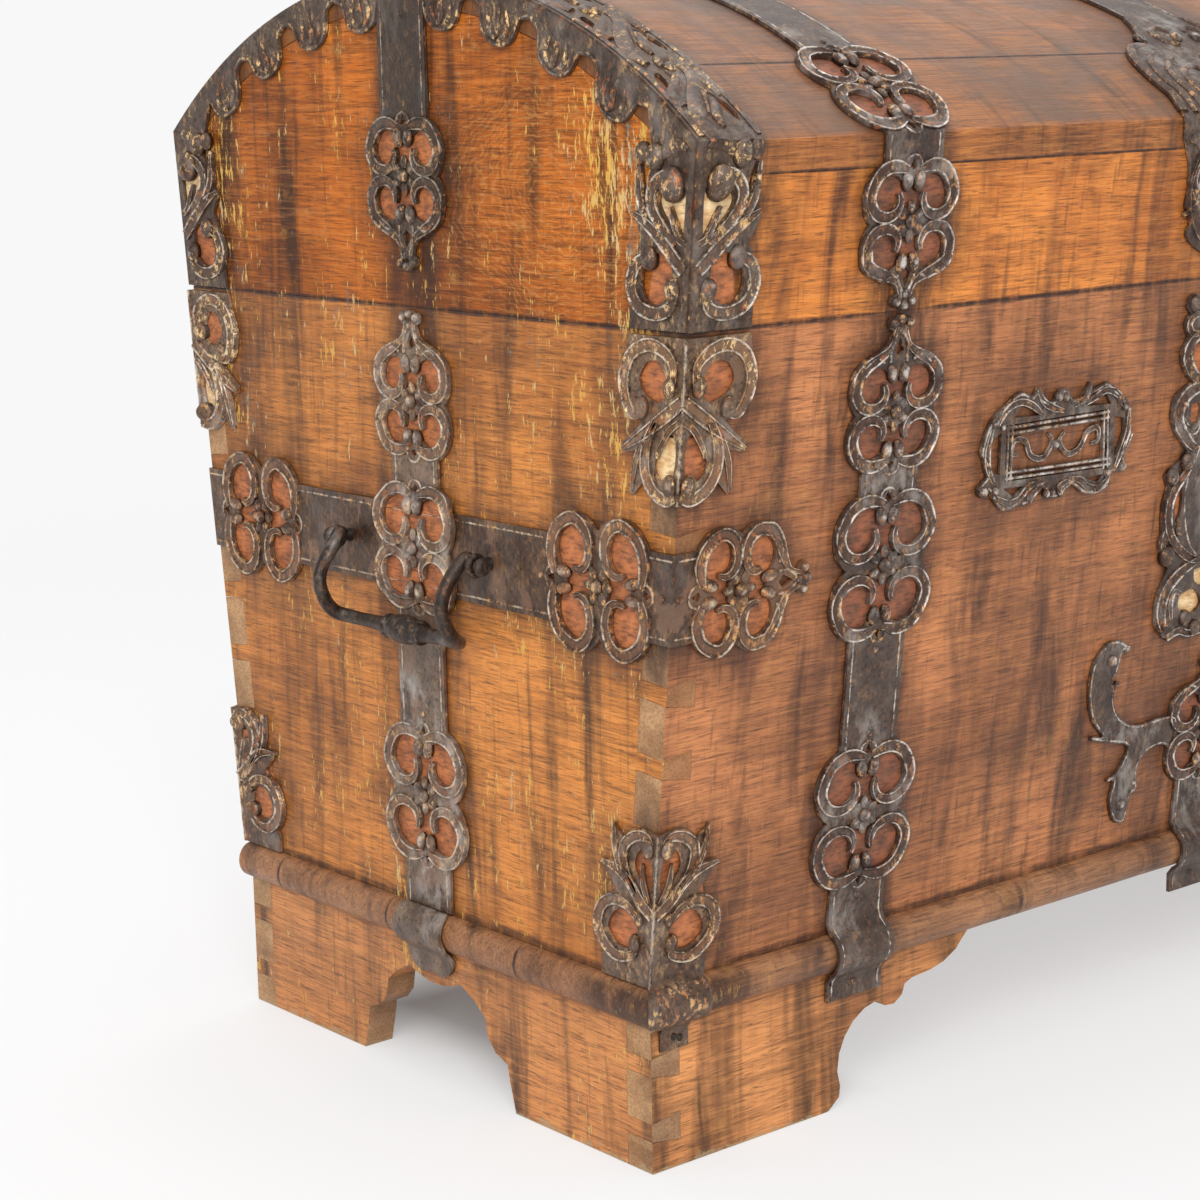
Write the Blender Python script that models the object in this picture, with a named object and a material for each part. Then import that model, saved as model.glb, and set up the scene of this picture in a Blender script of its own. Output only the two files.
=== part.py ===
"""Domed oak storage chest with pierced wrought iron strapwork.

The case leans outwards from a low plinth on bracket feet, its corners are
dovetailed, and the domed lid is coopered from boards laid along the chest.
Lengths are in metres, +Z is up, the front faces -Y and the floor is at Z 0.
Widths and depths of the ironwork are written in millimetres through MM.
"""

import math

import bmesh
import bpy
from mathutils import Vector

MM = 0.001
GAP = 0.3 * MM                      # clearance between touching pieces

# Oak case
CASE_LENGTH = 1220 * MM
SEAM_DEPTH = 620 * MM               # front to back where lid and case meet
BASE_DEPTH = 520 * MM               # front to back at the top of the moulding
SEAM_HEIGHT = 614 * MM
BOARD = 27 * MM                     # thickness of the case and plinth boards
BOTTOM_BOARD = 22 * MM
PLINTH_HEIGHT = 112 * MM
MOULDING_HEIGHT = 30 * MM
MOULDING_PROJECTION = 13 * MM
MOULDING_TOP = PLINTH_HEIGHT + MOULDING_HEIGHT

# Dovetails: a pin is a wedge of the end board that shows on the front
PIN_NARROW = 6.5 * MM               # half height at the outer face
PIN_WIDE = 11 * MM                  # half height at the inner face
CASE_PINS = 8

# Domed lid
LID_SIDE = 126 * MM                 # seam to the arris, measured upright
LID_RISE = 117 * MM                 # arris to the crown
STAVE = 22 * MM                     # thickness of the dome boards
STAVE_FACETS = (2, 4, 4, 4, 2)      # facets of the dome in each dome board

# Ironwork
IRON = 3 * MM
STRAP_HALF = 29 * MM
SHORT_CARTOUCHE = (44 * MM, 47 * MM)  # half length and half width
LONG_CARTOUCHE = (56 * MM, 51.5 * MM)
CROSSING_CARTOUCHE = (50 * MM, 50.5 * MM)
LOBE_OFFSET = 21 * MM               # lobe centres off a cartouche's middle line
SCROLL_BAND = 10.5 * MM             # width of the iron round a cartouche's lobes
ROSETTE = 14 * MM                   # solid middle of a cartouche, half height
OUTER_SEGMENTS = 4
INNER_SEGMENTS = 3
WAIST_DROP = 184.5 * MM             # seam to the middle of the waist straps
WAIST_HALF = 32.5 * MM
WAIST_CARTOUCHE_INSET = 75 * MM

# Hinges
PIN_RADIUS = 3.5 * MM
HINGE_PLAY = 0.4 * MM
KNUCKLE_WALL = 3.6 * MM
KNUCKLE_WIDTH = 19 * MM
HINGE_SIDES = 12

# Bail handles
EYE_HALF_SPAN = 90 * MM
EYE_PLAY = 0.4 * MM
EYE_WALL = 4.7 * MM
SHANK_HALF = 3 * MM
CLENCH_DROP = 24 * MM
BAIL_BAR = 5.4 * MM
BAIL_NECK = 3.7 * MM
BAIL_CLEAR = 1.5 * MM               # grip off the ironwork when it hangs
BAIL_SWELL = 11.2 * MM
BAIL_DROP = 61 * MM
BAIL_BOW = 25 * MM

# Lock
LOCK_HALF_WIDTH = 80 * MM
LOCK_DEPTH = 28 * MM
LOCK_TOP = 2 * MM                   # top of the lock below the seam
KEY_ROUND = 5 * MM
KEY_SLOT = 2.5 * MM
KEY_LENGTH = 17 * MM
STAPLE_HALF = 5 * MM                # half width along the chest
STAPLE_REACH = 7 * MM               # half width front to back
STAPLE_PLATE = 5 * MM
BOLT_HALF = 2.5 * MM
BOLT_HEIGHT = 7 * MM
BOLT_DROP = 10 * MM                 # top of the lock to the bolt
BOLT_PLAY = 1.25 * MM
BOLT_TRAVEL = 20 * MM
BOLT_LENGTH = 60 * MM

# Values that follow from the sizes above
HALF_LENGTH = CASE_LENGTH / 2
SLOPE = (SEAM_DEPTH - BASE_DEPTH) / 2 / (SEAM_HEIGHT - MOULDING_TOP)
LEAN = math.atan(SLOPE)
SLOPE_COS = math.cos(LEAN)
SLOPE_SIN = math.sin(LEAN)
ARRIS_HALF = SEAM_DEPTH / 2 + LID_SIDE * SLOPE
ARRIS_HEIGHT = SEAM_HEIGHT + LID_SIDE
DOME_RADIUS = (ARRIS_HALF ** 2 + LID_RISE ** 2) / (2 * LID_RISE)
DOME_CENTRE = ARRIS_HEIGHT + LID_RISE - DOME_RADIUS
DOME_HALF_ANGLE = math.asin(ARRIS_HALF / DOME_RADIUS)
IRON_TOP = GAP + IRON
DOME_FACETS = sum(STAVE_FACETS)
LID_FRONT_BOARD = LID_SIDE - 23 * MM  # the lid's upright boards end below the arris
CASE_DROP = SEAM_HEIGHT - MOULDING_TOP
PIN_PITCH = CASE_DROP / (CASE_PINS + 0.75)
CASE_PIN_HEIGHTS = [-(index + 0.75) * PIN_PITCH for index in reversed(range(CASE_PINS))]
PLINTH_PIN_HEIGHTS = [0.28 * PLINTH_HEIGHT, 0.72 * PLINTH_HEIGHT]
DROP_SCALE = CASE_DROP / (472 * MM)  # ornament heights are drawn for this drop
SIDE_STRAP_X = HALF_LENGTH * 2 / 3  # side straps off the chest's middle
FRAMED_PLATE_X = -0.55 * SIDE_STRAP_X
LOWEST_CARTOUCHE = 91 * MM - CASE_DROP  # its centre stands this far over the moulding
KEYHOLE_DROP = 200 * MM * DROP_SCALE
LOCK_HEIGHT = KEYHOLE_DROP + KEY_LENGTH + 20 * MM
HINGE_BORE = PIN_RADIUS + HINGE_PLAY
KNUCKLE_RADIUS = HINGE_BORE + KNUCKLE_WALL
EYE_HOLE = BAIL_NECK + EYE_PLAY
EYE_OUTER = EYE_HOLE + EYE_WALL
BAIL_KNOB = EYE_HOLE + 0.8 * MM
EYE_STANDOFF = IRON_TOP + BAIL_CLEAR + BAIL_SWELL

OAK = ((0.36, 0.16, 0.055), 0.5, 0.0)
WORN_OAK = ((0.14, 0.085, 0.05), 0.65, 0.0)
LID_OAK = ((0.26, 0.15, 0.085), 0.55, 0.0)
PLAIN_OAK = ((0.38, 0.24, 0.13), 0.7, 0.0)
WROUGHT = ((0.06, 0.05, 0.045), 0.45, 0.9)


def clear_scene():
    """Remove whatever the opened file holds."""
    for item in list(bpy.data.objects):
        bpy.data.objects.remove(item, do_unlink=True)


def finish_of(name, look):
    """Return a new material with the look's colour, roughness and metal."""
    colour, roughness, metallic = look
    made = bpy.data.materials.new(name + "_finish")
    made.use_nodes = True
    shader = made.node_tree.nodes["Principled BSDF"]
    shader.inputs["Base Color"].default_value = (*colour, 1.0)
    shader.inputs["Roughness"].default_value = roughness
    shader.inputs["Metallic"].default_value = metallic
    return made


def add_object(name, bm, look):
    """Turn a bmesh into a named object with its outside facing out."""
    bmesh.ops.recalc_face_normals(bm, faces=bm.faces)
    if bm.calc_volume(signed=True) < 0:
        bmesh.ops.reverse_faces(bm, faces=bm.faces)
    mesh = bpy.data.meshes.new(name)
    bm.to_mesh(mesh)
    bm.free()
    mesh.materials.append(finish_of(name, look))
    made = bpy.data.objects.new(name, mesh)
    bpy.context.scene.collection.objects.link(made)
    return made


def hide_as_tool(item):
    """Mark an object as a cutter or a part of a union."""
    item.hide_render = True
    item.display_type = "WIRE"


def combine(target, tool, operation):
    """Cut or join a tool object into the target and hide the tool."""
    change = target.modifiers.new(tool.name, "BOOLEAN")
    change.operation = operation
    change.object = tool
    change.solver = "EXACT"
    hide_as_tool(tool)


class Track:
    """A surface that a flat pattern is bent over.

    A station holds the distance along the track, the point of the pattern's
    middle line there, the direction across, and the way outwards.
    """

    def __init__(self, stations):
        self.stations = stations

    def folds(self):
        """Distances where the pattern is creased."""
        return [station[0] for station in self.stations[1:-1]]

    def place(self, across, along, out):
        """Point for a distance across, along and out of the surface."""
        stations = self.stations
        index = 0
        while index < len(stations) - 2 and along > stations[index + 1][0]:
            index += 1
        first = stations[index]
        second = stations[index + 1]
        share = (along - first[0]) / (second[0] - first[0])
        base = first[1].lerp(second[1], share)
        side = first[2].lerp(second[2], share)
        outward = first[3].lerp(second[3], share)
        return base + across * side + out * outward


def mitre(first, second):
    """Offset that lies one unit off both of two planes."""
    return (first + second) / (1 + first.dot(second))


def flat_track(origin, right, up, out):
    """Track of a flat face: across along right, along up from the origin."""
    return Track([(0.0, origin, right, out), (1.0, origin + up, right, out)])


def path_track(points, across, zero=0, sign=1):
    """Track that follows a path of points, level across."""
    across = Vector(across)
    points = [Vector(point) for point in points]
    outs = []
    lengths = [0.0]
    for start, end in zip(points, points[1:]):
        heading = (end - start).normalized()
        outs.append(sign * across.cross(heading))
        lengths.append(lengths[-1] + (end - start).length)
    origin = lengths[zero]
    stations = []
    for index, point in enumerate(points):
        before = outs[max(index - 1, 0)]
        after = outs[min(index, len(outs) - 1)]
        stations.append((lengths[index] - origin, point, across, mitre(before, after)))
    return Track(stations)


FRONT_ORIGIN = Vector((0, -SEAM_DEPTH / 2, SEAM_HEIGHT))
FRONT_UP = Vector((0, -SLOPE_SIN, SLOPE_COS))
FRONT_OUT = Vector((0, -SLOPE_COS, -SLOPE_SIN))
FRONT = flat_track(FRONT_ORIGIN, Vector((1, 0, 0)), FRONT_UP, FRONT_OUT)
BACK_ORIGIN = Vector((0, SEAM_DEPTH / 2, SEAM_HEIGHT))
BACK_UP = Vector((0, SLOPE_SIN, SLOPE_COS))
BACK_OUT = Vector((0, SLOPE_COS, -SLOPE_SIN))
BACK = flat_track(BACK_ORIGIN, Vector((1, 0, 0)), BACK_UP, BACK_OUT)


def end_face(side):
    """Track of an end of the chest, across towards the front."""
    origin = Vector((side * HALF_LENGTH, 0, SEAM_HEIGHT))
    return flat_track(origin, Vector((0, -1, 0)), Vector((0, 0, 1)), Vector((side, 0, 0)))


def plate(name, look, outline, track, low, high, holes=(), flared=None):
    """Solid between two depths of a track, from an outline with holes.

    flared gives the outline at the high side where it differs.
    """
    bm = bmesh.new()
    order = bm.verts.layers.int.new("order")
    edges = []
    index = 0
    for loop in (outline, *holes):
        ring = []
        for across, along in loop:
            vert = bm.verts.new((across, along, 0))
            index += 1
            vert[order] = index
            ring.append(vert)
        edges += [bm.edges.new((a, b)) for a, b in zip(ring, ring[1:] + ring[:1])]
    bmesh.ops.triangle_fill(bm, use_beauty=True, use_dissolve=False, edges=edges)
    for fold in track.folds():
        bmesh.ops.bisect_plane(
            bm, geom=bm.verts[:] + bm.edges[:] + bm.faces[:], dist=1e-7,
            plane_co=(0, fold, 0), plane_no=(0, 1, 0),
        )
    bmesh.ops.triangulate(bm, faces=bm.faces)
    raised = bmesh.ops.extrude_face_region(bm, geom=bm.faces[:], use_keep_orig=True)
    moved = [item for item in raised["geom"] if isinstance(item, bmesh.types.BMVert)]
    bmesh.ops.translate(bm, verts=moved, vec=(0, 0, 1))
    for vert in bm.verts:
        across, along, level = vert.co
        if flared and level > 0.5 and 0 < vert[order] <= len(flared):
            across, along = flared[vert[order] - 1]
        vert.co = track.place(across, along, low + level * (high - low))
    return add_object(name, bm, look)


def block(name, look, track, across, along, out):
    """Box on a track from three low and high pairs."""
    outline = [
        (across[0], along[0]), (across[1], along[0]),
        (across[1], along[1]), (across[0], along[1]),
    ]
    return plate(name, look, outline, track, out[0], out[1])


def prism(name, look, section, low, high):
    """Solid along X from a section of Y and Z, with an end for each point."""
    bm = bmesh.new()
    first = [bm.verts.new((end, y, z)) for (y, z), end in zip(section, low)]
    second = [bm.verts.new((end, y, z)) for (y, z), end in zip(section, high)]
    bm.faces.new(first)
    bm.faces.new(second[::-1])
    for index in range(len(section)):
        after = (index + 1) % len(section)
        bm.faces.new((first[index], first[after], second[after], second[index]))
    return add_object(name, bm, look)


def arc(centre, radius, start, end, segments):
    """Points on a circle between two angles in degrees, both included."""
    points = []
    for step in range(segments + 1):
        angle = math.radians(start + (end - start) * step / segments)
        across = centre[0] + radius * math.cos(angle)
        along = centre[1] + radius * math.sin(angle)
        points.append((across, along))
    return points


def mirrored(side):
    """Close an outline from its right side, listed from bottom to top."""
    left = [(-across, along) for across, along in reversed(side) if across > 1e-9]
    return list(side) + left


def shifted(points, across, along):
    """Move points in the pattern's plane."""
    return [(point[0] + across, point[1] + along) for point in points]


def millimetres(*points):
    """Points written in millimetres."""
    return [(across * MM, along * MM) for across, along in points]


def stretched(points, across, along):
    """Scale points in the pattern's plane."""
    return [(point[0] * across, point[1] * along) for point in points]


class Cartouche:
    """Pierced ornament of four C-scrolls round a rosette."""

    def __init__(self, centre, half_length, half_width):
        self.centre = centre
        self.half_length = half_length
        self.radius = half_width - LOBE_OFFSET
        self.lobe = half_length - self.radius

    def side(self, low_join, high_join):
        """Right side of the outline between two half widths that join it."""
        reach = math.sqrt(self.radius ** 2 - self.lobe ** 2)
        waist = math.degrees(math.atan2(self.lobe, reach))
        low = math.degrees(math.acos((low_join - LOBE_OFFSET) / self.radius))
        high = math.degrees(math.acos((high_join - LOBE_OFFSET) / self.radius))
        below = arc((LOBE_OFFSET, self.centre - self.lobe), self.radius, -low, waist, OUTER_SEGMENTS)
        above = arc((LOBE_OFFSET, self.centre + self.lobe), self.radius, -waist, high, OUTER_SEGMENTS)
        return below + above[1:]

    def holes(self):
        """The two openings, above and below the rosette."""
        inner = self.radius - SCROLL_BAND
        tip = self.lobe + 0.1 * inner
        right = [(0, ROSETTE), (0.85 * LOBE_OFFSET, tip)]
        right += arc((LOBE_OFFSET, self.lobe), inner, -35, 125, INNER_SEGMENTS)
        right += [(0.3 * LOBE_OFFSET, self.lobe + 0.15 * inner)]
        opening = mirrored(right)
        upper = shifted(opening, 0, self.centre)
        lower = [(across, self.centre - along) for across, along in opening]
        return [upper, lower]


def trefoil(tip, way):
    """Right side of a neck that ends in three beads, from lobe to tip."""
    side = [(5, 14), (11, 10.5), (12.5, 6), (9, 2.5), (5, 3), (3, 0.5)]
    points = [(across * MM, tip - way * along * MM) for across, along in side]
    return points


def neck_join():
    """Half width at which a terminal's neck leaves its lobes."""
    return LOBE_OFFSET - 5 * MM


def strap_outline(parts):
    """Outline of a strap from its right side parts, from bottom to top."""
    side = []
    for part in parts:
        side += part
    return mirrored(side)


def dome_points():
    """Points of the dome's outside from the front arris to the back one."""
    points = []
    for step in range(DOME_FACETS + 1):
        angle = -DOME_HALF_ANGLE + 2 * DOME_HALF_ANGLE * step / DOME_FACETS
        across = DOME_RADIUS * math.sin(angle)
        height = DOME_CENTRE + DOME_RADIUS * math.cos(angle)
        points.append((across, height))
    return points


def dome_inside(step, thickness):
    """Point under a station of the dome, on the inner face of the boards."""
    angle = -DOME_HALF_ANGLE + 2 * DOME_HALF_ANGLE * step / DOME_FACETS
    radius = DOME_RADIUS - thickness
    return (radius * math.sin(angle), DOME_CENTRE + radius * math.cos(angle))


def socket_points(edge, inward, pins):
    """Board edge with a socket for each pin, from the lowest pin up."""
    depth = BOARD + GAP
    points = []
    for height in pins:
        narrow = PIN_NARROW + GAP
        wide = PIN_WIDE + GAP
        points += [
            (edge, height - narrow), (edge + inward * depth, height - wide),
            (edge + inward * depth, height + wide), (edge, height + narrow),
        ]
    return points


def leaning_board(name, track, holes=()):
    """Front or back board of the case with sockets at both ends."""
    low = (PLINTH_HEIGHT + GAP - SEAM_HEIGHT) / SLOPE_COS
    outlines = []
    for level_off in (BOARD * SLOPE, 0.0):
        right = [(HALF_LENGTH, low - level_off)]
        right += socket_points(HALF_LENGTH, -1, CASE_PIN_HEIGHTS)
        right += [(HALF_LENGTH, -level_off)]
        left = [(-across, along) for across, along in reversed(right)]
        outlines.append(right + left)
    return plate(name, OAK, outlines[0], track, -BOARD, 0, holes=holes, flared=outlines[1])


def case_end_board(side):
    """End board of the case, with pins that run through to both faces."""
    face_drop = PLINTH_HEIGHT + GAP - SEAM_HEIGHT
    outlines = []
    for half in (PIN_WIDE, PIN_NARROW):
        front = []
        inner = -(BOARD + GAP)
        for height in CASE_PIN_HEIGHTS:
            corners = [(height - half, inner), (height - half, 0.0), (height + half, 0.0), (height + half, inner)]
            for along, out in corners:
                point = FRONT.place(0, along, out)
                front.append((-point.y, point.z - SEAM_HEIGHT))
        bottom = FRONT.place(0, face_drop / SLOPE_COS, inner)
        top = FRONT.place(0, 0, inner)
        shoulder = (inner / SLOPE_COS) * -1
        low = SEAM_DEPTH / 2 + face_drop * SLOPE - shoulder
        high = SEAM_DEPTH / 2 - shoulder
        right = [(low, face_drop), *front, (high, 0.0)]
        left = [(-across, along) for across, along in reversed(right)]
        outlines.append(right + left)
    holes = []
    for where in (-EYE_HALF_SPAN, EYE_HALF_SPAN):
        holes.append(square_hole(where, -WAIST_DROP, SHANK_HALF + GAP))
    name = "left_end_board" if side < 0 else "right_end_board"
    return plate(name, OAK, outlines[0], end_face(side), -BOARD, 0, holes=holes, flared=outlines[1])


def square_hole(across, along, half):
    """Square opening in a pattern."""
    corners = [(-half, -half), (half, -half), (half, half), (-half, half)]
    return shifted(corners, across, along)


def keyhole(clearance):
    """Keyhole outline: a round top over a slot that widens at its foot."""
    round_part = arc((0, -KEYHOLE_DROP), KEY_ROUND + clearance, -60, 240, 8)
    foot = -KEYHOLE_DROP - KEY_LENGTH - clearance
    slot = [(-KEY_SLOT - clearance, foot), (KEY_SLOT + clearance, foot)]
    return round_part + slot


def build_case():
    """Boards of the case."""
    leaning_board("front_board", FRONT, holes=[keyhole(1 * MM)])
    leaning_board("back_board", BACK)
    for side in (-1, 1):
        case_end_board(side)
    low = PLINTH_HEIGHT + GAP
    high = low + BOTTOM_BOARD
    length = HALF_LENGTH - BOARD - GAP
    section = []
    for height in (low, high):
        half = BASE_DEPTH / 2 + (height - MOULDING_TOP) * SLOPE - BOARD / SLOPE_COS - GAP
        section.append((half, height))
    outline = [(-section[0][0], low), section[0], section[1], (-section[1][0], high)]
    prism("bottom_board", PLAIN_OAK, outline, [-length] * 4, [length] * 4)


def bracket_side():
    """Free edge of a front bracket foot, measured from the corner."""
    cove = arc((235 * MM, 30 * MM), 47 * MM, 180, 95, 5)
    toe = millimetres((178, 0), (190, 9), (191, 18))
    lobes = millimetres(
        (240, 70.5), (250, 69.5), (259, 75), (262, 83), (270, 86),
        (290, 87.5), (306, 91), (320, 98), (328, 106), (335, 112),
    )
    return stretched(toe + cove + lobes, 1, PLINTH_HEIGHT / (112 * MM))


def end_cutout():
    """Scalloped opening of an end plinth board, from front to back."""
    half = millimetres(
        (100, 0), (94, 22), (91, 37), (76, 43), (67, 53), (64, 68),
        (51, 78), (34, 87), (22, 83), (8, 80),
    )
    return stretched(mirrored(half), 1, PLINTH_HEIGHT / (112 * MM))


def back_cutout():
    """Plain arched opening of the back plinth board."""
    half = millimetres((430, 0), (424, 26), (400, 48), (366, 56))
    return stretched(mirrored(half), 1, PLINTH_HEIGHT / (112 * MM))


def build_plinth():
    """Plinth boards: two bracket feet, two scalloped ends and a back."""
    front = flat_track(Vector((0, -BASE_DEPTH / 2, 0)), Vector((1, 0, 0)), Vector((0, 0, 1)), Vector((0, -1, 0)))
    back = flat_track(Vector((0, BASE_DEPTH / 2, 0)), Vector((1, 0, 0)), Vector((0, 0, 1)), Vector((0, 1, 0)))
    for side in (-1, 1):
        outline = [(side * HALF_LENGTH, PLINTH_HEIGHT)]
        outline += reversed(socket_points(side * HALF_LENGTH, -side, PLINTH_PIN_HEIGHTS))
        outline += [(side * HALF_LENGTH, 0.0)]
        outline += [(side * (HALF_LENGTH - across), along) for across, along in bracket_side()]
        name = "plinth_bracket_left" if side < 0 else "plinth_bracket_right"
        plate(name, OAK, outline, front, -BOARD, 0)
    right = [(HALF_LENGTH, 0.0), *socket_points(HALF_LENGTH, -1, PLINTH_PIN_HEIGHTS), (HALF_LENGTH, PLINTH_HEIGHT)]
    left = [(-across, along) for across, along in reversed(right)]
    plate("plinth_back", OAK, right + left + back_cutout()[::-1], back, -BOARD, 0)
    for side in (-1, 1):
        face = flat_track(
            Vector((side * HALF_LENGTH, 0, 0)), Vector((0, -1, 0)), Vector((0, 0, 1)), Vector((side, 0, 0))
        )
        shoulder = BASE_DEPTH / 2 - BOARD - GAP
        outlines = []
        for half in (PIN_WIDE, PIN_NARROW):
            front_edge = [(shoulder, 0.0)]
            for height in PLINTH_PIN_HEIGHTS:
                front_edge += [
                    (shoulder, height - half), (BASE_DEPTH / 2, height - half),
                    (BASE_DEPTH / 2, height + half), (shoulder, height + half),
                ]
            front_edge += [(shoulder, PLINTH_HEIGHT)]
            back_edge = [(-across, along) for across, along in reversed(front_edge)]
            outlines.append(front_edge + back_edge + end_cutout()[::-1])
        name = "plinth_end_left" if side < 0 else "plinth_end_right"
        plate(name, OAK, outlines[0], face, -BOARD, 0, flared=outlines[1])


def moulding_nose(grow, segments, start=90, end=-90):
    """Half ellipse of the moulding's nose as projection and height."""
    centre = PLINTH_HEIGHT + MOULDING_HEIGHT / 2
    points = []
    for step in range(segments + 1):
        angle = math.radians(start + (end - start) * step / segments)
        projection = (MOULDING_PROJECTION + grow) * math.cos(angle)
        height = centre + (MOULDING_HEIGHT / 2 + grow) * math.sin(angle)
        points.append((projection, height))
    return points


def build_mouldings():
    """Half round moulding over the joint of case and plinth, mitred."""
    nose = moulding_nose(0, 6)[1:-1]
    low = PLINTH_HEIGHT + GAP
    lean_out = (low - MOULDING_TOP) * SLOPE
    front = [(GAP, MOULDING_TOP), *nose, (MOULDING_PROJECTION * 0.3, low), (GAP + lean_out, low)]
    section = [(-BASE_DEPTH / 2 - out, height) for out, height in front]
    reach = [HALF_LENGTH + out - GAP for out, height in front]
    prism("moulding_front", WORN_OAK, section, [-end for end in reach], reach)
    straight = [(GAP, MOULDING_TOP), *nose, (MOULDING_PROJECTION * 0.3, low), (GAP, low)]
    for side in (-1, 1):
        name = "moulding_left" if side < 0 else "moulding_right"
        bm = bmesh.new()
        rings = []
        for at_front in (True, False):
            ring = []
            for out, height in straight:
                depth = -(BASE_DEPTH / 2 + out) if at_front else BASE_DEPTH / 2
                ring.append(bm.verts.new((side * (HALF_LENGTH + out), depth, height)))
            rings.append(ring)
        bm.faces.new(rings[0])
        bm.faces.new(rings[1][::-1])
        for index in range(len(straight)):
            after = (index + 1) % len(straight)
            bm.faces.new((rings[0][index], rings[0][after], rings[1][after], rings[1][index]))
        add_object(name, bm, WORN_OAK)


def lid_plane_point(height, depth):
    """Y and Z on the lid's front, inside its face by a depth."""
    point = FRONT.place(0, height / SLOPE_COS, 0)
    inside = point - FRONT_OUT * depth
    return (inside.y, inside.z)


def build_lid_wood():
    """Upright boards, ends and coopered dome of the lid."""
    full = [-HALF_LENGTH, HALF_LENGTH]
    for name, sign in (("lid_front_board", 1), ("lid_back_board", -1)):
        section = []
        for height, depth in ((0, 0), (LID_FRONT_BOARD, 0), (LID_FRONT_BOARD, BOARD), (0, BOARD)):
            y, z = lid_plane_point(height, depth)
            section.append((sign * y, z))
        base = SEAM_HEIGHT + GAP
        section[0] = (section[0][0], base)
        section[3] = (sign * (FRONT_ORIGIN.y + BOARD / SLOPE_COS - GAP * SLOPE), base)
        prism(name, OAK, section, [full[0]] * 4, [full[1]] * 4)
    outside = dome_points()
    start = 0
    for index, facets in enumerate(STAVE_FACETS):
        section = outside[start:start + facets + 1]
        under = [dome_inside(step, STAVE) for step in range(start, start + facets + 1)]
        if index == 0:
            joint = lid_plane_point(LID_FRONT_BOARD, -0.0)
            inner = lid_plane_point(LID_FRONT_BOARD, BOARD)
            rise = FRONT_UP * GAP
            section = [(joint[0] + rise.y, joint[1] + rise.z)] + section
            under = [(inner[0] + rise.y, inner[1] + rise.z)] + under[1:]
        if index == len(STAVE_FACETS) - 1:
            joint = lid_plane_point(LID_FRONT_BOARD, -0.0)
            inner = lid_plane_point(LID_FRONT_BOARD, BOARD)
            rise = FRONT_UP * GAP
            section = section + [(-joint[0] - rise.y, joint[1] + rise.z)]
            under = under[:-1] + [(-inner[0] - rise.y, inner[1] + rise.z)]
        loop = section + under[::-1]
        loop = trim_joint(loop, section, under, index)
        ends = [HALF_LENGTH] * len(loop)
        prism(f"lid_dome_board_{index + 1}", LID_OAK, loop, [-end for end in ends], ends)
        start += facets
    for side in (-1, 1):
        lid_end_board(side)


def trim_joint(loop, section, under, index):
    """Pull the later edge of a dome board back by the joint's clearance."""
    if index == len(STAVE_FACETS) - 1:
        return loop
    edge = len(section) - 1
    for position in (edge, edge + 1):
        y, z = loop[position]
        radius = math.hypot(y, z - DOME_CENTRE)
        angle = math.atan2(y, z - DOME_CENTRE) - GAP / radius
        loop[position] = (radius * math.sin(angle), DOME_CENTRE + radius * math.cos(angle))
    return loop


def lid_end_board(side):
    """End board of the lid, inside the dome boards and upright boards."""
    inset = STAVE + GAP
    outline = []
    low = BOARD / SLOPE_COS + GAP
    foot = SEAM_DEPTH / 2 - low
    shoulder_height = LID_FRONT_BOARD
    outline.append((foot, GAP))
    outline.append((foot + shoulder_height * SLOPE, shoulder_height))
    first = True
    for step in range(DOME_FACETS + 1):
        y, z = dome_inside(step, inset)
        across = -y
        along = z - SEAM_HEIGHT
        limit = foot + along * SLOPE
        if abs(across) < limit - 1 * MM:
            outline.append((across, along))
    outline.append((-(foot + shoulder_height * SLOPE), shoulder_height))
    outline.append((-foot, GAP))
    name = "lid_left_end_board" if side < 0 else "lid_right_end_board"
    plate(name, OAK, outline, end_face(side), -BOARD, 0)


def front_path():
    """Path of a strap from the plinth over the moulding up to the seam."""
    x = 0.0
    face = -BASE_DEPTH / 2
    points = [(x, face, PLINTH_HEIGHT - 23 * MM), (x, face, PLINTH_HEIGHT - 8 * MM)]
    nose = moulding_nose(1.2 * MM, 5, -62, 62)
    points += [(x, face - out, height) for out, height in nose]
    leave = MOULDING_TOP + 10 * MM
    points.append((x, face - (leave - MOULDING_TOP) * SLOPE, leave))
    points.append((x, -SEAM_DEPTH / 2, SEAM_HEIGHT))
    return points


def lid_path():
    """Path of a strap from the front seam over the dome to the back seam."""
    points = [(0.0, -SEAM_DEPTH / 2, SEAM_HEIGHT)]
    points += [(0.0, y, z) for y, z in dome_points()]
    points.append((0.0, SEAM_DEPTH / 2, SEAM_HEIGHT))
    return points


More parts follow.
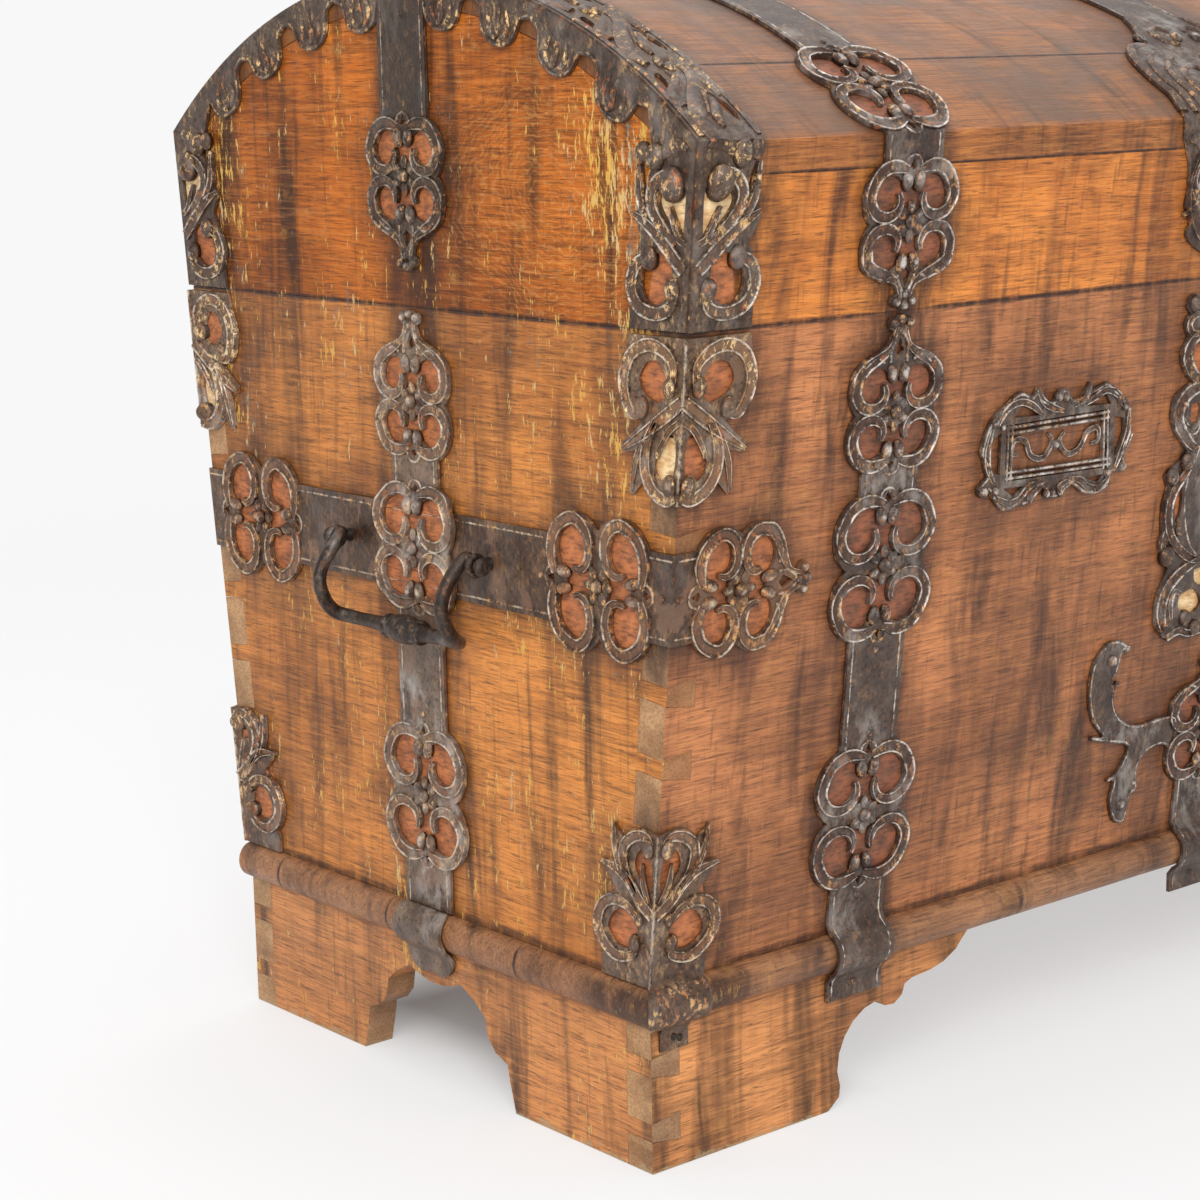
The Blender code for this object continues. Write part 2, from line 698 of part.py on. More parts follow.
def build_front_straps():
    """Body straps at the sides and the middle of the front."""
    points = front_path()
    track = path_track(points, (1, 0, 0), zero=len(points) - 1)
    foot = track.stations[0][0]
    marks = [
        Cartouche(LOWEST_CARTOUCHE / SLOPE_COS, *LONG_CARTOUCHE),
        Cartouche(-187 * MM * DROP_SCALE / SLOPE_COS, *LONG_CARTOUCHE),
        Cartouche(-72.5 * MM * DROP_SCALE / SLOPE_COS, *SHORT_CARTOUCHE),
    ]
    side = [[(STRAP_HALF, foot)]]
    side += [marks[0].side(STRAP_HALF, STRAP_HALF), marks[1].side(STRAP_HALF, STRAP_HALF)]
    side += [marks[2].side(STRAP_HALF, neck_join()), trefoil(-3 * MM, 1)]
    outline = strap_outline(side)
    holes = [hole for mark in marks for hole in mark.holes()]
    for name, across in (("front_strap_left", -SIDE_STRAP_X), ("front_strap_right", SIDE_STRAP_X)):
        moved = [shifted(hole, across, 0) for hole in holes]
        plate(name, WROUGHT, shifted(outline, across, 0), track, GAP, IRON_TOP, holes=moved)
    mark = Cartouche(LOWEST_CARTOUCHE / SLOPE_COS - 3 * MM, *SHORT_CARTOUCHE)
    arm = millimetres(
        (42, -16), (51, -9), (66, -9), (80, -17), (83, -30), (80, -41), (88, -49),
        (91, -67), (107, -65), (115, -46), (112, -30), (121, -27), (109, -20), (98, -3),
        (145, 11), (145, 15), (133, 13), (144, 25), (153, 42), (155, 62),
        (150, 81), (137, 93), (122, 93), (108, 84), (118, 81), (121, 69),
        (124, 55), (118, 58), (122, 39), (112, 25), (91, 16), (64, 16), (42, 13),
    )
    arm = shifted(arm, 0, mark.centre)
    lobe = mark.side(STRAP_HALF, neck_join())
    lower = [point for point in lobe if point[1] < arm[0][1] - 3 * MM]
    upper = [point for point in lobe if point[1] > arm[-1][1] + 3 * MM]
    side = [[(STRAP_HALF, foot)], lower, arm, upper, trefoil(mark.centre + 66 * MM, 1)]
    plate("front_strap_middle", WROUGHT, strap_outline(side), track, GAP, IRON_TOP, holes=mark.holes())


def build_lid_straps():
    """Straps over the lid, the side ones ending in the hinge knuckles."""
    track = path_track(lid_path(), (1, 0, 0))
    arris = track.stations[1][0]
    back_arris = track.stations[-2][0]
    end = track.stations[-1][0]
    marks = [Cartouche(arris / 2, *SHORT_CARTOUCHE), Cartouche(arris + 51 * MM, *CROSSING_CARTOUCHE)]
    tip = [(across, along) for across, along in reversed(trefoil(0.8 * MM, -1))]
    third = KNUCKLE_WIDTH / 2 + GAP
    clear = KNUCKLE_RADIUS + 1.2 * MM
    top_end = [(STRAP_HALF, end - clear), (third - 2 * GAP, end - clear), (third - 2 * GAP, end - 1.5 * MM)]
    side = [tip, marks[0].side(neck_join(), STRAP_HALF), marks[1].side(STRAP_HALF, STRAP_HALF), top_end]
    outline = strap_outline(side)
    holes = [hole for mark in marks for hole in mark.holes()]
    for name, across in (("lid_strap_left", -SIDE_STRAP_X), ("lid_strap_right", SIDE_STRAP_X)):
        moved = [shifted(hole, across, 0) for hole in holes]
        strap = plate(name, WROUGHT, shifted(outline, across, 0), track, GAP, IRON_TOP, holes=moved)
        knuckle = hinge_knuckle(name + "_knuckle", across, KNUCKLE_WIDTH / 2 - GAP)
        combine(strap, knuckle, "UNION")
    rise = LID_SIDE / (126 * MM)
    crest = millimetres((4, 1), (20, 10), (46, 14), (73, 22), (92, 35), (88, 47), (97, 59), (94, 76), (98, 94), (106, 112))
    crest = stretched(crest, 1, rise)
    palmette = [
        (108 * MM, arris), (104 * MM, arris + 12 * MM), (92 * MM, arris + 26 * MM),
        (101 * MM, arris + 48 * MM), (97 * MM, arris + 76 * MM), (82 * MM, arris + 92 * MM),
        (60 * MM, arris + 96 * MM), (50 * MM, arris + 112 * MM), (33 * MM, arris + 141 * MM),
    ]
    last = [(33 * MM, back_arris + 60 * MM), (12 * MM, back_arris + 78 * MM), (3 * MM, back_arris + 84 * MM)]
    outline = strap_outline([crest, palmette, last])
    holes = middle_openings(arris, rise)
    plate("lid_strap_middle", WROUGHT, outline, track, GAP, IRON_TOP, holes=holes)


def middle_openings(arris, rise):
    """Openings of the wide ornament at the front of the middle strap."""
    low = millimetres((20, 30), (48, 32), (70, 44), (76, 62), (66, 88), (44, 98), (26, 84), (38, 62))
    low = stretched(low, 1, rise)
    high = millimetres((22, 14), (60, 16), (80, 40), (78, 66), (56, 78), (30, 70), (36, 42))
    high = shifted(high, 0, arris)
    openings = []
    for shape in (low, high):
        openings.append(shape)
        openings.append([(-across, along) for across, along in shape])
    return openings


def hinge_axis():
    """Y and Z of the lid's hinge line."""
    return (SEAM_DEPTH / 2 + (KNUCKLE_RADIUS + GAP) / SLOPE_COS, SEAM_HEIGHT)


def hinge_knuckle(name, middle, half):
    """Bored barrel of a hinge, along X."""
    axis_y, axis_z = hinge_axis()
    bm = bmesh.new()
    rings = []
    for x, radius in (
        (middle - half, KNUCKLE_RADIUS), (middle + half, KNUCKLE_RADIUS),
        (middle + half, HINGE_BORE), (middle - half, HINGE_BORE),
    ):
        ring = []
        for step in range(HINGE_SIDES):
            angle = math.tau * (step + 0.5) / HINGE_SIDES
            ring.append(bm.verts.new((x, axis_y + radius * math.cos(angle), axis_z + radius * math.sin(angle))))
        rings.append(ring)
    for first, second in zip(rings, rings[1:] + rings[:1]):
        for index in range(HINGE_SIDES):
            after = (index + 1) % HINGE_SIDES
            bm.faces.new((first[index], first[after], second[after], second[index]))
    return add_object(name, bm, WROUGHT)


def build_hinges():
    """Back leaves of the two hinges and their pins."""
    foot = (MOULDING_TOP + 18 * MM - SEAM_HEIGHT) / SLOPE_COS
    third = KNUCKLE_WIDTH / 2 + GAP
    clear = KNUCKLE_RADIUS + 1.2 * MM
    side = [
        (3 * MM, foot), (12 * MM, foot + 6 * MM), (STRAP_HALF, foot + 24 * MM),
        (STRAP_HALF, -1.5 * MM), (third, -1.5 * MM), (third, -clear),
    ]
    outline = mirrored(side)
    axis_y, axis_z = hinge_axis()
    for where, middle in (("left", -SIDE_STRAP_X), ("right", SIDE_STRAP_X)):
        name = f"hinge_strap_{where}"
        leaf = plate(name, WROUGHT, shifted(outline, middle, 0), BACK, GAP, IRON_TOP)
        half = (STRAP_HALF - third) / 2
        for tag, sign in (("a", -1), ("b", 1)):
            centre = middle + sign * (third + half)
            knuckle = hinge_knuckle(f"{name}_knuckle_{tag}", centre, half)
            combine(leaf, knuckle, "UNION")
        hinge_pin(f"hinge_pin_{where}", middle, axis_y, axis_z)


def hinge_pin(name, middle, axis_y, axis_z):
    """Pin of a hinge with a peened head at each end."""
    reach = STRAP_HALF + GAP
    profile = [
        (middle - reach - 3 * MM, PIN_RADIUS), (middle - reach - 2.5 * MM, PIN_RADIUS + 1.8 * MM),
        (middle - reach, PIN_RADIUS + 1.8 * MM), (middle - reach, PIN_RADIUS),
        (middle + reach, PIN_RADIUS), (middle + reach, PIN_RADIUS + 1.8 * MM),
        (middle + reach + 2.5 * MM, PIN_RADIUS + 1.8 * MM), (middle + reach + 3 * MM, PIN_RADIUS),
    ]
    sides = HINGE_SIDES
    bm = bmesh.new()
    rings = []
    for x, radius in profile:
        ring = []
        for step in range(sides):
            angle = math.tau * step / sides
            ring.append(bm.verts.new((x, axis_y + radius * math.cos(angle), axis_z + radius * math.sin(angle))))
        rings.append(ring)
    bm.faces.new(rings[0])
    bm.faces.new(rings[-1][::-1])
    for first, second in zip(rings, rings[1:]):
        for index in range(sides):
            after = (index + 1) % sides
            bm.faces.new((first[index], first[after], second[after], second[index]))
    add_object(name, bm, WROUGHT)


def build_end_straps():
    """Upright straps on the ends, over the waist straps."""
    marks = [
        Cartouche(LOWEST_CARTOUCHE, *LONG_CARTOUCHE),
        Cartouche(-WAIST_DROP, *CROSSING_CARTOUCHE),
        Cartouche(-0.3875 * WAIST_DROP, *SHORT_CARTOUCHE),
    ]
    foot = MOULDING_TOP + GAP - SEAM_HEIGHT
    holes = [hole for mark in marks for hole in mark.holes()]
    side_parts = [[(STRAP_HALF, foot)]]
    side_parts += [marks[0].side(STRAP_HALF, STRAP_HALF), marks[1].side(STRAP_HALF, STRAP_HALF)]
    side_parts += [marks[2].side(STRAP_HALF, neck_join()), trefoil(-3 * MM, 1)]
    outline = strap_outline(side_parts)
    step = IRON + GAP
    over = WAIST_HALF + 1.5 * MM
    ramp = 7 * MM
    for side in (-1, 1):
        path = []
        for along, lift in (
            (foot, 0), (-WAIST_DROP - over - ramp, 0), (-WAIST_DROP - over, step),
            (-WAIST_DROP + over, step), (-WAIST_DROP + over + ramp, 0), (0, 0),
        ):
            path.append((side * (HALF_LENGTH + lift), 0, SEAM_HEIGHT + along))
        track = path_track(path, (0, side, 0), zero=len(path) - 1)
        name = "end_strap_left" if side < 0 else "end_strap_right"
        plate(name, WROUGHT, outline, track, GAP, IRON_TOP, holes=holes)
    top = LID_SIDE + LID_RISE - 15 * MM
    mark = Cartouche(98 * MM, *SHORT_CARTOUCHE)
    tip = [(across, along) for across, along in reversed(trefoil(27 * MM, -1))]
    outline = strap_outline([tip, mark.side(neck_join(), STRAP_HALF), [(STRAP_HALF, top)]])
    for side in (-1, 1):
        name = "lid_end_strap_left" if side < 0 else "lid_end_strap_right"
        plate(name, WROUGHT, outline, end_face(side), GAP, IRON_TOP, holes=mark.holes())


def build_waist_straps():
    """Level straps round the ends, wrapped on to the front."""
    half_depth = SEAM_DEPTH / 2 - WAIST_DROP * SLOPE
    height = SEAM_HEIGHT - WAIST_DROP
    span = 2 * half_depth
    fan = 20 * MM
    front_mark = Cartouche(60 * MM, *SHORT_CARTOUCHE)
    near_mark = Cartouche(-WAIST_CARTOUCHE_INSET, *LONG_CARTOUCHE)
    far_mark = Cartouche(-(span - WAIST_CARTOUCHE_INSET), *LONG_CARTOUCHE)
    side_parts = [[(WAIST_HALF, -span)]]
    side_parts += [far_mark.side(WAIST_HALF, WAIST_HALF), near_mark.side(WAIST_HALF, WAIST_HALF)]
    side_parts += [front_mark.side(WAIST_HALF, neck_join()), trefoil(129 * MM, 1)]
    outline = strap_outline(side_parts)
    holes = [hole for mark in (front_mark, near_mark, far_mark) for hole in mark.holes()]
    for where in (-EYE_HALF_SPAN, EYE_HALF_SPAN):
        holes.append(square_hole(0, where - half_depth, SHANK_HALF + GAP))
    for side in (-1, 1):
        end_out = Vector((side, 0, 0))
        level = Vector((0, 0, 1))
        front_edge = Vector((0, -SLOPE, 1))
        back_edge = Vector((0, SLOPE, 1))
        x = side * HALF_LENGTH
        stations = [
            (-span, Vector((x, half_depth, height)), back_edge, end_out),
            (-span + fan, Vector((x, half_depth - fan, height)), level, end_out),
            (-fan, Vector((x, -half_depth + fan, height)), level, end_out),
            (0.0, Vector((x, -half_depth, height)), front_edge, end_out + FRONT_OUT),
            (fan, Vector((x - side * fan, -half_depth, height)), front_edge, FRONT_OUT),
            (span, Vector((x - side * span, -half_depth, height)), front_edge, FRONT_OUT),
        ]
        name = "waist_strap_left" if side < 0 else "waist_strap_right"
        plate(name, WROUGHT, outline, Track(stations), GAP, IRON_TOP, holes=holes)


def fold_track(side, front):
    """Track across a corner of the case: the end below zero, front or back above."""
    origin = FRONT_ORIGIN if front else BACK_ORIGIN
    up = FRONT_UP if front else BACK_UP
    out = FRONT_OUT if front else BACK_OUT
    corner = Vector((side * HALF_LENGTH, origin.y, origin.z))
    end_out = Vector((side, 0, 0))
    inward = Vector((0, 1 if front else -1, 0))
    along_face = Vector((-side, 0, 0))
    reach = 80 * MM
    return Track([
        (-reach, corner + reach * inward, up, end_out),
        (0.0, corner, up, end_out + out),
        (reach, corner + reach * along_face, up, out),
    ])


def fold_outline(side):
    """Outline across a corner from points of height and width on one side."""
    front = [(height * MM, width * MM) for height, width in side]
    end = [(height, -width) for height, width in reversed(front) if width > 0]
    return front + end


def fold_holes(shapes):
    """Openings on both sides of a corner."""
    openings = []
    for shape in shapes:
        near = [(height * MM, width * MM) for height, width in shape]
        openings.append(near)
        openings.append([(height, -width) for height, width in near])
    return openings


def build_corner_irons():
    """Pierced corner irons above and below on all four corners."""
    top = [
        (-119, 0), (-113, 7), (-107, 28), (-108, 44), (-86, 38), (-78, 57),
        (-58, 34), (-54, 46), (-43, 57), (-28, 58), (-18, 52), (-3, 57), (-3, 0),
    ]
    top_holes = [
        [(-50, 21), (-44, 36), (-30, 41), (-20, 33), (-22, 18)],
        [(-102, 8), (-97, 22), (-84, 24), (-72, 10)],
    ]
    low = 1 - CASE_DROP / SLOPE_COS / MM
    bottom = [
        (low, 0), (low, 56), (low + 20, 47), (low + 32, 58), (low + 52, 55), (low + 62, 42),
        (low + 86, 58), (low + 80, 40), (low + 112, 45), (low + 102, 28), (low + 118, 10), (low + 116, 0),
    ]
    bottom_holes = [
        [(low + 24, 18), (low + 24, 36), (low + 38, 44), (low + 52, 36), (low + 52, 18)],
        [(low + 66, 7), (low + 80, 16), (low + 94, 22), (low + 98, 7)],
    ]
    corners = (
        ("front_left", -1, True), ("front_right", 1, True), ("back_left", -1, False), ("back_right", 1, False),
    )
    for where, side, front in corners:
        track = fold_track(side, front)
        for tag, shape, holes in (("top", top, top_holes), ("foot", bottom, bottom_holes)):
            name = f"corner_iron_{tag}_{where}"
            plate(name, WROUGHT, fold_outline(shape), track, GAP, IRON_TOP, holes=fold_holes(holes))


def fringe_point(angle, depth):
    """Across and along of a point inside the dome's edge on an end."""
    radius = DOME_RADIUS - depth
    turn = math.radians(angle)
    return (radius * math.sin(turn), DOME_CENTRE + radius * math.cos(turn) - SEAM_HEIGHT)


FRINGE_ANGLES = (-30, -22, -14, -6, 6, 14, 22, 30)


def fringe_outline():
    """Lobed edge iron on an end of the lid with its two upright legs."""
    crease = 1.5 * MM + GAP
    outside = []
    for y, z in dome_points():
        radius = math.hypot(y, z - DOME_CENTRE) + crease
        angle = math.atan2(y, z - DOME_CENTRE)
        outside.append((radius * math.sin(angle), DOME_CENTRE + radius * math.cos(angle) - SEAM_HEIGHT))
    lobe = ((-2.3, 13), (-1.9, 31), (-0.7, 38), (0.7, 38), (1.9, 31), (2.3, 13))
    inside = []
    for centre in FRINGE_ANGLES:
        inside += [fringe_point(centre + turn, depth * MM) for turn, depth in lobe]
    legs = []
    rise = LID_SIDE / (126 * MM)
    for width, height in ((44, 106), (45, 92), (57, 77), (48, 62), (57, 42), (53, 24), (56, 1)):
        edge = SEAM_DEPTH / 2 + height * MM * rise * SLOPE
        legs.append((edge - width * MM, height * MM * rise))
    foot = (SEAM_DEPTH / 2 + crease, rise * MM)
    left_leg = [(-across, along) for across, along in legs]
    outline = [foot, *outside[::-1], (-foot[0], foot[1])]
    outline += left_leg[::-1]
    outline += inside
    outline += legs
    return outline


def leg_holes():
    """Openings of an upright leg, as width from the corner and height."""
    upper = millimetres((12, 92), (28, 96), (34, 84), (14, 62))
    lower = millimetres((16, 26), (36, 20), (45, 34), (38, 54), (16, 50))
    rise = LID_SIDE / (126 * MM)
    return stretched(upper, 1, rise), stretched(lower, 1, rise)


def build_lid_edge_irons():
    """Iron round the ends of the lid: a band on the dome, a fringe and legs."""
    end_holes = []
    for sign in (-1, 1):
        for shape in leg_holes():
            points = []
            for width, height in shape:
                edge = SEAM_DEPTH / 2 + height * SLOPE
                points.append((sign * (edge - width), height))
            end_holes.append(points)
    track = path_track(lid_path(), (1, 0, 0))
    arris = track.stations[1][0]
    back_arris = track.stations[-2][0]
    inner = 1.5 * MM + GAP
    for side in (-1, 1):
        where = "left" if side < 0 else "right"
        iron = plate(
            f"lid_edge_iron_{where}", WROUGHT, fringe_outline(), end_face(side), GAP, IRON_TOP, holes=end_holes
        )
        front_leg = []
        for width, height in ((56, 1), (53, 24), (57, 42), (48, 58), (58, 75), (46, 90), (54, 112)):
            front_leg.append((side * (HALF_LENGTH - width * MM), height * MM * LID_SIDE / (126 * MM)))
        edge = side * (HALF_LENGTH + inner)
        crown = back_arris - arris
        belt = side * (HALF_LENGTH - 58 * MM)
        back_leg = [(across, arris + back_arris - along) for across, along in reversed(front_leg)]
        outline = [(edge, 1 * MM), *front_leg, (belt, arris - 4 * MM), (belt, arris + crown + 4 * MM)]
        outline += [*back_leg, (edge, arris + back_arris - 1 * MM)]
        holes = []
        for shape in leg_holes():
            near = [(side * (HALF_LENGTH - width), height) for width, height in shape]
            holes.append(near)
            holes.append([(across, arris + back_arris - along) for across, along in near])
        wrap = plate(f"lid_edge_wrap_{where}", WROUGHT, outline, track, GAP, IRON_TOP, holes=holes)
        combine(iron, wrap, "UNION")


def build_front_ornaments():
    """Lock plate and the framed plate on the left."""
    side = millimetres(
        (14, -302), (50, -297), (67, -297), (80, -283), (80, -266),
        (71, -237), (82, -223), (86, -183), (82, -168), (87, -158), (61, -141),
        (79, -124), (87, -108), (83, -92), (63, -82), (76, -74), (81, -58), (75, -47), (81, -38),
        (73, -30), (81, -22), (76, -12), (64, -14), (52, -24), (22, -6), (8, -3),
    )
    side = stretched(side, 1, DROP_SCALE)
    opening = millimetres((44, -70), (58, -66), (60, -50), (46, -38), (30, -44), (34, -58))
    lower = millimetres((52, -262), (64, -256), (68, -272), (58, -286), (42, -284), (40, -272))
    middle = millimetres((58, -116), (70, -120), (72, -106), (60, -98), (46, -104))
    holes = [keyhole(0)]
    for shape in (opening, lower, middle):
        shape = stretched(shape, 1, DROP_SCALE)
        holes.append(shape)
        holes.append([(-across, along) for across, along in shape])
    plate("lock_plate", WROUGHT, mirrored(side), FRONT, GAP, IRON_TOP, holes=holes)
    centre = (FRAMED_PLATE_X, -117 * MM * DROP_SCALE)
    quarter = millimetres((14, 36), (26, 42), (30, 33), (44, 44), (60, 45), (66, 34), (78, 28), (87, 12), (84, 4))
    frame = mirrored_frame(quarter)
    opening = millimetres((-59, -22), (59, -22), (59, 22), (-59, 22))
    hole = shifted(opening, *centre)
    plate("framed_plate", WROUGHT, shifted(frame, *centre), FRONT, GAP, IRON_TOP, holes=[hole])


def mirrored_frame(quarter):
    """Outline from its upper right quarter, from the top round to the side."""
    right = quarter + [(across, -along) for across, along in reversed(quarter)]
    return right + [(-across, along) for across, along in reversed(right)]


def build_handles():
    """Eyes and bail handles at both ends."""
    height = SEAM_HEIGHT - WAIST_DROP
    for side in (-1, 1):
        where = "left" if side < 0 else "right"
        for tag, y in (("front", -EYE_HALF_SPAN), ("back", EYE_HALF_SPAN)):
            handle_eye(f"handle_eye_{where}_{tag}", side, y, height)
        bail_handle(f"bail_handle_{where}", side, height)


def handle_eye(name, side, y, height):
    """Forged eye whose shank runs through the strap and board and is clenched."""
    seat = IRON_TOP + GAP
    inside = -(BOARD + GAP)
    neck = EYE_OUTER * 0.7
    outline = arc((EYE_STANDOFF, 0), EYE_OUTER, -140, 140, 10)
    outline += [
        (seat, neck), (seat, SHANK_HALF), (inside - 2 * SHANK_HALF, SHANK_HALF),
        (inside - 2 * SHANK_HALF, -CLENCH_DROP), (inside, -CLENCH_DROP), (inside, -SHANK_HALF),
        (seat, -SHANK_HALF), (seat, -neck),
    ]
    hole = arc((EYE_STANDOFF, 0), EYE_HOLE, 15, 345, 11)
    origin = Vector((side * HALF_LENGTH, y, height))
    track = flat_track(origin, Vector((side, 0, 0)), Vector((0, 0, 1)), Vector((0, 1, 0)))
    plate(name, WROUGHT, outline, track, -SHANK_HALF, SHANK_HALF, holes=[hole])


def bail_half():
    """Half of a bail from its middle to its tip: along, out, drop and radius."""
    side = EYE_HALF_SPAN - 12 * MM
    bow = BAIL_BOW
    drop = BAIL_DROP
    points = [(0.0, 1 * MM, drop, BAIL_SWELL), (12 * MM, 1 * MM, drop, BAIL_SWELL * 0.93)]
    points += [(31 * MM, 1 * MM, drop, BAIL_BAR * 1.05)]
    points += [(side - 14 * MM, 1.5 * MM, drop, BAIL_BAR), (side - 3 * MM, 4 * MM, drop - 2 * MM, BAIL_BAR)]
    for angle in (-48, -16, 16, 48):
        turn = math.radians(angle)
        out = bow * math.cos(turn) ** 1.2
        fall = drop * 0.5 - drop * 0.55 * math.sin(turn)
        points.append((side, out, fall, BAIL_BAR))
    points += [(side + 1 * MM, 2.5 * MM, 2 * MM, BAIL_NECK), (side + 6 * MM, 0.0, 0.0, BAIL_NECK)]
    tip = EYE_HALF_SPAN + SHANK_HALF + 1 * MM
    points += [(tip, 0.0, 0.0, BAIL_NECK), (tip + 2 * MM, 0.0, 0.0, BAIL_KNOB), (tip + 7 * MM, 0.0, 0.0, BAIL_BAR * 0.8)]
    return points


def bail_handle(name, side, height):
    """Drop handle of round bar with a swelled grip, origin on its pivot."""
    half = bail_half()
    whole = [(-along, out, fall, radius) for along, out, fall, radius in reversed(half[1:])] + half
    curve = bpy.data.curves.new(name, "CURVE")
    curve.dimensions = "3D"
    curve.bevel_depth = 1.0
    curve.bevel_resolution = 2
    curve.use_fill_caps = True
    spline = curve.splines.new("POLY")
    spline.points.add(len(whole) - 1)
    for point, (along, out, fall, radius) in zip(spline.points, whole):
        point.co = (side * out, along, -fall, 1.0)
        point.radius = radius
    curve.materials.append(finish_of(name, WROUGHT))
    made = bpy.data.objects.new(name, curve)
    made.location = (side * (HALF_LENGTH + EYE_STANDOFF), 0, height)
    bpy.context.scene.collection.objects.link(made)


def build_lock():
    """Box lock inside the front, its bolt, and the staple under the lid."""
    back = -(BOARD + GAP)
    top = -LOCK_TOP
    outline = [
        (-LOCK_HALF_WIDTH, top - LOCK_HEIGHT), (LOCK_HALF_WIDTH, top - LOCK_HEIGHT),
        (LOCK_HALF_WIDTH, top), (-LOCK_HALF_WIDTH, top),
    ]
    case = plate("lock_case", WROUGHT, outline, FRONT, back - LOCK_DEPTH, back)
    middle = back - LOCK_DEPTH / 2
    bolt_along = (top - BOLT_DROP - BOLT_HEIGHT, top - BOLT_DROP)
    bolt_out = (middle - BOLT_HALF, middle + BOLT_HALF)
    eye_along = (bolt_along[0] - BOLT_PLAY, bolt_along[1] + BOLT_PLAY)
    staple_foot = eye_along[0] - 3 * MM
    tip = -STAPLE_HALF - 3 * MM
    channel = block(
        "lock_channel", WROUGHT, FRONT, (tip - BOLT_LENGTH - 1 * MM, tip + BOLT_TRAVEL + 2 * MM),
        (bolt_along[0] - GAP, bolt_along[1] + GAP), (bolt_out[0] - GAP, bolt_out[1] + GAP),
    )
    combine(case, channel, "DIFFERENCE")
    pocket = block(
        "lock_pocket", WROUGHT, FRONT, (-STAPLE_HALF - 1.5 * MM, STAPLE_HALF + 1.5 * MM),
        (staple_foot - 1 * MM, top + 5 * MM), (middle - STAPLE_REACH - 2.5 * MM, middle + STAPLE_REACH + 3 * MM),
    )
    combine(case, pocket, "DIFFERENCE")
    key_bore = plate("lock_key_bore", WROUGHT, keyhole(0.5 * MM), FRONT, back - 16 * MM, back + 5 * MM)
    combine(case, key_bore, "DIFFERENCE")
    block("lock_bolt", WROUGHT, FRONT, (tip - BOLT_LENGTH, tip), bolt_along, bolt_out)
    staple_outline = [
        (back, 4 * MM), (back, 46 * MM), (back - STAPLE_PLATE, 46 * MM), (back - STAPLE_PLATE, 9 * MM),
        (middle - STAPLE_REACH, 9 * MM), (middle - STAPLE_REACH, staple_foot),
        (middle + STAPLE_REACH, staple_foot), (middle + STAPLE_REACH, 4 * MM),
    ]
    near = middle - BOLT_HALF - BOLT_PLAY
    far = middle + BOLT_HALF + BOLT_PLAY
    hole = [(near, eye_along[0]), (far, eye_along[0]), (far, eye_along[1]), (near, eye_along[1])]
    profile = flat_track(FRONT_ORIGIN, FRONT_OUT, FRONT_UP, Vector((1, 0, 0)))
    plate("lid_staple", WROUGHT, staple_outline, profile, -STAPLE_HALF, STAPLE_HALF, holes=[hole])


def carry(name, point, pieces):
    """Parent the pieces of a moving body to an empty on its joint."""
    pivot = bpy.data.objects.new(name, None)
    pivot.location = point
    bpy.context.scene.collection.objects.link(pivot)
    for piece in pieces:
        piece.parent = pivot
        piece.location = -Vector(point)


def place_pivots():
    """Put the lid on its hinge line and the bolt on its own middle."""
    axis_y, axis_z = hinge_axis()
    lid = [item for item in bpy.data.objects if item.name.startswith("lid_") and not item.hide_render]
    carry("lid_pivot", (0, axis_y, axis_z), lid)
    middle = -(BOARD + GAP) - LOCK_DEPTH / 2
    bolt_centre = FRONT.place(0, -LOCK_TOP - BOLT_DROP - BOLT_HEIGHT / 2, middle)
    carry("bolt_pivot", bolt_centre, [bpy.data.objects["lock_bolt"]])


def main():
    """Build every piece of the chest."""
    clear_scene()
    build_case()
    build_plinth()
    build_mouldings()
    build_lid_wood()
    build_front_straps()
    build_lid_straps()
    build_hinges()
    build_end_straps()
    build_waist_straps()
    build_corner_irons()
    build_lid_edge_irons()
    build_front_ornaments()
    build_handles()
    build_lock()
    place_pivots()


main()
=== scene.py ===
"""Looks of a domed oak storage chest with embossed wrought iron strapwork."""

import logging
import math
from dataclasses import dataclass, field
from enum import Enum
from typing import Any, Callable, Iterable, Iterator, Sequence

import bmesh
import bpy
from mathutils import Matrix, Vector


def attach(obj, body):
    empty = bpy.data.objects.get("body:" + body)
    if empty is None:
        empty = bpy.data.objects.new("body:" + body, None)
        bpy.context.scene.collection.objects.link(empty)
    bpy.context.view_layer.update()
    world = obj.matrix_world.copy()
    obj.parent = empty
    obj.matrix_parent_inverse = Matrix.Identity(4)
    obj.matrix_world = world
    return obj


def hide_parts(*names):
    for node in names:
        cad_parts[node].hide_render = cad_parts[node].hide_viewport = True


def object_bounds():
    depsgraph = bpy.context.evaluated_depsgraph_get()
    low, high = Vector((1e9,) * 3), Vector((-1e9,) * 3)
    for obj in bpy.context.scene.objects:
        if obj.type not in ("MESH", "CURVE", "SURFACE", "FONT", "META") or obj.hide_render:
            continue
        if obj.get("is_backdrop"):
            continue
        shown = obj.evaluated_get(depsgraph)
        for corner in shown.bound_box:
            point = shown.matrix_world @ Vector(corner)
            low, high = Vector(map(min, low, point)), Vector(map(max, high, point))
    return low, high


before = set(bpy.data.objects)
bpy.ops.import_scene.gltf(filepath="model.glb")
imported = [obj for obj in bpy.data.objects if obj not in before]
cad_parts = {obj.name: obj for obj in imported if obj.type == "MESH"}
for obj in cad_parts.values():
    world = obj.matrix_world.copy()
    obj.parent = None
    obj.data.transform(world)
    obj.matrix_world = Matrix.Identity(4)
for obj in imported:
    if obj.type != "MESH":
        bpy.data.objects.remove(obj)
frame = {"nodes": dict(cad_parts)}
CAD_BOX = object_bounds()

MM = 0.001
LOG = logging.getLogger("chest")
Point = tuple[float, float]
Triple = tuple[float, float, float]
Look = bpy.types.Material
Piece = bpy.types.Object
Mesh = bmesh.types.BMesh
Vert = bmesh.types.BMVert
Edge = bmesh.types.BMEdge
Socket = bpy.types.NodeSocket
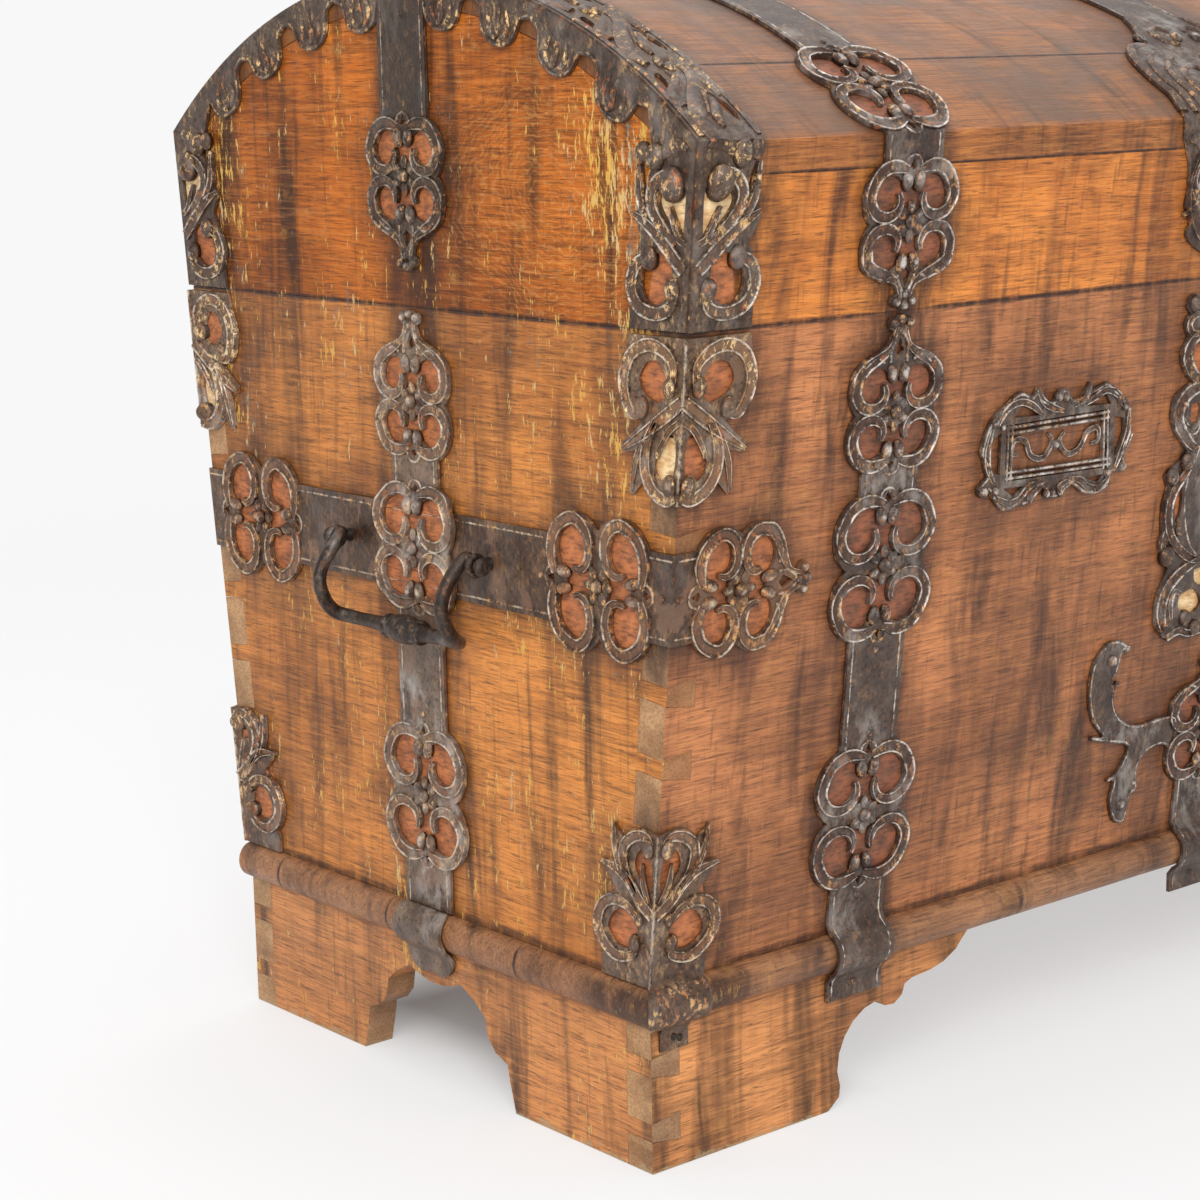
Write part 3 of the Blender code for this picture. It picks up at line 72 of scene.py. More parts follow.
Tree = bpy.types.NodeTree
Value = Socket | float | tuple[float, ...]
# Inputs and output of the Mix node when it mixes colours
COLOUR_INPUTS, COLOUR_OUTPUT = (0, 6, 7), 2
# How bright plain sheet iron is rubbed, where 1 is bare metal
PLAIN_RUB = 0.2


class Side(Enum):
    """An end of the chest, as the sign of its X."""

    LEFT = -1
    RIGHT = 1

    @property
    def word(self) -> str:
        """The side's name in node names."""
        return self.name.lower()


class Run(Enum):
    """Axis that a board's grain runs along."""

    ALONG = "X"
    ACROSS = "Y"


# Small helpers


def tint(code: str) -> tuple[float, float, float, float]:
    """Turn an sRGB hex colour to linear.

    Args:
        code: six hex digits.

    Returns:
        Red, green, blue and alpha.
    """
    values = [int(code[i:i + 2], 16) / 255 for i in (0, 2, 4)]
    linear = [v / 12.92 if v <= 0.04045 else ((v + 0.055) / 1.055) ** 2.4 for v in values]
    return (linear[0], linear[1], linear[2], 1.0)


def add(tree: Tree, kind: str, *values: Value, read: int | str = 0, **settings: Any) -> Socket:
    """Add a shader node with its settings and links.

    Args:
        tree: node tree to add to.
        kind: Blender's node type, without its prefix.
        values: value or socket to link for each input, in the inputs' order.
        read: number or name of the output that is read.
        settings: attributes of the node, its inputs by their capitalised names,
            and stops for a ramp as pairs of position and colour or grey value.

    Returns:
        The output socket.
    """
    made = tree.nodes.new(f"ShaderNode{kind}")
    places = range(len(values))
    if kind == "Mix":
        made.data_type, places, read = "RGBA", COLOUR_INPUTS, COLOUR_OUTPUT
    inputs = dict(zip(places, values))
    for key, value in settings.items():
        if key == "stops":
            bar = made.color_ramp.elements
            while len(bar) < len(value):
                bar.new(0.5)
            for element, (place, shade) in zip(bar, value):
                element.position = place
                element.color = shade if isinstance(shade, tuple) else (shade, shade, shade, 1.0)
        elif key[0].isupper():
            inputs[key] = value
        else:
            setattr(made, key, value)
    for key, value in inputs.items():
        if isinstance(value, Socket):
            tree.links.new(value, made.inputs[key])
        else:
            made.inputs[key].default_value = value
    return made.outputs[read]


def noise(tree: Tree, where: Socket, millimetres: Sequence[float], detail: float = 4.0,
          rough: float = 0.55, distortion: float = 0.0) -> Socket:
    """Pattern whose features have a real size along each axis.

    Args:
        tree: node tree.
        where: coordinates in metres.
        millimetres: feature size along X, Y and Z.
        detail: octaves.
        rough: strength of the finer octaves.
        distortion: warp.

    Returns:
        The pattern's socket, from 0 to 1.
    """
    placed = add(tree, "Mapping", Vector=where, Scale=tuple(1000.0 / size for size in millimetres))
    return add(
        tree, "TexNoise", read="Fac", Vector=placed, Scale=1.0, Detail=detail, Roughness=rough,
        Distortion=distortion,
    )


def layers(tree: Tree, tone: Value, rows: Iterable[tuple[Any, ...]]) -> Value:
    """Lay colours over a tone, each as strongly as a pattern says.

    Args:
        tree: node tree.
        tone: colour underneath.
        rows: pattern, a value of it and the strength there, a higher value and
            the strength there, and the colour.

    Returns:
        The colour on top.
    """
    for pattern, low, at_low, high, at_high, code in rows:
        strength = add(tree, "ValToRGB", pattern, stops=((low, at_low), (high, at_high)))
        tone = add(tree, "Mix", strength, tone, tint(code))
    return tone


def product(tree: Tree, *values: Value) -> Socket:
    """Multiply two or more patterns or numbers.

    Args:
        tree: node tree.
        values: the patterns and numbers, in order.

    Returns:
        The product's socket.
    """
    total, *others = values
    for value in others:
        total = add(tree, "Math", total, value, operation="MULTIPLY")
    return total


def new_material(name: str) -> tuple[Look, Tree, bpy.types.Node]:
    """Make a material.

    Args:
        name: its name.

    Returns:
        The material, its node tree and its Principled shader.
    """
    made = bpy.data.materials.new(name)
    made.use_nodes = True
    return made, made.node_tree, made.node_tree.nodes["Principled BSDF"]


# Finishes


@dataclass(frozen=True)
class Stain:
    """Dark band on wood along a level or upright line; along the gap under the lid it is painted
    shade.
    """

    axis: int
    centre: float
    reach: float
    depth: float = 1.0

    def distance(self, tree: Tree, where: Socket) -> Socket:
        """Distance from the line.

        Args:
            tree: node tree.
            where: place on the object.

        Returns:
            The distance's socket.
        """
        off = add(
            tree, "Math", add(tree, "SeparateXYZ", where, read=self.axis), self.centre,
            operation="SUBTRACT",
        )
        return add(tree, "Math", off, operation="ABSOLUTE")


@dataclass(frozen=True)
class Spot:
    """Dark halo on wood round a point."""

    centre: Triple
    reach: float
    depth: float = 1.0

    def distance(self, tree: Tree, where: Socket) -> Socket:
        """Distance from the point."""
        return add(tree, "VectorMath", where, self.centre, operation="DISTANCE", read="Value")


@dataclass(frozen=True)
class AgedOak:
    """Old oiled oak, planed by hand: warm brown with pores, bands and dark halos, with painted
    shade along the gap under the lid.
    """

    name: str
    run: Run
    light: str = "c07a44"
    middle: str = "99592f"
    dark: str = "5b3420"
    stains: tuple[Stain | Spot, ...] = ()
    paint: float = 0.0
    grey: float = 0.0
    grey_above: float = 0.0
    end_grain: int | None = None
    sheen: float = 0.3
    eye: Triple | None = None
    ends: tuple[str, str] = ("8a5a38", "a87850")
    scuffed_below: float = 0.0
    lying: bool = False

    def grain_sizes(self, along: float, across: float) -> Triple:
        """Feature sizes with the long one along the grain."""
        return (along, across, across) if self.run is Run.ALONG else (across, along, across)

    def material(self) -> Look:
        """Build the shader.

        Returns:
            The material.
        """
        made, tree, shader = new_material(self.name)
        where = add(tree, "TexCoord", read="Object")
        # Slow bands stand across the grain, as oil and smoke darkened them
        # and run right across the dome and the bottom
        bands = noise(tree, where, (30, 260 if self.lying else 30, 260), 3, 0.6, 0.4)
        drips = noise(tree, where, (7, 120 if self.lying else 7, 120), 4, 0.6, 0.3)
        clouds = noise(tree, where, (130, 130, 110), 3, 0.5)
        figure = noise(tree, where, self.grain_sizes(170, 10), 5, 0.65, 1.6)
        # Pores are drawn some 2 mm thick, because finer ones don't show in the picture
        streak = noise(tree, where, self.grain_sizes(48, 2.1), 5, 0.68, 0.9)
        pores = noise(tree, where, self.grain_sizes(17, 1.1), 3, 0.6, 0.4)
        blotch = noise(tree, where, (22, 22, 16), 4, 0.65)
        tone = layers(tree, tint(self.middle), (
            (clouds, 0.34, 0.0, 0.62, 1.0, self.light),
            (bands, 0.3, 1.0, 0.5, 0.0, self.dark),
            (bands, 0.55, 0.0, 0.7, 0.45, self.light),
            (drips, 0.3, 0.55, 0.43, 0.0, self.dark),
            (figure, 0.36, 0.38, 0.53, 0.0, self.dark),
            (figure, 0.56, 0.0, 0.7, 0.35, self.light),
        ))
        if self.eye:
            tone = self.cathedral(tree, where, tone)
        tone = layers(tree, tone, (
            (streak, 0.34, 0.5, 0.52, 0.0, self.dark),
            (streak, 0.52, 0.0, 0.68, 0.25, "dc9c58"),
            (pores, 0.34, 0.62, 0.47, 0.0, "3a2210"),
            (blotch, 0.58, 0.0, 0.78, 0.3, "dba05c"),
        ))
        if self.grey:
            tone = self.greyed(tree, where, tone)
        if self.end_grain is not None:
            tone = self.pale_ends(tree, where, tone)
        if self.scuffed_below:
            tone = self.chipped(tree, where, tone)
        if self.stains:
            tone = self.stained(tree, where, tone)
        if self.paint:
            tone = self.flaked_paint(tree, where, tone)
        tree.links.new(tone, shader.inputs["Base Color"])
        gloss = add(tree, "ValToRGB", blotch, stops=((0.3, 0.3), (0.7, 0.5)))
        tree.links.new(gloss, shader.inputs["Roughness"])
        shader.inputs["Specular IOR Level"].default_value = self.sheen
        height = product(tree, pores, 0.6)
        for pattern, share in ((streak, 0.7), (figure, 0.6)):
            height = add(tree, "Math", pattern, share, height, operation="MULTIPLY_ADD")
        bump = add(tree, "Bump", Height=height, Distance=0.0009, Strength=0.6)
        tree.links.new(bump, shader.inputs["Normal"])
        return made

    def greyed(self, tree: Tree, where: Socket, tone: Socket) -> Socket:
        """Weathering to grey, above a height only where one is given.

        Args:
            tree: node tree.
            where: object coordinates.
            tone: wood colour so far.

        Returns:
            The colour with the grey over it.
        """
        worn = add(
            tree, "ValToRGB", noise(tree, where, (90, 60, 60), 4), stops=((0.35, 0.3), (0.65, 1.0)),
        )
        height = add(tree, "SeparateXYZ", where, read=2)
        above = add(tree, "MapRange", height, self.grey_above - 0.002, self.grey_above + 0.002)
        upward = add(tree, "SeparateXYZ", add(tree, "TexCoord", read="Normal"), read=2)
        upward = add(
            tree, "ValToRGB", upward, stops=((0.2, 1.0 - bool(self.grey_above)), (0.5, 1.0)),
        )
        cover = product(tree, worn, product(tree, above, upward), self.grey)
        return add(tree, "Mix", cover, tone, tint("685244"))

    def chipped(self, tree: Tree, where: Socket, tone: Socket) -> Socket:
        """Bare chips along the floor and a little above it.

        Args:
            tree: node tree.
            where: object coordinates.
            tone: wood colour so far.

        Returns:
            The colour with the chips in it.
        """
        crumbs, height = noise(tree, where, (14, 14, 10), 5, 0.7), add(
            tree, "SeparateXYZ", where, read=2,
        )
        height = add(
            tree, "Math", crumbs, self.scuffed_below * 2.2, height, operation="MULTIPLY_ADD",
        )
        chips = add(
            tree, "MapRange", height, self.scuffed_below * 1.35, self.scuffed_below * 1.2, 0.0, 0.7,
        )
        return add(tree, "Mix", chips, tone, tint("a8906c"))

    def stained(self, tree: Tree, where: Socket, tone: Socket) -> Socket:
        """Dark halos round the irons and lines along the joints, and painted shade along the gap
        under the lid: the darkest at each point.

        Args:
            tree: node tree.
            where: object coordinates.
            tone: wood colour so far.

        Returns:
            The colour with the stains over it.
        """
        wander = add(
            tree, "Math", noise(tree, where, (34, 34, 60), 4, 0.6), 0.5, operation="SUBTRACT",
        )
        halo = None
        for darkening in self.stains:
            off = darkening.distance(tree, where)
            off = add(tree, "Math", wander, darkening.reach * 0.9, off, operation="MULTIPLY_ADD")
            shade = add(
                tree, "MapRange", off, darkening.reach * 1.3, darkening.reach * 0.4, 0.0, darkening.depth,
                interpolation_type="SMOOTHSTEP",
            )
            halo = shade if halo is None else add(tree, "Math", halo, shade, operation="MAXIMUM")
        uneven = add(
            tree, "ValToRGB", noise(tree, where, (12, 12, 46), 5, 0.7),
            stops=((0.3, 0.4), (0.55, 1.0)),
        )
        if not self.lying:
            # The rims under the lid stay cleaner than the faces
            level = add(tree, "SeparateXYZ", add(tree, "TexCoord", read="Normal"), read=2)
            level = add(tree, "Math", level, operation="ABSOLUTE")
            level = add(tree, "ValToRGB", level, stops=((0.6, 1.0), (0.9, 0.25)))
            uneven = product(tree, uneven, level)
        # One dark brown serves the halos and the painted shade along the gap
        return add(tree, "Mix", product(tree, halo, uneven), tone, tint("321d15"))

    def flaked_paint(self, tree: Tree, where: Socket, tone: Socket) -> Socket:
        """Last flakes of yellow and blue paint, in upright streaks.

        Args:
            tree: node tree.
            where: object coordinates.
            tone: wood colour under the paint.

        Returns:
            The colour with paint over it.
        """
        patch = noise(tree, where, (80, 80, 120), 3, 0.5)
        crumbs = noise(tree, where, (4.5, 4.5, 17), 6, 0.74)
        kept = add(tree, "Math", patch, 0.3, product(tree, crumbs, 0.9), operation="MULTIPLY_ADD")
        if self.end_grain == 1:
            # The ends kept more of it high up, towards their corners, and on the outside only
            wide, across, height = (add(tree, "SeparateXYZ", where, read=axis) for axis in range(3))
            across = add(tree, "Math", across, operation="ABSOLUTE")
            across = add(
                tree, "Math", noise(tree, where, (60, 60, 60), 3), 0.1, across,
                operation="MULTIPLY_ADD",
            )
            corner = add(tree, "MapRange", across, 0.2, 0.32, 0.0, 0.058)
            high = add(tree, "MapRange", height, 0.36, 0.62)
            kept = add(tree, "Math", corner, high, kept, operation="MULTIPLY_ADD")
            wide = add(tree, "Math", wide, operation="ABSOLUTE")
            outside = add(tree, "Math", wide, SIZES.half_length - 5 * MM, operation="GREATER_THAN")
            kept = product(tree, kept, outside)
        kept = add(tree, "ValToRGB", kept, stops=((0.7, 0.0), (0.74, 1.0)))
        hue = add(
            tree, "ValToRGB", noise(tree, where, (40, 40, 60), 3),
            stops=(
                (0.42, tint("5a6a68")), (0.46, tint("c8ac7c")), (0.54, tint("cfa860")),
                (0.6, tint("d2a44c")),
            ),
        )
        return add(tree, "Mix", product(tree, kept, self.paint), tone, hue)

    def cathedral(self, tree: Tree, where: Socket, tone: Socket) -> Socket:
        """Arched growth rings where the board was cut near the heart.

        Args:
            tree: node tree.
            where: object coordinates.
            tone: wood colour so far.

        Returns:
            The colour with the arches over it.
        """
        near = add(tree, "VectorMath", where, self.eye, operation="SUBTRACT")
        across, height = (add(tree, "SeparateXYZ", near, read=axis) for axis in (1, 2))
        flat = add(tree, "CombineXYZ", 0.0, across, product(tree, height, 1.5))
        far = add(tree, "VectorMath", flat, operation="LENGTH", read="Value")
        bent = add(
            tree, "Math", noise(tree, where, (70, 70, 50), 4, 0.62), 0.09, far,
            operation="MULTIPLY_ADD",
        )
        waves = add(tree, "Math", product(tree, bent, math.tau / (8.5 * MM)), operation="SINE")
        inside = add(tree, "MapRange", far, 0.17, 0.1, 0.0, 0.24, interpolation_type="SMOOTHSTEP")
        line = add(tree, "ValToRGB", waves, stops=((0.45, 0.0), (0.95, 1.0)))
        return add(tree, "Mix", product(tree, line, inside), tone, tint("dca25e"))

    def pale_ends(self, tree: Tree, where: Socket, tone: Socket) -> Socket:
        """Sawn end grain where the face looks along the grain.

        Args:
            tree: node tree.
            where: object coordinates.
            tone: colour of the long faces.

        Returns:
            The colour with end grain on the ends.
        """
        turned = add(tree, "SeparateXYZ", add(tree, "TexCoord", read="Normal"), read=self.end_grain)
        turned = add(tree, "Math", turned, operation="ABSOLUTE")
        mask = add(tree, "ValToRGB", turned, stops=((0.7, 0.0), (0.8, 1.0)))
        low, high = self.ends
        pale = layers(tree, tint(low), (
            (noise(tree, where, (40, 40, 24), 3, 0.6), 0.35, 0.0, 0.65, 1.0, high),
            (noise(tree, where, (2.2, 2.2, 1.6), 3, 0.6), 0.38, 0.5, 0.55, 0.0, "5e432f"),
        ))
        return add(tree, "Mix", product(tree, mask, 0.85), tone, pale)


@dataclass(frozen=True)
class WroughtIron:
    """Hammered sheet iron, blackened and waxed, rubbed bright on what stands proud."""

    name: str
    body: str = "5a463b"
    recess: str = "34261e"
    channel: str = "482e21"
    rubbed: str = "ded3c8"
    crust: str = "c99a64"
    crusted: float = 0.75
    scuffed: float = 0.6
    facing: Triple = (1.0, 1.0, 1.0)
    metal: float = 0.35
    patched: float = 0.0
    embossed: bool = True

    def material(self) -> Look:
        """Build the shader.

        Returns:
            The material.
        """
        made, tree, shader = new_material(self.name)
        where = add(tree, "TexCoord", read="Object")
        # The rub value says how far a point stands proud: it sets the rubbed wear and, near nought,
        # the painted shade at the foot of each ridge
        if self.embossed:
            rub = add(tree, "Attribute", attribute_name="rub", read="Fac")
        else:
            # Plain pieces carry no rub values and count as lightly rubbed all over
            rub = add(tree, "Math", PLAIN_RUB, 0.0, operation="ADD")
        cloud = noise(tree, where, (26, 26, 26), 4, 0.65)
        pits = noise(tree, where, (3.5, 3.5, 3.5), 4, 0.7)
        # The hollow of every scroll kept its brown lacquer
        tone = layers(tree, tint(self.recess), (
            (cloud, 0.35, 0.0, 0.62, 1.0, self.body),
            (pits, 0.36, 0.8, 0.5, 0.0, "241a15"),
            (rub, 0.12, 0.8, 0.18, 0.0, self.channel),
        ))
        # Grey dust and scuffs lie on the plain stretches
        scuff = noise(tree, where, (15, 15, 24), 6, 0.72)
        scuff = add(tree, "ValToRGB", scuff, stops=((0.45, 0.0), (0.62, self.scuffed)))
        patch = noise(tree, where, (60, 60, 90), 2, 0.5)
        patch = add(tree, "ValToRGB", patch, stops=((0.46, 0.12), (0.6, 1.0)))
        tone = add(tree, "Mix", product(tree, scuff, patch), tone, tint("aaa199"))
        if self.patched:
            # Whole patches of the sheet lost their black and show pale priming
            lost = noise(tree, where, (36, 36, 50), 7, 0.68)
            tone = layers(tree, tone, [(lost, 0.53, 0.0, 0.57, self.patched, "896750")])
        tone = self.crusts(tree, where, tone, rub, cloud)
        # Bare metal shines on the ridges, broken where the wax still holds
        broken = noise(tree, where, (11, 11, 11), 5, 0.72)
        broken = add(tree, "ValToRGB", broken, stops=((0.38, 0.3), (0.6, 1.0)))
        worn = add(tree, "ValToRGB", pits, stops=((0.3, 0.5), (0.55, 1.0)))
        worn = add(
            tree, "ValToRGB", product(tree, rub, worn, broken), stops=((0.36, 0.0), (0.88, 1.0)),
        )
        tone = add(tree, "Mix", worn, tone, tint(self.rubbed))
        # Painted shade: near black in the corner at the foot of every ridge, where the rub value is
        # near nought
        tone = layers(tree, tone, [(rub, 0.0, 0.9, 0.07, 0.0, "1c120d")])
        tree.links.new(tone, shader.inputs["Base Color"])
        shader.inputs["Metallic"].default_value = self.metal
        rough = add(tree, "ValToRGB", cloud, stops=((0.3, 0.28), (0.7, 0.5)))
        rough = add(tree, "Mix", worn, rough, (0.25, 0.25, 0.25, 1.0))
        tree.links.new(rough, shader.inputs["Roughness"])
        bump = add(tree, "Bump", Height=pits, Distance=0.0013, Strength=0.7)
        tree.links.new(bump, shader.inputs["Normal"])
        return made

    def crusts(self, tree: Tree, where: Socket, tone: Socket, rub: Socket, cloud: Socket) -> Socket:
        """Ochre priming and rust where wax never reached, most of all beside the ridges.

        Args:
            tree: node tree.
            where: object coordinates.
            tone: iron's colour so far.
            rub: how far each point stands proud.
            cloud: slow pattern that turns ochre to rust.

        Returns:
            The colour with the crust over it.
        """
        crumbs = noise(tree, where, (5, 5, 8), 6, 0.78)
        lime = add(tree, "ValToRGB", crumbs, stops=((0.54, 0.0), (0.59, 1.0)))
        near = add(
            tree, "ValToRGB", rub,
            stops=((0.0, 0.3), (0.08, 0.8), (0.17, 0.65), (0.2, 0.2), (0.3, 0.9)),
        )
        turned = add(tree, "VectorMath", add(tree, "TexCoord", read="Normal"), operation="ABSOLUTE")
        side = add(tree, "VectorMath", turned, self.facing, operation="DOT_PRODUCT", read="Value")
        cover = product(tree, lime, near, product(tree, side, self.crusted))
        cover = add(tree, "Math", cover, 1.0, operation="MINIMUM")
        hue = layers(tree, tint("9c5c34"), [(cloud, 0.42, 0.0, 0.56, 1.0, self.crust)])
        return add(tree, "Mix", cover, tone, hue)


@dataclass(frozen=True)
class Ground:
    """Wood seen through the openings of the iron: bare, or with its old red lead paint."""

    name: str
    low: str
    high: str
    dark: str = "3c241a"

    def material(self) -> Look:
        """Build the shader.

        Returns:
            The material.
        """
        made, tree, shader = new_material(self.name)
        where = add(tree, "TexCoord", read="Object")
        tone = layers(tree, tint(self.low), (
            (noise(tree, where, (14, 14, 11), 4, 0.6), 0.35, 0.0, 0.62, 1.0, self.high),
            (noise(tree, where, (9, 9, 2.2), 4, 0.65), 0.36, 0.6, 0.52, 0.0, self.dark),
        ))
        tree.links.new(tone, shader.inputs["Base Color"])
        shader.inputs["Roughness"].default_value = 0.6
        return made


@dataclass(frozen=True)
class Grounds:
    """The grounds behind the ironwork, from the darkest to the barest."""

    dark: Look
    red: Look
    bare: Look

    @classmethod
    def make(cls) -> "Grounds":
        """Make the three finishes.

        Returns:
            The three grounds.
        """
        return cls(
            Ground("smoked_red_lead", "6a4430", "96583a", "301e15").material(),
            Ground("red_lead_on_oak", "8c5230", "c27442").material(),
            Ground("bare_pale_oak", "d0a068", "f2d4a2", "9a6438").material(),
        )


# Sizes and surfaces


@dataclass(frozen=True)
class ChestSizes:
    """Sizes shared with the frame, in metres."""

    half_length: float = 0.610
    seam_half: float = 0.310
    base_half: float = 0.260
    seam: float = 0.614
    plinth: float = 0.112
    moulding: float = 0.030
    projection: float = 0.013
    lid_side: float = 0.126
    lid_rise: float = 0.117
    waist: float = 0.1845
    strap_half: float = 0.029
    strap_x: float = 0.4066667
    gap: float = 0.0003
    dome_joint: float = 0.1035
    board: float = 0.027

    @property
    def moulding_top(self) -> float:
        """Height of the top of the moulding."""
        return self.plinth + self.moulding

    @property
    def slope(self) -> float:
        """Outward run of the case per metre of height."""
        return (self.seam_half - self.base_half) / (self.seam - self.moulding_top)

    @property
    def lean(self) -> float:
        """Lean of the case's front in radians."""
        return math.atan(self.slope)

    @property
    def arris_half(self) -> float:
        """Half depth at the lid's arris."""
        return self.seam_half + self.lid_side * self.slope

    @property
    def dome_radius(self) -> float:
        """Radius of the dome's outside."""
        return (self.arris_half ** 2 + self.lid_rise ** 2) / (2 * self.lid_rise)

    @property
    def dome_centre(self) -> float:
        """Height of the dome's centre."""
        return self.seam + self.lid_side + self.lid_rise - self.dome_radius

    @property
    def dome_angle(self) -> float:
        """Half angle of the dome in radians."""
        return math.asin(self.arris_half / self.dome_radius)


SIZES = ChestSizes()


def joined(first: Vector, second: Vector) -> Vector:
    """Offset that lies one unit off both of two planes."""
    return (first + second) / (1 + first.dot(second))


@dataclass
class Track:
    """Surface that a flat pattern is bent over.

    Stations are (distance along, point, direction across, way out).
    """

    stations: list[tuple[float, Vector, Vector, Vector]]

    def place(self, across: float, along: float, out: float) -> Vector:
        """Point for a distance across, along and out of the surface.

        Args:
            across: distance across the pattern.
            along: distance along it.
            out: height off the surface.

        Returns:
            The point.
        """
        index = 0
        while index < len(self.stations) - 2 and along > self.stations[index + 1][0]:
            index += 1
        first, second = self.stations[index], self.stations[index + 1]
        share = (along - first[0]) / (second[0] - first[0])
        base = first[1].lerp(second[1], share)
        side = first[2].lerp(second[2], share)
        return base + across * side + out * first[3].lerp(second[3], share)

    def folds(self) -> list[float]:
        """Distances where the surface turns."""
        return [station[0] for station in self.stations[1:-1]]

    @classmethod
    def flat(cls, origin: Vector, right: Vector, up: Vector, out: Vector) -> "Track":
        """Track of one flat face."""
        return cls([(0.0, origin, right, out), (1.0, origin + up, right, out)])

    @classmethod
    def path(cls, points: Sequence[Vector], across: Vector, zero: int = 0) -> "Track":
        """Track along a path of points, level across.

        Args:
            points: the path.
            across: direction across the pattern.
            zero: index of the point where the distance along is nought.

        Returns:
            The track.
        """
        lengths, outs = [0.0], []
        for start, end in zip(points, points[1:]):
            outs.append(across.cross((end - start).normalized()))
            lengths.append(lengths[-1] + (end - start).length)
        stations = []
        for index, point in enumerate(points):
            before, after = outs[max(index - 1, 0)], outs[min(index, len(outs) - 1)]
            stations.append((lengths[index] - lengths[zero], point, across, joined(before, after)))
        return cls(stations)


def front_face() -> Track:
    """Track of the leaning front, up from the seam.

    Returns:
        The track.
    """
    lean = SIZES.lean
    return Track.flat(
        Vector((0, -SIZES.seam_half, SIZES.seam)), Vector((1, 0, 0)),
        Vector((0, -math.sin(lean), math.cos(lean))), Vector((0, -math.cos(lean), -math.sin(lean))),
    )


def end_face(side: Side) -> Track:
    """Track of an end, across towards the front, up from the seam."""
    origin = Vector((side.value * SIZES.half_length, 0, SIZES.seam))
    return Track.flat(origin, Vector((0, -1, 0)), Vector((0, 0, 1)), Vector((side.value, 0, 0)))


def moulding_round(start: float, end: float, steps: int, out: float, up: float) -> list[Point]:
    """Round of the moulding as projection and height.

    Args:
        start: angle of the first point in degrees, level being nought.
        end: angle of the last one.
        steps: stretches between them.
        out: added to the projection.
        up: added to the half height.

    Returns:
        The points.
    """
    middle = SIZES.plinth + SIZES.moulding / 2
    points = []
    for step in range(steps + 1):
        angle = math.radians(start + (end - start) * step / steps)
        height = middle + (SIZES.moulding / 2 + up) * math.sin(angle)
        points.append(((SIZES.projection + out) * math.cos(angle), height))
    return points


def over_moulding() -> list[Point]:
    """Section of a strap from the plinth over the moulding, as projection and height."""
    foot = [(0.0, SIZES.plinth - 23 * MM), (0.0, SIZES.plinth - 7 * MM)]
    return foot + moulding_round(-68, 68, 12, 1.2 * MM, 1.2 * MM)


def front_path() -> list[Vector]:
    """Path of a strap from the plinth over the moulding up to the seam.

    Returns:
        Points from bottom to top.
    """
    face = -SIZES.base_half
    points = [Vector((0, face - reach, height)) for reach, height in over_moulding()]
    leave = SIZES.moulding_top + 9 * MM
    points.append(Vector((0, face - (leave - SIZES.moulding_top) * SIZES.slope, leave)))
    points.append(Vector((0, -SIZES.seam_half, SIZES.seam)))
    return points


def lid_path(facets: int = 64) -> list[Vector]:
    """Path over the lid from the front seam to the back one.

    Args:
        facets: stretches of the dome.

    Returns:
        Points from front to back.
    """
    points = [Vector((0, -SIZES.seam_half, SIZES.seam))]
    for step in range(facets + 1):
        angle = SIZES.dome_angle * (2 * step / facets - 1)
        y = SIZES.dome_radius * math.sin(angle)
        points.append(Vector((0, y, SIZES.dome_centre + SIZES.dome_radius * math.cos(angle))))
    points.append(Vector((0, SIZES.seam_half, SIZES.seam)))
    return points


def corner_fold(side: Side, front: bool) -> Track:
    """Track folded over a corner of the case: across is up its edge.

    Args:
        side: end of the chest.
        front: whether it is a front corner.

    Returns:
        The track, with the fold at nought.
    """
    sign = -1 if front else 1
    lean = SIZES.lean
    up = Vector((0, sign * math.sin(lean), math.cos(lean)))
    out = Vector((0, sign * math.cos(lean), -math.sin(lean)))
    corner = Vector((side.value * SIZES.half_length, sign * SIZES.seam_half, SIZES.seam))
    end_out = Vector((side.value, 0, 0))
    inward = Vector((0, -sign, 0))
    reach = 80 * MM
    return Track([
        (-reach, corner + reach * inward, up, end_out),
        (0.0, corner, up, end_out + out),
        (reach, corner - reach * end_out, up, out),
    ])


# Flat patterns of the ironwork


def arc(centre: Point, radius: float, start: float, end: float, segments: int) -> list[Point]:
    """Points on a circle between two angles in degrees, both included.

    Args:
        centre: middle of the circle.
        radius: its radius.
        start: angle of the first point.
        end: angle of the last one.
        segments: stretches between them.

    Returns:
        The points.
    """
    turns = [math.radians(start + (end - start) * step / segments) for step in range(segments + 1)]
    return [
        (centre[0] + radius * math.cos(turn), centre[1] + radius * math.sin(turn)) for turn in turns
    ]


def mm(*points: Point, sign: int = 1) -> list[Point]:
    """Points written in millimetres, mirrored where the sign is -1."""
    return [(sign * across * MM, along * MM) for across, along in points]


def moved(points: Iterable[Point], across: float = 0.0, along: float = 0.0) -> list[Point]:
    """Points moved in the pattern's plane."""
    return [(point[0] + across, point[1] + along) for point in points]


def upright(across: float, low: float, high: float, count: int) -> list[Point]:
    """Evenly spaced points of an upright line."""
    return [(across, low + (high - low) * step / count) for step in range(count + 1)]


def both_sides(right: Sequence[Point]) -> list[Point]:
    """Close an outline from its right side, bottom to top."""
    return list(right) + [(-across, along) for across, along in reversed(right) if across > 1e-9]


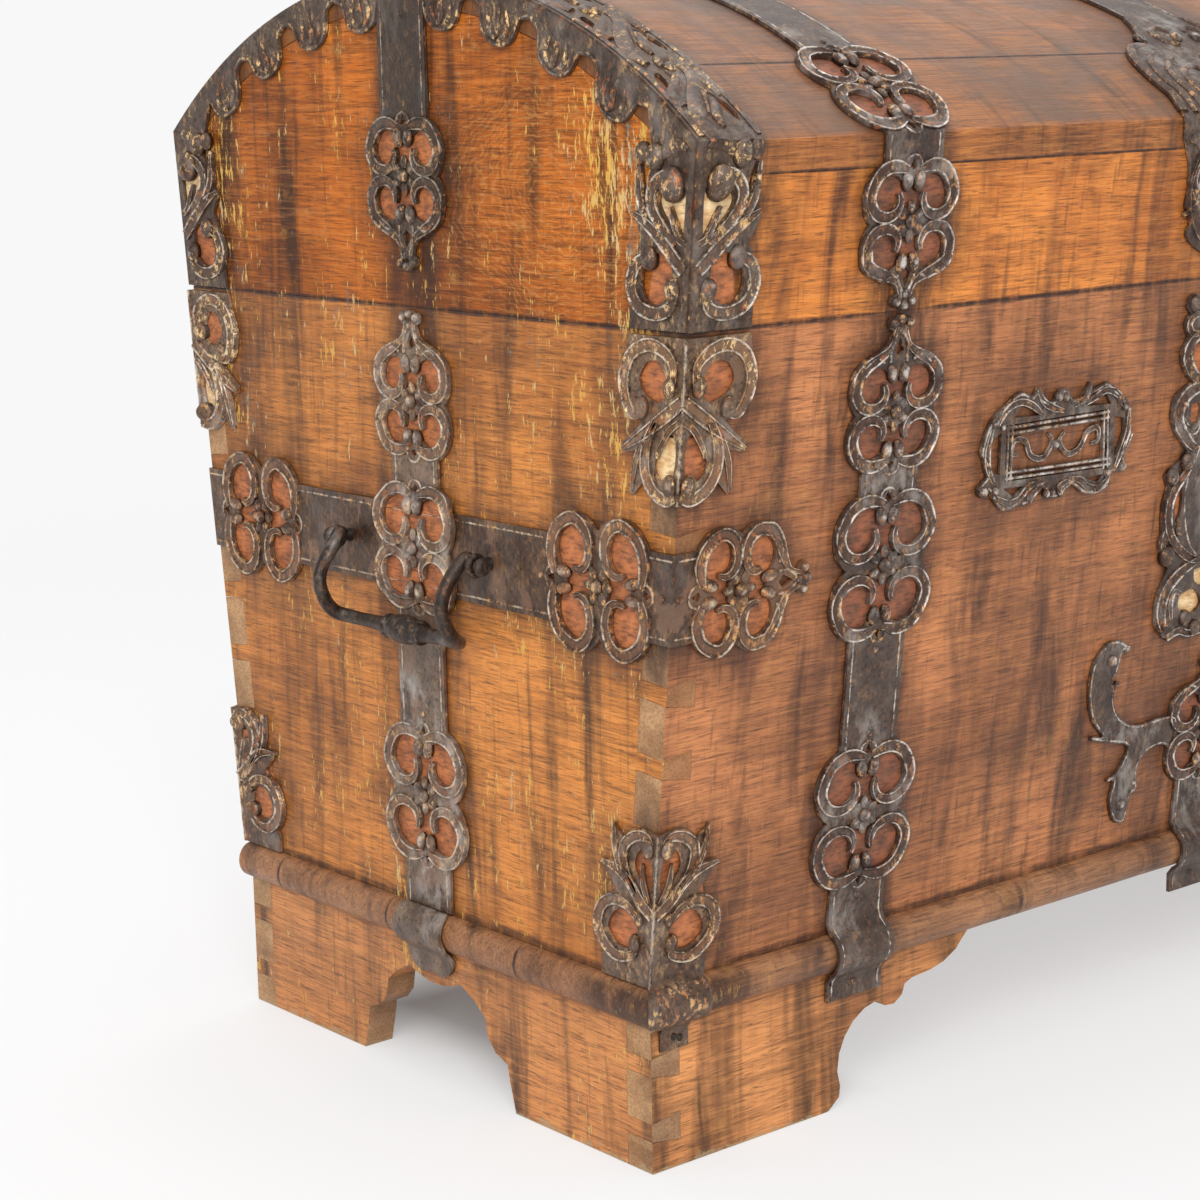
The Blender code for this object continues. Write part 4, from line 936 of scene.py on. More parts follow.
def smooth(points: Sequence[Point], steps: int = 5) -> list[Point]:
    """Curve through points.

    Args:
        points: points to pass through.
        steps: stretches between two points.

    Returns:
        The points of the curve.
    """
    padded = [points[0], *points, points[-1]]
    curve = []
    for a, b, c, d in zip(padded, padded[1:], padded[2:], padded[3:]):
        for step in range(steps):
            t = step / steps
            weights = (
                -t ** 3 + 2 * t * t - t, 3 * t ** 3 - 5 * t * t + 2, -3 * t ** 3 + 4 * t * t + t,
                t ** 3 - t * t,
            )
            curve.append(
                tuple(
                    sum(w * p[k] for w, p in zip(weights, (a, b, c, d))) / 2 for k in range(len(a))
                )
            )
    curve.append(tuple(points[-1]))
    return curve


def ring_through(points: Sequence[Point], steps: int) -> list[Point]:
    """Closed curve through points, without its first one again."""
    return smooth([*points, points[0]], steps)[:-1]


# Profiles of an embossed band: share across, height in millimetres and rub
GROOVED = (
    (-1.0, 0.0, 0.0), (-1.0, 1.0, 0.4), (-0.91, 2.2, 1.0), (-0.76, 2.1, 1.0), (-0.56, 0.9, 0.22),
    (-0.3, 0.4, 0.09), (0.3, 0.4, 0.09), (0.56, 0.9, 0.22), (0.76, 2.1, 1.0), (0.91, 2.2, 1.0),
    (1.0, 1.0, 0.4), (1.0, 0.0, 0.0),
)
SWOLLEN = (
    (-1.0, 0.0, 0.0), (-0.95, 0.7, 0.15), (-0.55, 2.0, 0.4), (0.0, 2.6, 0.7), (0.55, 2.0, 0.4),
    (0.95, 0.7, 0.15), (1.0, 0.0, 0.0),
)
ROUND = ((-1.0, 0.0, 0.0), (-0.8, 0.8, 0.5), (0.0, 1.5, 1.0), (0.8, 0.8, 0.5), (1.0, 0.0, 0.0))


def inset(points: Sequence[Point], distance: float, closed: bool = True) -> list[Point]:
    """Move a line sideways to its left.

    Args:
        points: the line.
        distance: how far.
        closed: whether the line runs round.

    Returns:
        The moved line, closed by its first point if it runs round.
    """
    moved_points = []
    count = len(points)
    for index, point in enumerate(points):
        before = points[index - 1] if closed or index else point
        after = points[(index + 1) % count] if closed or index < count - 1 else point
        heading = Vector((after[0] - before[0], after[1] - before[1])).normalized()
        moved_points.append((point[0] - heading.y * distance, point[1] + heading.x * distance))
    return moved_points + moved_points[:1] if closed else moved_points


def extrude(
    bm: Mesh, faces: list[bmesh.types.BMFace], length: float, way: Vector = Vector((1, 0, 0)),
) -> list[Vert]:
    """Extrude faces.

    Args:
        bm: their mesh.
        faces: faces to extrude, which stay as the other end.
        length: how far.
        way: direction.

    Returns:
        The points at the new end.
    """
    grown = bmesh.ops.extrude_face_region(bm, geom=faces, use_keep_orig=True)["geom"]
    verts = [item for item in grown if isinstance(item, Vert)]
    bmesh.ops.translate(bm, verts=verts, vec=length * way)
    return verts


def rings(
    bm: Mesh, ring: list[Vert], edges: list[Edge], count: int,
) -> Iterator[tuple[int, list[Vert]]]:
    """Grow a bar ring by ring and close its far end.

    Args:
        bm: mesh whose points carry their number in the ring as slot.
        ring: points of the first ring.
        edges: edges of the first ring.
        count: number of rings.

    Yields:
        Number of the ring, and its points to be placed.
    """
    slot = bm.verts.layers.int["slot"]
    for index in range(count):
        if index:
            grown = bmesh.ops.extrude_edge_only(bm, edges=edges)["geom"]
            ring = [item for item in grown if isinstance(item, Vert)]
            edges = [
                item
                for item in grown
                if isinstance(item, Edge) and item.verts[0] in ring and item.verts[1] in ring
            ]
        yield index, ring
    bm.faces.new(sorted(ring, key=lambda vert: vert[slot]))


@dataclass
class Pattern:
    """Ironwork drawn flat: across, along and out, with a rub value on each point."""

    bm: Mesh = field(default_factory=bmesh.new)

    def __post_init__(self) -> None:
        """Add the layers that later steps read."""
        self.rub = self.bm.verts.layers.float.new("rub")
        self.slot = self.bm.verts.layers.int.new("slot")

    def sheet(
        self, outline: Sequence[Point], holes: Sequence[Sequence[Point]] = (),
        low: float = 0.3 * MM, high: float = 3.3 * MM, folds: Sequence[float] = (),
    ) -> None:
        """Cut sheet iron from an outline with holes.

        Args:
            outline: outer edge.
            holes: inner edges.
            low: underside off the wood.
            high: top off the wood.
            folds: distances along where the sheet will bend.
        """
        flat = bmesh.new()
        rub = flat.verts.layers.float.new("rub")
        edges = []
        for loop in (outline, *holes):
            ring = [flat.verts.new((point[0], point[1], low)) for point in loop]
            edges += [flat.edges.new((a, b)) for a, b in zip(ring, ring[1:] + ring[:1])]
        bmesh.ops.triangle_fill(flat, use_beauty=True, use_dissolve=False, edges=edges)
        spans = [v.co.y for v in flat.verts]
        for fold in folds:
            if min(spans) < fold < max(spans):
                bmesh.ops.bisect_plane(
                    flat, geom=flat.verts[:] + flat.edges[:] + flat.faces[:], dist=1e-7,
                    plane_co=(0, fold, 0), plane_no=(0, 1, 0),
                )
        for vert in extrude(flat, flat.faces[:], high - low, Vector((0, 0, 1))):
            vert[rub] = PLAIN_RUB
        self.take(flat)

    def ground(self, outline: Sequence[Point], folds: Sequence[float] = ()) -> None:
        """Lay a sheet as thin as paint, just off the wood."""
        self.sheet(outline, (), 0.05 * MM, 0.25 * MM, folds)

    def take(self, other: Mesh, change: Matrix | None = None) -> None:
        """Copy another mesh in, changed by a matrix.

        Args:
            other: mesh to copy, freed if no matrix is given.
            change: transform in the pattern's space.
        """
        held = bpy.data.meshes.new("held")
        other.to_mesh(held)
        count = len(self.bm.verts)
        self.bm.from_mesh(held)
        bpy.data.meshes.remove(held)
        self.bm.verts.ensure_lookup_table()
        if change is None:
            other.free()
        else:
            bmesh.ops.transform(self.bm, matrix=change, verts=self.bm.verts[count:])

    def stamp(
        self, other: "Pattern", across: float = 0.0, along: float = 0.0, flip: Point = (1, 1),
    ) -> None:
        """Copy a pattern to a place, mirrored first."""
        self.take(other.bm, Matrix.Translation((across, along, 0)) @ Matrix.Diagonal((*flip, 1, 1)))

    def stroke(self, line: Sequence[Triple], section: Sequence[tuple] = (), base: float = 3.1 * MM,
               lift: float = 1.0, steps: int = 3, shine: float = 1.0) -> None:
        """Lay an embossed band along a line.

        Args:
            line: middle points with the half width at each.
            section: profile as share across, height in millimetres and rub.
            base: level that it stands on.
            lift: height against the profile's.
            steps: stretches between two points.
            shine: how bright the crest is rubbed.
        """
        section = section or GROOVED
        line = smooth(line, steps) if steps > 1 else list(line)
        ring = []
        for index, (_, _, rub) in enumerate(section):
            vert = self.bm.verts.new((0, 0, 0))
            vert[self.rub], vert[self.slot] = rub * shine, index
            ring.append(vert)
        edges = [self.bm.edges.new((a, b)) for a, b in zip(ring, ring[1:] + ring[:1])]
        self.bm.faces.new(ring)
        for index, ring in rings(self.bm, ring, edges, len(line)):
            x, y, half = line[index]
            before, after = line[max(index - 1, 0)], line[min(index + 1, len(line) - 1)]
            heading = Vector((after[0] - before[0], after[1] - before[1])).normalized()
            rise = min(1.0, half / (3.0 * MM)) * lift
            for vert in ring:
                offset, height, _ = section[vert[self.slot]]
                level = base + height * MM * rise if height else 0.5 * MM
                vert.co = (x - heading.y * offset * half, y + heading.x * offset * half, level)

    def scroll(self, points: Sequence[Point], widths: Sequence[float], **options: Any) -> None:
        """Lay a grooved band through points with half widths in millimetres."""
        self.stroke([(x, y, width * MM) for (x, y), width in zip(points, widths)], **options)

    def wire(
        self, points: Sequence[Point], half: float = 1.2 * MM, base: float = 3.1 * MM,
        lift: float = 0.9,
    ) -> None:
        """Lay a thin round rim exactly along points.

        Args:
            points: the line.
            half: half its width.
            base: level that it stands on.
            lift: height against the profile's.
        """
        self.stroke(
            [(x, y, half) for x, y in points], ROUND, base, lift * 3 * MM / max(half, 1e-6) * 0.4,
            1,
        )

    def bead(self, across: float, along: float, size: Triple, turn: float = 0.0,
             base: float = 3.3 * MM, rub: float = 1.0, segments: int = 12) -> None:
        """Raise a round or egg shaped boss.

        Args:
            across: place across.
            along: place along.
            size: radii across, along and out.
            turn: turn in the plane in radians.
            base: level of its middle.
            rub: how bright its top is rubbed.
            segments: faces round it.
        """
        place = Matrix.Translation((across, along, base)) @ Matrix.Rotation(turn, 4, "Z")
        made = bmesh.ops.create_uvsphere(
            self.bm, u_segments=segments, v_segments=max(4, segments // 2), radius=1.0,
            matrix=place @ Matrix.Diagonal((*size, 1)),
        )
        for vert in made["verts"]:
            level = (vert.co.z - base) / size[2]
            vert[self.rub] = rub * max(0.0, level) ** 1.5

    def rosette(
        self, across: float, along: float, petals: int = 6, reach: float = 10.2 * MM,
    ) -> None:
        """Ring of round petals round a nail head.

        Args:
            across: place across.
            along: place along.
            petals: how many.
            reach: distance of a petal from the middle.
        """
        for index in range(petals):
            turn = math.tau * (index + 0.5) / petals
            x, y = across + reach * math.cos(turn), along + reach * math.sin(turn)
            self.bead(x, y, (5.6 * MM, 3.7 * MM, 2.4 * MM), turn, rub=0.75, segments=10)
        self.bead(across, along, (5.4 * MM, 5.4 * MM, 4.6 * MM), base=4.4 * MM, rub=0.8)

    def finish(self, name: str, track: Track, body: str, look: Look, nodes: Sequence[str] = (),
               slot: str = "strap_iron", across: float = 0.0) -> Piece:
        """Bend the pattern over a track and make it a piece.

        Args:
            name: name of the piece.
            track: surface to bend over.
            body: body it rides on.
            look: its material.
            nodes: CAD nodes that it stands for.
            slot: not used.
            across: shift across before bending.

        Returns:
            The new object.
        """
        for vert in self.bm.verts:
            u, v, t = vert.co
            vert.co = track.place(u + across, v, t)
        return make_piece(name, self.bm, body, look, nodes)


def make_piece(name: str, bm: Mesh, body: str, look: Look, nodes: Sequence[str] = (),
               angle: float = 38.0) -> Piece:
    """Turn a bmesh into a piece that rides on a body.

    Args:
        name: name of the piece.
        bm: mesh in the frame's place, freed here.
        body: body it rides on.
        look: its material.
        nodes: CAD nodes that it stands for.
        angle: edges sharper than this stay sharp, in degrees.

    Returns:
        The new object.
    """
    bmesh.ops.recalc_face_normals(bm, faces=bm.faces)
    mesh = bpy.data.meshes.new(name)
    bm.to_mesh(mesh)
    bm.free()
    mesh.polygons.foreach_set("use_smooth", [True] * len(mesh.polygons))
    mesh.set_sharp_from_angle(angle=math.radians(angle))
    mesh.materials.append(look)
    made = bpy.data.objects.new(name, mesh)
    bpy.context.scene.collection.objects.link(made)
    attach(made, body)
    if nodes:
        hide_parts(*nodes)
    LOG.info("%s: %d faces on %s", name, len(mesh.polygons), body)
    return made


@dataclass(frozen=True)
class Cartouche:
    """Pierced ornament of four C-scrolls round a rosette."""

    half_length: float
    half_width: float
    offset: float = 21 * MM
    band: float = 10.5 * MM
    eye: float = 14 * MM

    @property
    def radius(self) -> float:
        """Radius of the lobes."""
        return self.half_width - self.offset

    @property
    def lobe(self) -> float:
        """Lobe centres above and below the middle."""
        return self.half_length - self.radius

    def side(self, centre: float, low: float, high: float) -> list[Point]:
        """Right side of the outline between two half widths that join it.

        Args:
            centre: place along of the middle.
            low: half width that it starts from.
            high: half width that it ends in.

        Returns:
            Points from bottom to top.
        """
        reach = math.sqrt(self.radius ** 2 - self.lobe ** 2)
        waist = math.degrees(math.atan2(self.lobe, reach))
        start = math.degrees(math.acos((low - self.offset) / self.radius))
        end = math.degrees(math.acos((high - self.offset) / self.radius))
        below = arc((self.offset, centre - self.lobe), self.radius, -start, waist, 16)
        return below + arc((self.offset, centre + self.lobe), self.radius, -waist, end, 16)[1:]

    def holes(self, centre: float) -> list[list[Point]]:
        """The two openings, above and below the rosette.

        Args:
            centre: place along of the middle.

        Returns:
            The upper and the lower opening.
        """
        inner = self.radius - self.band
        right = [
            (0, 0.75 * self.eye), (0.36 * self.offset, 0.7 * self.eye),
            (0.62 * self.offset, 0.36 * self.eye),
        ]
        right += arc((self.offset, self.lobe), inner, -84, 128, 14)
        right.append((0.28 * self.offset, self.lobe + 0.5 * inner))
        opening = both_sides(right)
        return [moved(opening, 0, centre), [(a, centre - b) for a, b in opening]]

    def flank(self, tip: float) -> list[Point]:
        """Concave shoulder from the lobe to the neck of a finial.

        Args:
            tip: distance of the finial's tip from the cartouche's middle.

        Returns:
            Points outwards from the lobe, on the right.
        """
        turn = math.radians(35)
        start = (
            self.offset + self.radius * math.cos(turn), self.lobe + self.radius * math.sin(turn),
        )
        end = (6 * MM, tip - 13 * MM)
        shares = ((0, 0), (0.22, 0.27), (0.52, 0.44), (0.78, 0.59), (0.93, 0.79))
        return [
            (start[0] + (end[0] - start[0]) * u, start[1] + (end[1] - start[1]) * v)
            for u, v in shares
        ]

    def quarter(self, tip: float | None) -> Pattern:
        """Upper right scroll with its bulb, drawn out to a neck where a finial follows.

        Args:
            tip: distance of the finial's tip from the middle, or None.

        Returns:
            The pattern.
        """
        drawn = Pattern()
        a, b, r = self.offset, self.lobe, self.radius
        line, widths = [], []
        if tip is not None:
            for (x, y), half in reversed(list(zip(self.flank(tip), (5.2, 4.9, 4.2, 3.0, 2.1)))):
                line.append((x - 0.5 * half * MM, y - 0.86 * half * MM))
                widths.append(half)
            line.insert(0, (4.4 * MM, tip - 9 * MM))
            widths.insert(0, 1.5)
        for angle, outer, width in (
            (128, 1.0, 6.0), (105, 1.0, 9.6), (80, 1.0, 10.5), (50, 1.0, 10.5), (15, 1.0, 10.5),
            (-8, 1.0, 10.2), (-35, 0.9, 9.6), (-62, 0.78, 9.0), (-92, 0.68, 8.2), (-125, 0.6, 7.0),
            (-160, 0.5, 5.4), (-195, 0.4, 3.6),
        ):
            if tip is not None and angle > 35:
                continue
            middle = r * outer - width * MM / 2
            turn = math.radians(angle)
            line.append((a + middle * math.cos(turn), b + middle * math.sin(turn)))
            widths.append(width / 2)
        drawn.scroll(line, widths, steps=3)
        if tip is not None:
            stem = [
                (2.4 * MM, tip - 14 * MM, 1.5 * MM), (8 * MM, tip - 22 * MM, 1.6 * MM),
                (8.5 * MM, b + 0.72 * r, 1.8 * MM),
            ]
            drawn.stroke(stem, ROUND, lift=1.6)
            ring = [(0.5, 0.62), (0.1, 0.86), (-0.24, 0.74)]
            drawn.stroke(
                [(a + x * r, b + y * r, half * MM) for (x, y), half in zip(ring, (1.2, 1.6, 1.8))],
                ROUND, lift=1.4,
            )
        drawn.bead(6.2 * MM, b + 0.4 * r, (4.9 * MM, 7.8 * MM, 4.4 * MM), -0.22, rub=0.85)
        return drawn

    def scrolls(self, above: float | None = None, below: float | None = None) -> Pattern:
        """All four scrolls and the rosette.

        Args:
            above: distance of a finial's tip above the middle, or None.
            below: the same below it.

        Returns:
            The pattern.
        """
        whole = Pattern()
        for tip, way in ((above, 1), (below, -1)):
            drawn = self.quarter(tip)
            for sign in (-1, 1):
                whole.stamp(drawn, flip=(sign, way))
            drawn.bm.free()
        whole.rosette(0, 0)
        return whole

    def arch(self, whole: Pattern, centre: float, way: int) -> None:
        """Small ogee between the bulbs where the cartouche meets a strap.

        Args:
            whole: pattern to draw in.
            centre: distance along of the cartouche's middle.
            way: 1 for the upper end, -1 for the lower.
        """
        shape = ((-8.5, -4.5), (-5.8, 0.5), (0, 2.6), (5.8, 0.5), (8.5, -4.5))
        whole.stroke(
            [(x * MM, centre + way * (self.half_length + y * MM), 1.5 * MM) for x, y in shape],
            ROUND, lift=1.6,
        )

    def peep(self, centre: float, way: int) -> list[Point]:
        """Small pointed opening under the ogee."""
        shape = ((0, 0.8), (-3.6, -5.5), (0, -7.5), (3.6, -5.5))
        return [(x * MM, centre + way * (self.half_length + y * MM)) for x, y in shape]


SHORT = Cartouche(44 * MM, 47 * MM)
LONG = Cartouche(56 * MM, 51.5 * MM)
CROSSING = Cartouche(50 * MM, 50.5 * MM)
# Heights against the seam
LOWEST_MARK, MIDDLE_MARK, HIGH_MARK = 0.091 - 0.472, -0.187, -0.0725


def front_marks() -> list[tuple[Cartouche, float]]:
    """Cartouches of a front strap with their distances along the lean."""
    marks = ((LONG, LOWEST_MARK), (LONG, MIDDLE_MARK), (SHORT, HIGH_MARK))
    return [(mark, height / math.cos(SIZES.lean)) for mark, height in marks]


def finial(whole: Pattern, tip: float, way: int) -> None:
    """Three beads and a knot at the end of a neck.

    Args:
        whole: pattern to add to.
        tip: distance along of the tip.
        way: 1 where the tip is above, -1 where it is below.
    """
    for sign in (-1, 1):
        whole.bead(
            sign * 8.0 * MM, tip - way * 6.4 * MM, (3.9 * MM, 3.9 * MM, 3.6 * MM), segments=10,
        )
    whole.bead(0, tip - way * 3.8 * MM, (4.0 * MM, 4.0 * MM, 3.7 * MM), segments=10)
    whole.bead(0, tip - way * 12 * MM, (3.2 * MM, 4.2 * MM, 3.0 * MM), segments=8)


def finial_side(mark: Cartouche, centre: float, tip: float, way: int) -> list[Point]:
    """Right side of the outline of a finial, from its cartouche to its tip.

    Args:
        mark: the last cartouche.
        centre: its place along.
        tip: distance along of the tip.
        way: 1 where the tip is above, -1 where it is below.

    Returns:
        Points outwards from the cartouche.
    """
    shoulder = [(x, centre + way * y) for x, y in mark.flank(abs(tip - centre))]
    shape = [(6, 13), (11, 10.5), (12.5, 6), (9, 2.5), (5, 3), (3, 0.5)]
    return shoulder[1:] + [(x * MM, tip - way * y * MM) for x, y in shape]


@dataclass
class StrapLayout:
    """A strap's cartouches and ends, from bottom to top."""

    marks: Sequence[tuple[Cartouche, float]]
    low: float | None
    high: float | None
    low_tip: float | None = None
    high_tip: float | None = None
    half: float = SIZES.strap_half

    def build(self, folds: Sequence[float] = ()) -> Pattern:
        """Draw the whole strap flat.

        Args:
            folds: distances along where it will bend.

        Returns:
            The pattern.
        """
        whole = Pattern()
        last = len(self.marks) - 1
        side: list[Point] = []
        if self.low is not None:
            side.append((self.half, self.low))
        else:
            side += finial_side(*self.marks[0], self.low_tip, -1)[::-1]
        for index, (mark, centre) in enumerate(self.marks):
            join = mark.offset + mark.radius * math.cos(math.radians(35))
            bottom = join if index == 0 and self.low is None else self.half
            top = join if index == last and self.high is None else self.half
            side += mark.side(centre, bottom, top)
        if self.high is not None:
            side.append((self.half, self.high))
        else:
            side += finial_side(*self.marks[-1], self.high_tip, 1)
        holes = [hole for mark, centre in self.marks for hole in mark.holes(centre)]
        for index, (mark, centre) in enumerate(self.marks):
            if index or self.low is not None:
                holes.append(mark.peep(centre, -1))
            if index < len(self.marks) - 1 or self.high is not None:
                holes.append(mark.peep(centre, 1))
        for tip, way in ((self.low_tip, -1), (self.high_tip, 1)):
            if tip is not None:
                holes.append(
                    mm(*[(x, tip / MM - way * y) for x, y in ((0, 17), (5, 27), (0, 31), (-5, 27))])
                )
        whole.sheet(both_sides(side), holes, folds=folds)
        for index, (mark, centre) in enumerate(self.marks):
            above = self.high_tip - centre if index == last and self.high is None else None
            below = centre - self.low_tip if index == 0 and self.low is None else None
            drawn = mark.scrolls(above, below)
            whole.stamp(drawn, 0, centre)
            drawn.bm.free()
        self.dress(whole)
        return whole

    def dress(self, whole: Pattern) -> None:
        """Rims along the plain stretches, hearts, rivets and finials.

        Args:
            whole: pattern to add to.
        """
        edges: list[tuple[float, float]] = []
        below = self.low
        for index, (mark, centre) in enumerate(self.marks):
            if below is not None:
                edges.append((below, centre - mark.half_length + 3 * MM))
                mark.arch(whole, centre, -1)
            last = index == len(self.marks) - 1
            below = centre + mark.half_length - 3 * MM
            if not last or self.high is not None:
                mark.arch(whole, centre, 1)
        if self.high is not None:
            edges.append((below, self.high))
        for low, high in edges:
            count = max(2, int((high - low) / (6 * MM)))
            for sign in (-1, 1):
                whole.wire(upright(sign * (self.half - 4.5 * MM), low, high, count))
            if high - low > 40 * MM:
                for place in (low + 12 * MM, high - 12 * MM):
                    whole.bead(0, place, (3.2 * MM, 3.2 * MM, 1.4 * MM), rub=0.6, segments=8)
        if self.high is None:
            finial(whole, self.high_tip, 1)
        if self.low is None:
            finial(whole, self.low_tip, -1)


# Ironwork sub-assemblies


@dataclass
class FrontStraps:
    """Long straps down the front, over the moulding and on to the plinth."""

    iron: Look
    swoop: tuple[Point, ...] = (
        (107, -300), (122, -291), (137, -291), (151, -304), (155, -323), (152, -344), (143, -360),
        (132, -371), (145, -369), (144, -373), (120, -379), (98, -386), (109, -406), (121, -411),
        (112, -414), (115, -430), (107, -449), (93, -452), (89, -432), (81, -425), (83, -413),
        (80, -400), (66, -393), (51, -393), (38, -400), (38, -371), (64, -368), (91, -369),
        (112, -359), (122, -345), (123, -333), (118, -326), (127, -328), (121, -315), (117, -301),
    )

    def build(self) -> None:
        """Build the side straps and the middle one."""
        points = front_path()
        track = Track.path(points, Vector((1, 0, 0)), zero=len(points) - 1)
        marks = front_marks()
        foot = track.stations[0][0]
        for side in Side:
            layout = StrapLayout(marks, foot, None, high_tip=-1.2 * MM)
            whole = layout.build(track.folds())
            whole.finish(
                f"embossed_strap_front_{side.word}", track, "chest", self.iron,
                [f"front_strap_{side.word}"], across=side.value * SIZES.strap_x,
            )
        self.middle(track, foot, marks[0][1] - 3 * MM)

    def middle(self, track: Track, foot: float, centre: float) -> None:
        """Short middle strap with its swept arms.

        Args:
            track: the front's surface.
            foot: distance along of its lower end.
            centre: place along of its cartouche.
        """
        layout = StrapLayout([(SHORT, centre)], foot, None, high_tip=centre + 66 * MM)
        whole = layout.build(track.folds())
        for sign in (-1, 1):
            arm = ring_through(mm(*self.swoop, sign=sign), 3)
            whole.sheet(arm)
            whole.wire(inset(arm, -sign * 1.7 * MM), 1.2 * MM)
            for x, y, size in ((130, -307, 5.5), (100, -437, 5), (113, -300, 2.5), (86, -420, 2.5)):
                whole.bead(sign * x * MM, y * MM, (size * MM, size * MM, 0.7 * size * MM))
        whole.finish(
            "embossed_strap_front_middle", track, "chest", self.iron, ["front_strap_middle"],
        )


@dataclass
class LidStraps:
    """Straps over the lid; the side ones end in the hinges' knuckles."""

    iron: Look

    def build(self) -> None:
        """Build the three straps."""
        track = Track.path(lid_path(), Vector((1, 0, 0)))
        arris, back, end = track.stations[1][0], track.stations[-2][0], track.stations[-1][0]
        for side in Side:
            layout = StrapLayout(
                [(SHORT, arris / 2), (CROSSING, arris + 51 * MM)], None, end - 8.7 * MM,
                low_tip=0.8 * MM,
            )
            whole = layout.build(track.folds())
            tongue = 8.9 * MM
            low, high = end - 9 * MM, end - 1.5 * MM
            whole.sheet([(-tongue, low), (tongue, low), (tongue, high), (-tongue, high)])
            piece = whole.finish(
                f"embossed_strap_lid_{side.word}", track, "lid", self.iron, [],
                across=side.value * SIZES.strap_x,
            )
            self.knuckle(side)
        self.middle(track, arris, back)

    def knuckle(self, side: Side) -> None:
        """Rolled knuckle of the hinge on the lid's strap.

        Args:
            side: end of the chest.
        """
        axis_y = SIZES.seam_half + 7.8 * MM / math.cos(SIZES.lean)
        bm = bmesh.new()
        middle = side.value * SIZES.strap_x
        roll = Matrix.Translation((middle - 9.2 * MM, axis_y, SIZES.seam))
        roll @= Matrix.Rotation(math.pi / 2, 4, "Y")
        for radius in (7.5 * MM, 3.9 * MM):
            bmesh.ops.create_circle(bm, cap_ends=False, segments=32, radius=radius, matrix=roll)
        cheek = bmesh.ops.bridge_loops(bm, edges=bm.edges[:])["faces"]
        extrude(bm, cheek, 18.4 * MM)
        make_piece(
            f"rolled_knuckle_lid_{side.word}", bm, "lid", self.iron, [f"lid_strap_{side.word}"],
        )
        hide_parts(f"lid_strap_{side.word}")

    def middle(self, track: Track, arris: float, back: float) -> None:
        """Wide middle strap with its leaf ornament.

        Args:
            track: the lid's surface.
            arris: distance along of the dome's front edge.
            back: distance along of its back edge.
        """
        whole = Pattern()
        crest = mm(
            (4, 1), (20, 10), (46, 14), (73, 22), (92, 35), (88, 47), (97, 59), (94, 76), (98, 94),
            (106, 112),
        )
        palmette = [
            (x * MM, arris + y * MM)
            for x, y in (
                (108, 0), (104, 12), (92, 26), (101, 48), (97, 76), (82, 92), (60, 96), (50, 112),
                (33, 141),
            )
        ]
        last = [(33 * MM, back + 60 * MM), (12 * MM, back + 78 * MM), (3 * MM, back + 84 * MM)]
        side = smooth(crest, 3) + smooth(palmette, 3) + last
        ring = mm((20, 30), (48, 32), (70, 44), (76, 62), (66, 88), (44, 98), (26, 84), (38, 62))
        ring = ring_through(ring, 3)
        whole.sheet(both_sides(side), [ring, [(-x, y) for x, y in ring]], folds=track.folds())
        for sign in (-1, 1):
            for line, widths, lift in (
                (
                    (
                        (10, 112), (30, 106), (62, 104), (86, 84), (88, 58), (74, 34), (44, 22),
                        (16, 26), (14, 40),
                    ),
                    (5, 5.5, 5.5, 5.5, 5.5, 5, 5, 4, 2.5), 0,
                ),
                (((100, 110), (84, 100), (92, 78), (84, 60), (98, 52)), (3, 4, 4, 3.5, 1.5), 0),
                (((40, 98), (34, 78), (44, 62), (38, 46), (30, 40)), (3, 4, 4, 3.5, 2), 0),
                (
                    ((104, 6), (98, 26), (100, 48), (95, 74), (80, 91), (62, 94)),
                    (4, 4.6, 4.6, 4.6, 4, 2), arris,
                ),
                (((92, 4), (86, 26), (88, 48), (80, 70), (64, 82)), (3, 4, 4, 3.6, 1.6), arris),
                (((79, 4), (74, 24), (74, 48), (64, 64), (48, 74)), (3, 3.8, 3.8, 3.4, 1.6), arris),
                (
                    ((64, 4), (60, 26), (60, 46), (48, 60), (34, 58), (32, 46), (42, 42)),
                    (3, 3.8, 3.8, 3.6, 3.2, 2.6, 1.8), arris,
                ),
                (((46, 6), (48, 22), (38, 34), (24, 34), (16, 24)), (3, 3.4, 3.4, 3, 1.8), arris),
                (((58, 98), (50, 110), (40, 126), (34, 142)), (3.4, 3.8, 3.4, 1.6), arris),
                (
                    ((20, 92), (32, 100), (32, 114), (20, 122), (10, 114)), (2.5, 3.6, 3.6, 3, 1.8),
                    arris,
                ),
            ):
                points = [(sign * x * MM, lift + y * MM) for x, y in line]
                whole.scroll(
                    points, widths, steps=4, section=SWOLLEN if lift else GROOVED, shine=0.7,
                )
            for x, y, r, lift in (
                (14, 44, 5, 0), (34, 36, 4, 0), (60, 66, 4, 0), (22, 58, 5, arris),
                (12, 104, 5, arris), (60, 104, 4, arris),
            ):
                whole.bead(sign * x * MM, lift + y * MM, (r * MM, r * 1.3 * MM, r * 0.8 * MM))
            whole.wire(upright(sign * 31.5 * MM, arris + 145 * MM, back + 56 * MM, 90))
        whole.rosette(0, 62 * MM)
        whole.rosette(0, arris + 68 * MM)
        whole.finish("embossed_strap_lid_middle", track, "lid", self.iron, ["lid_strap_middle"])


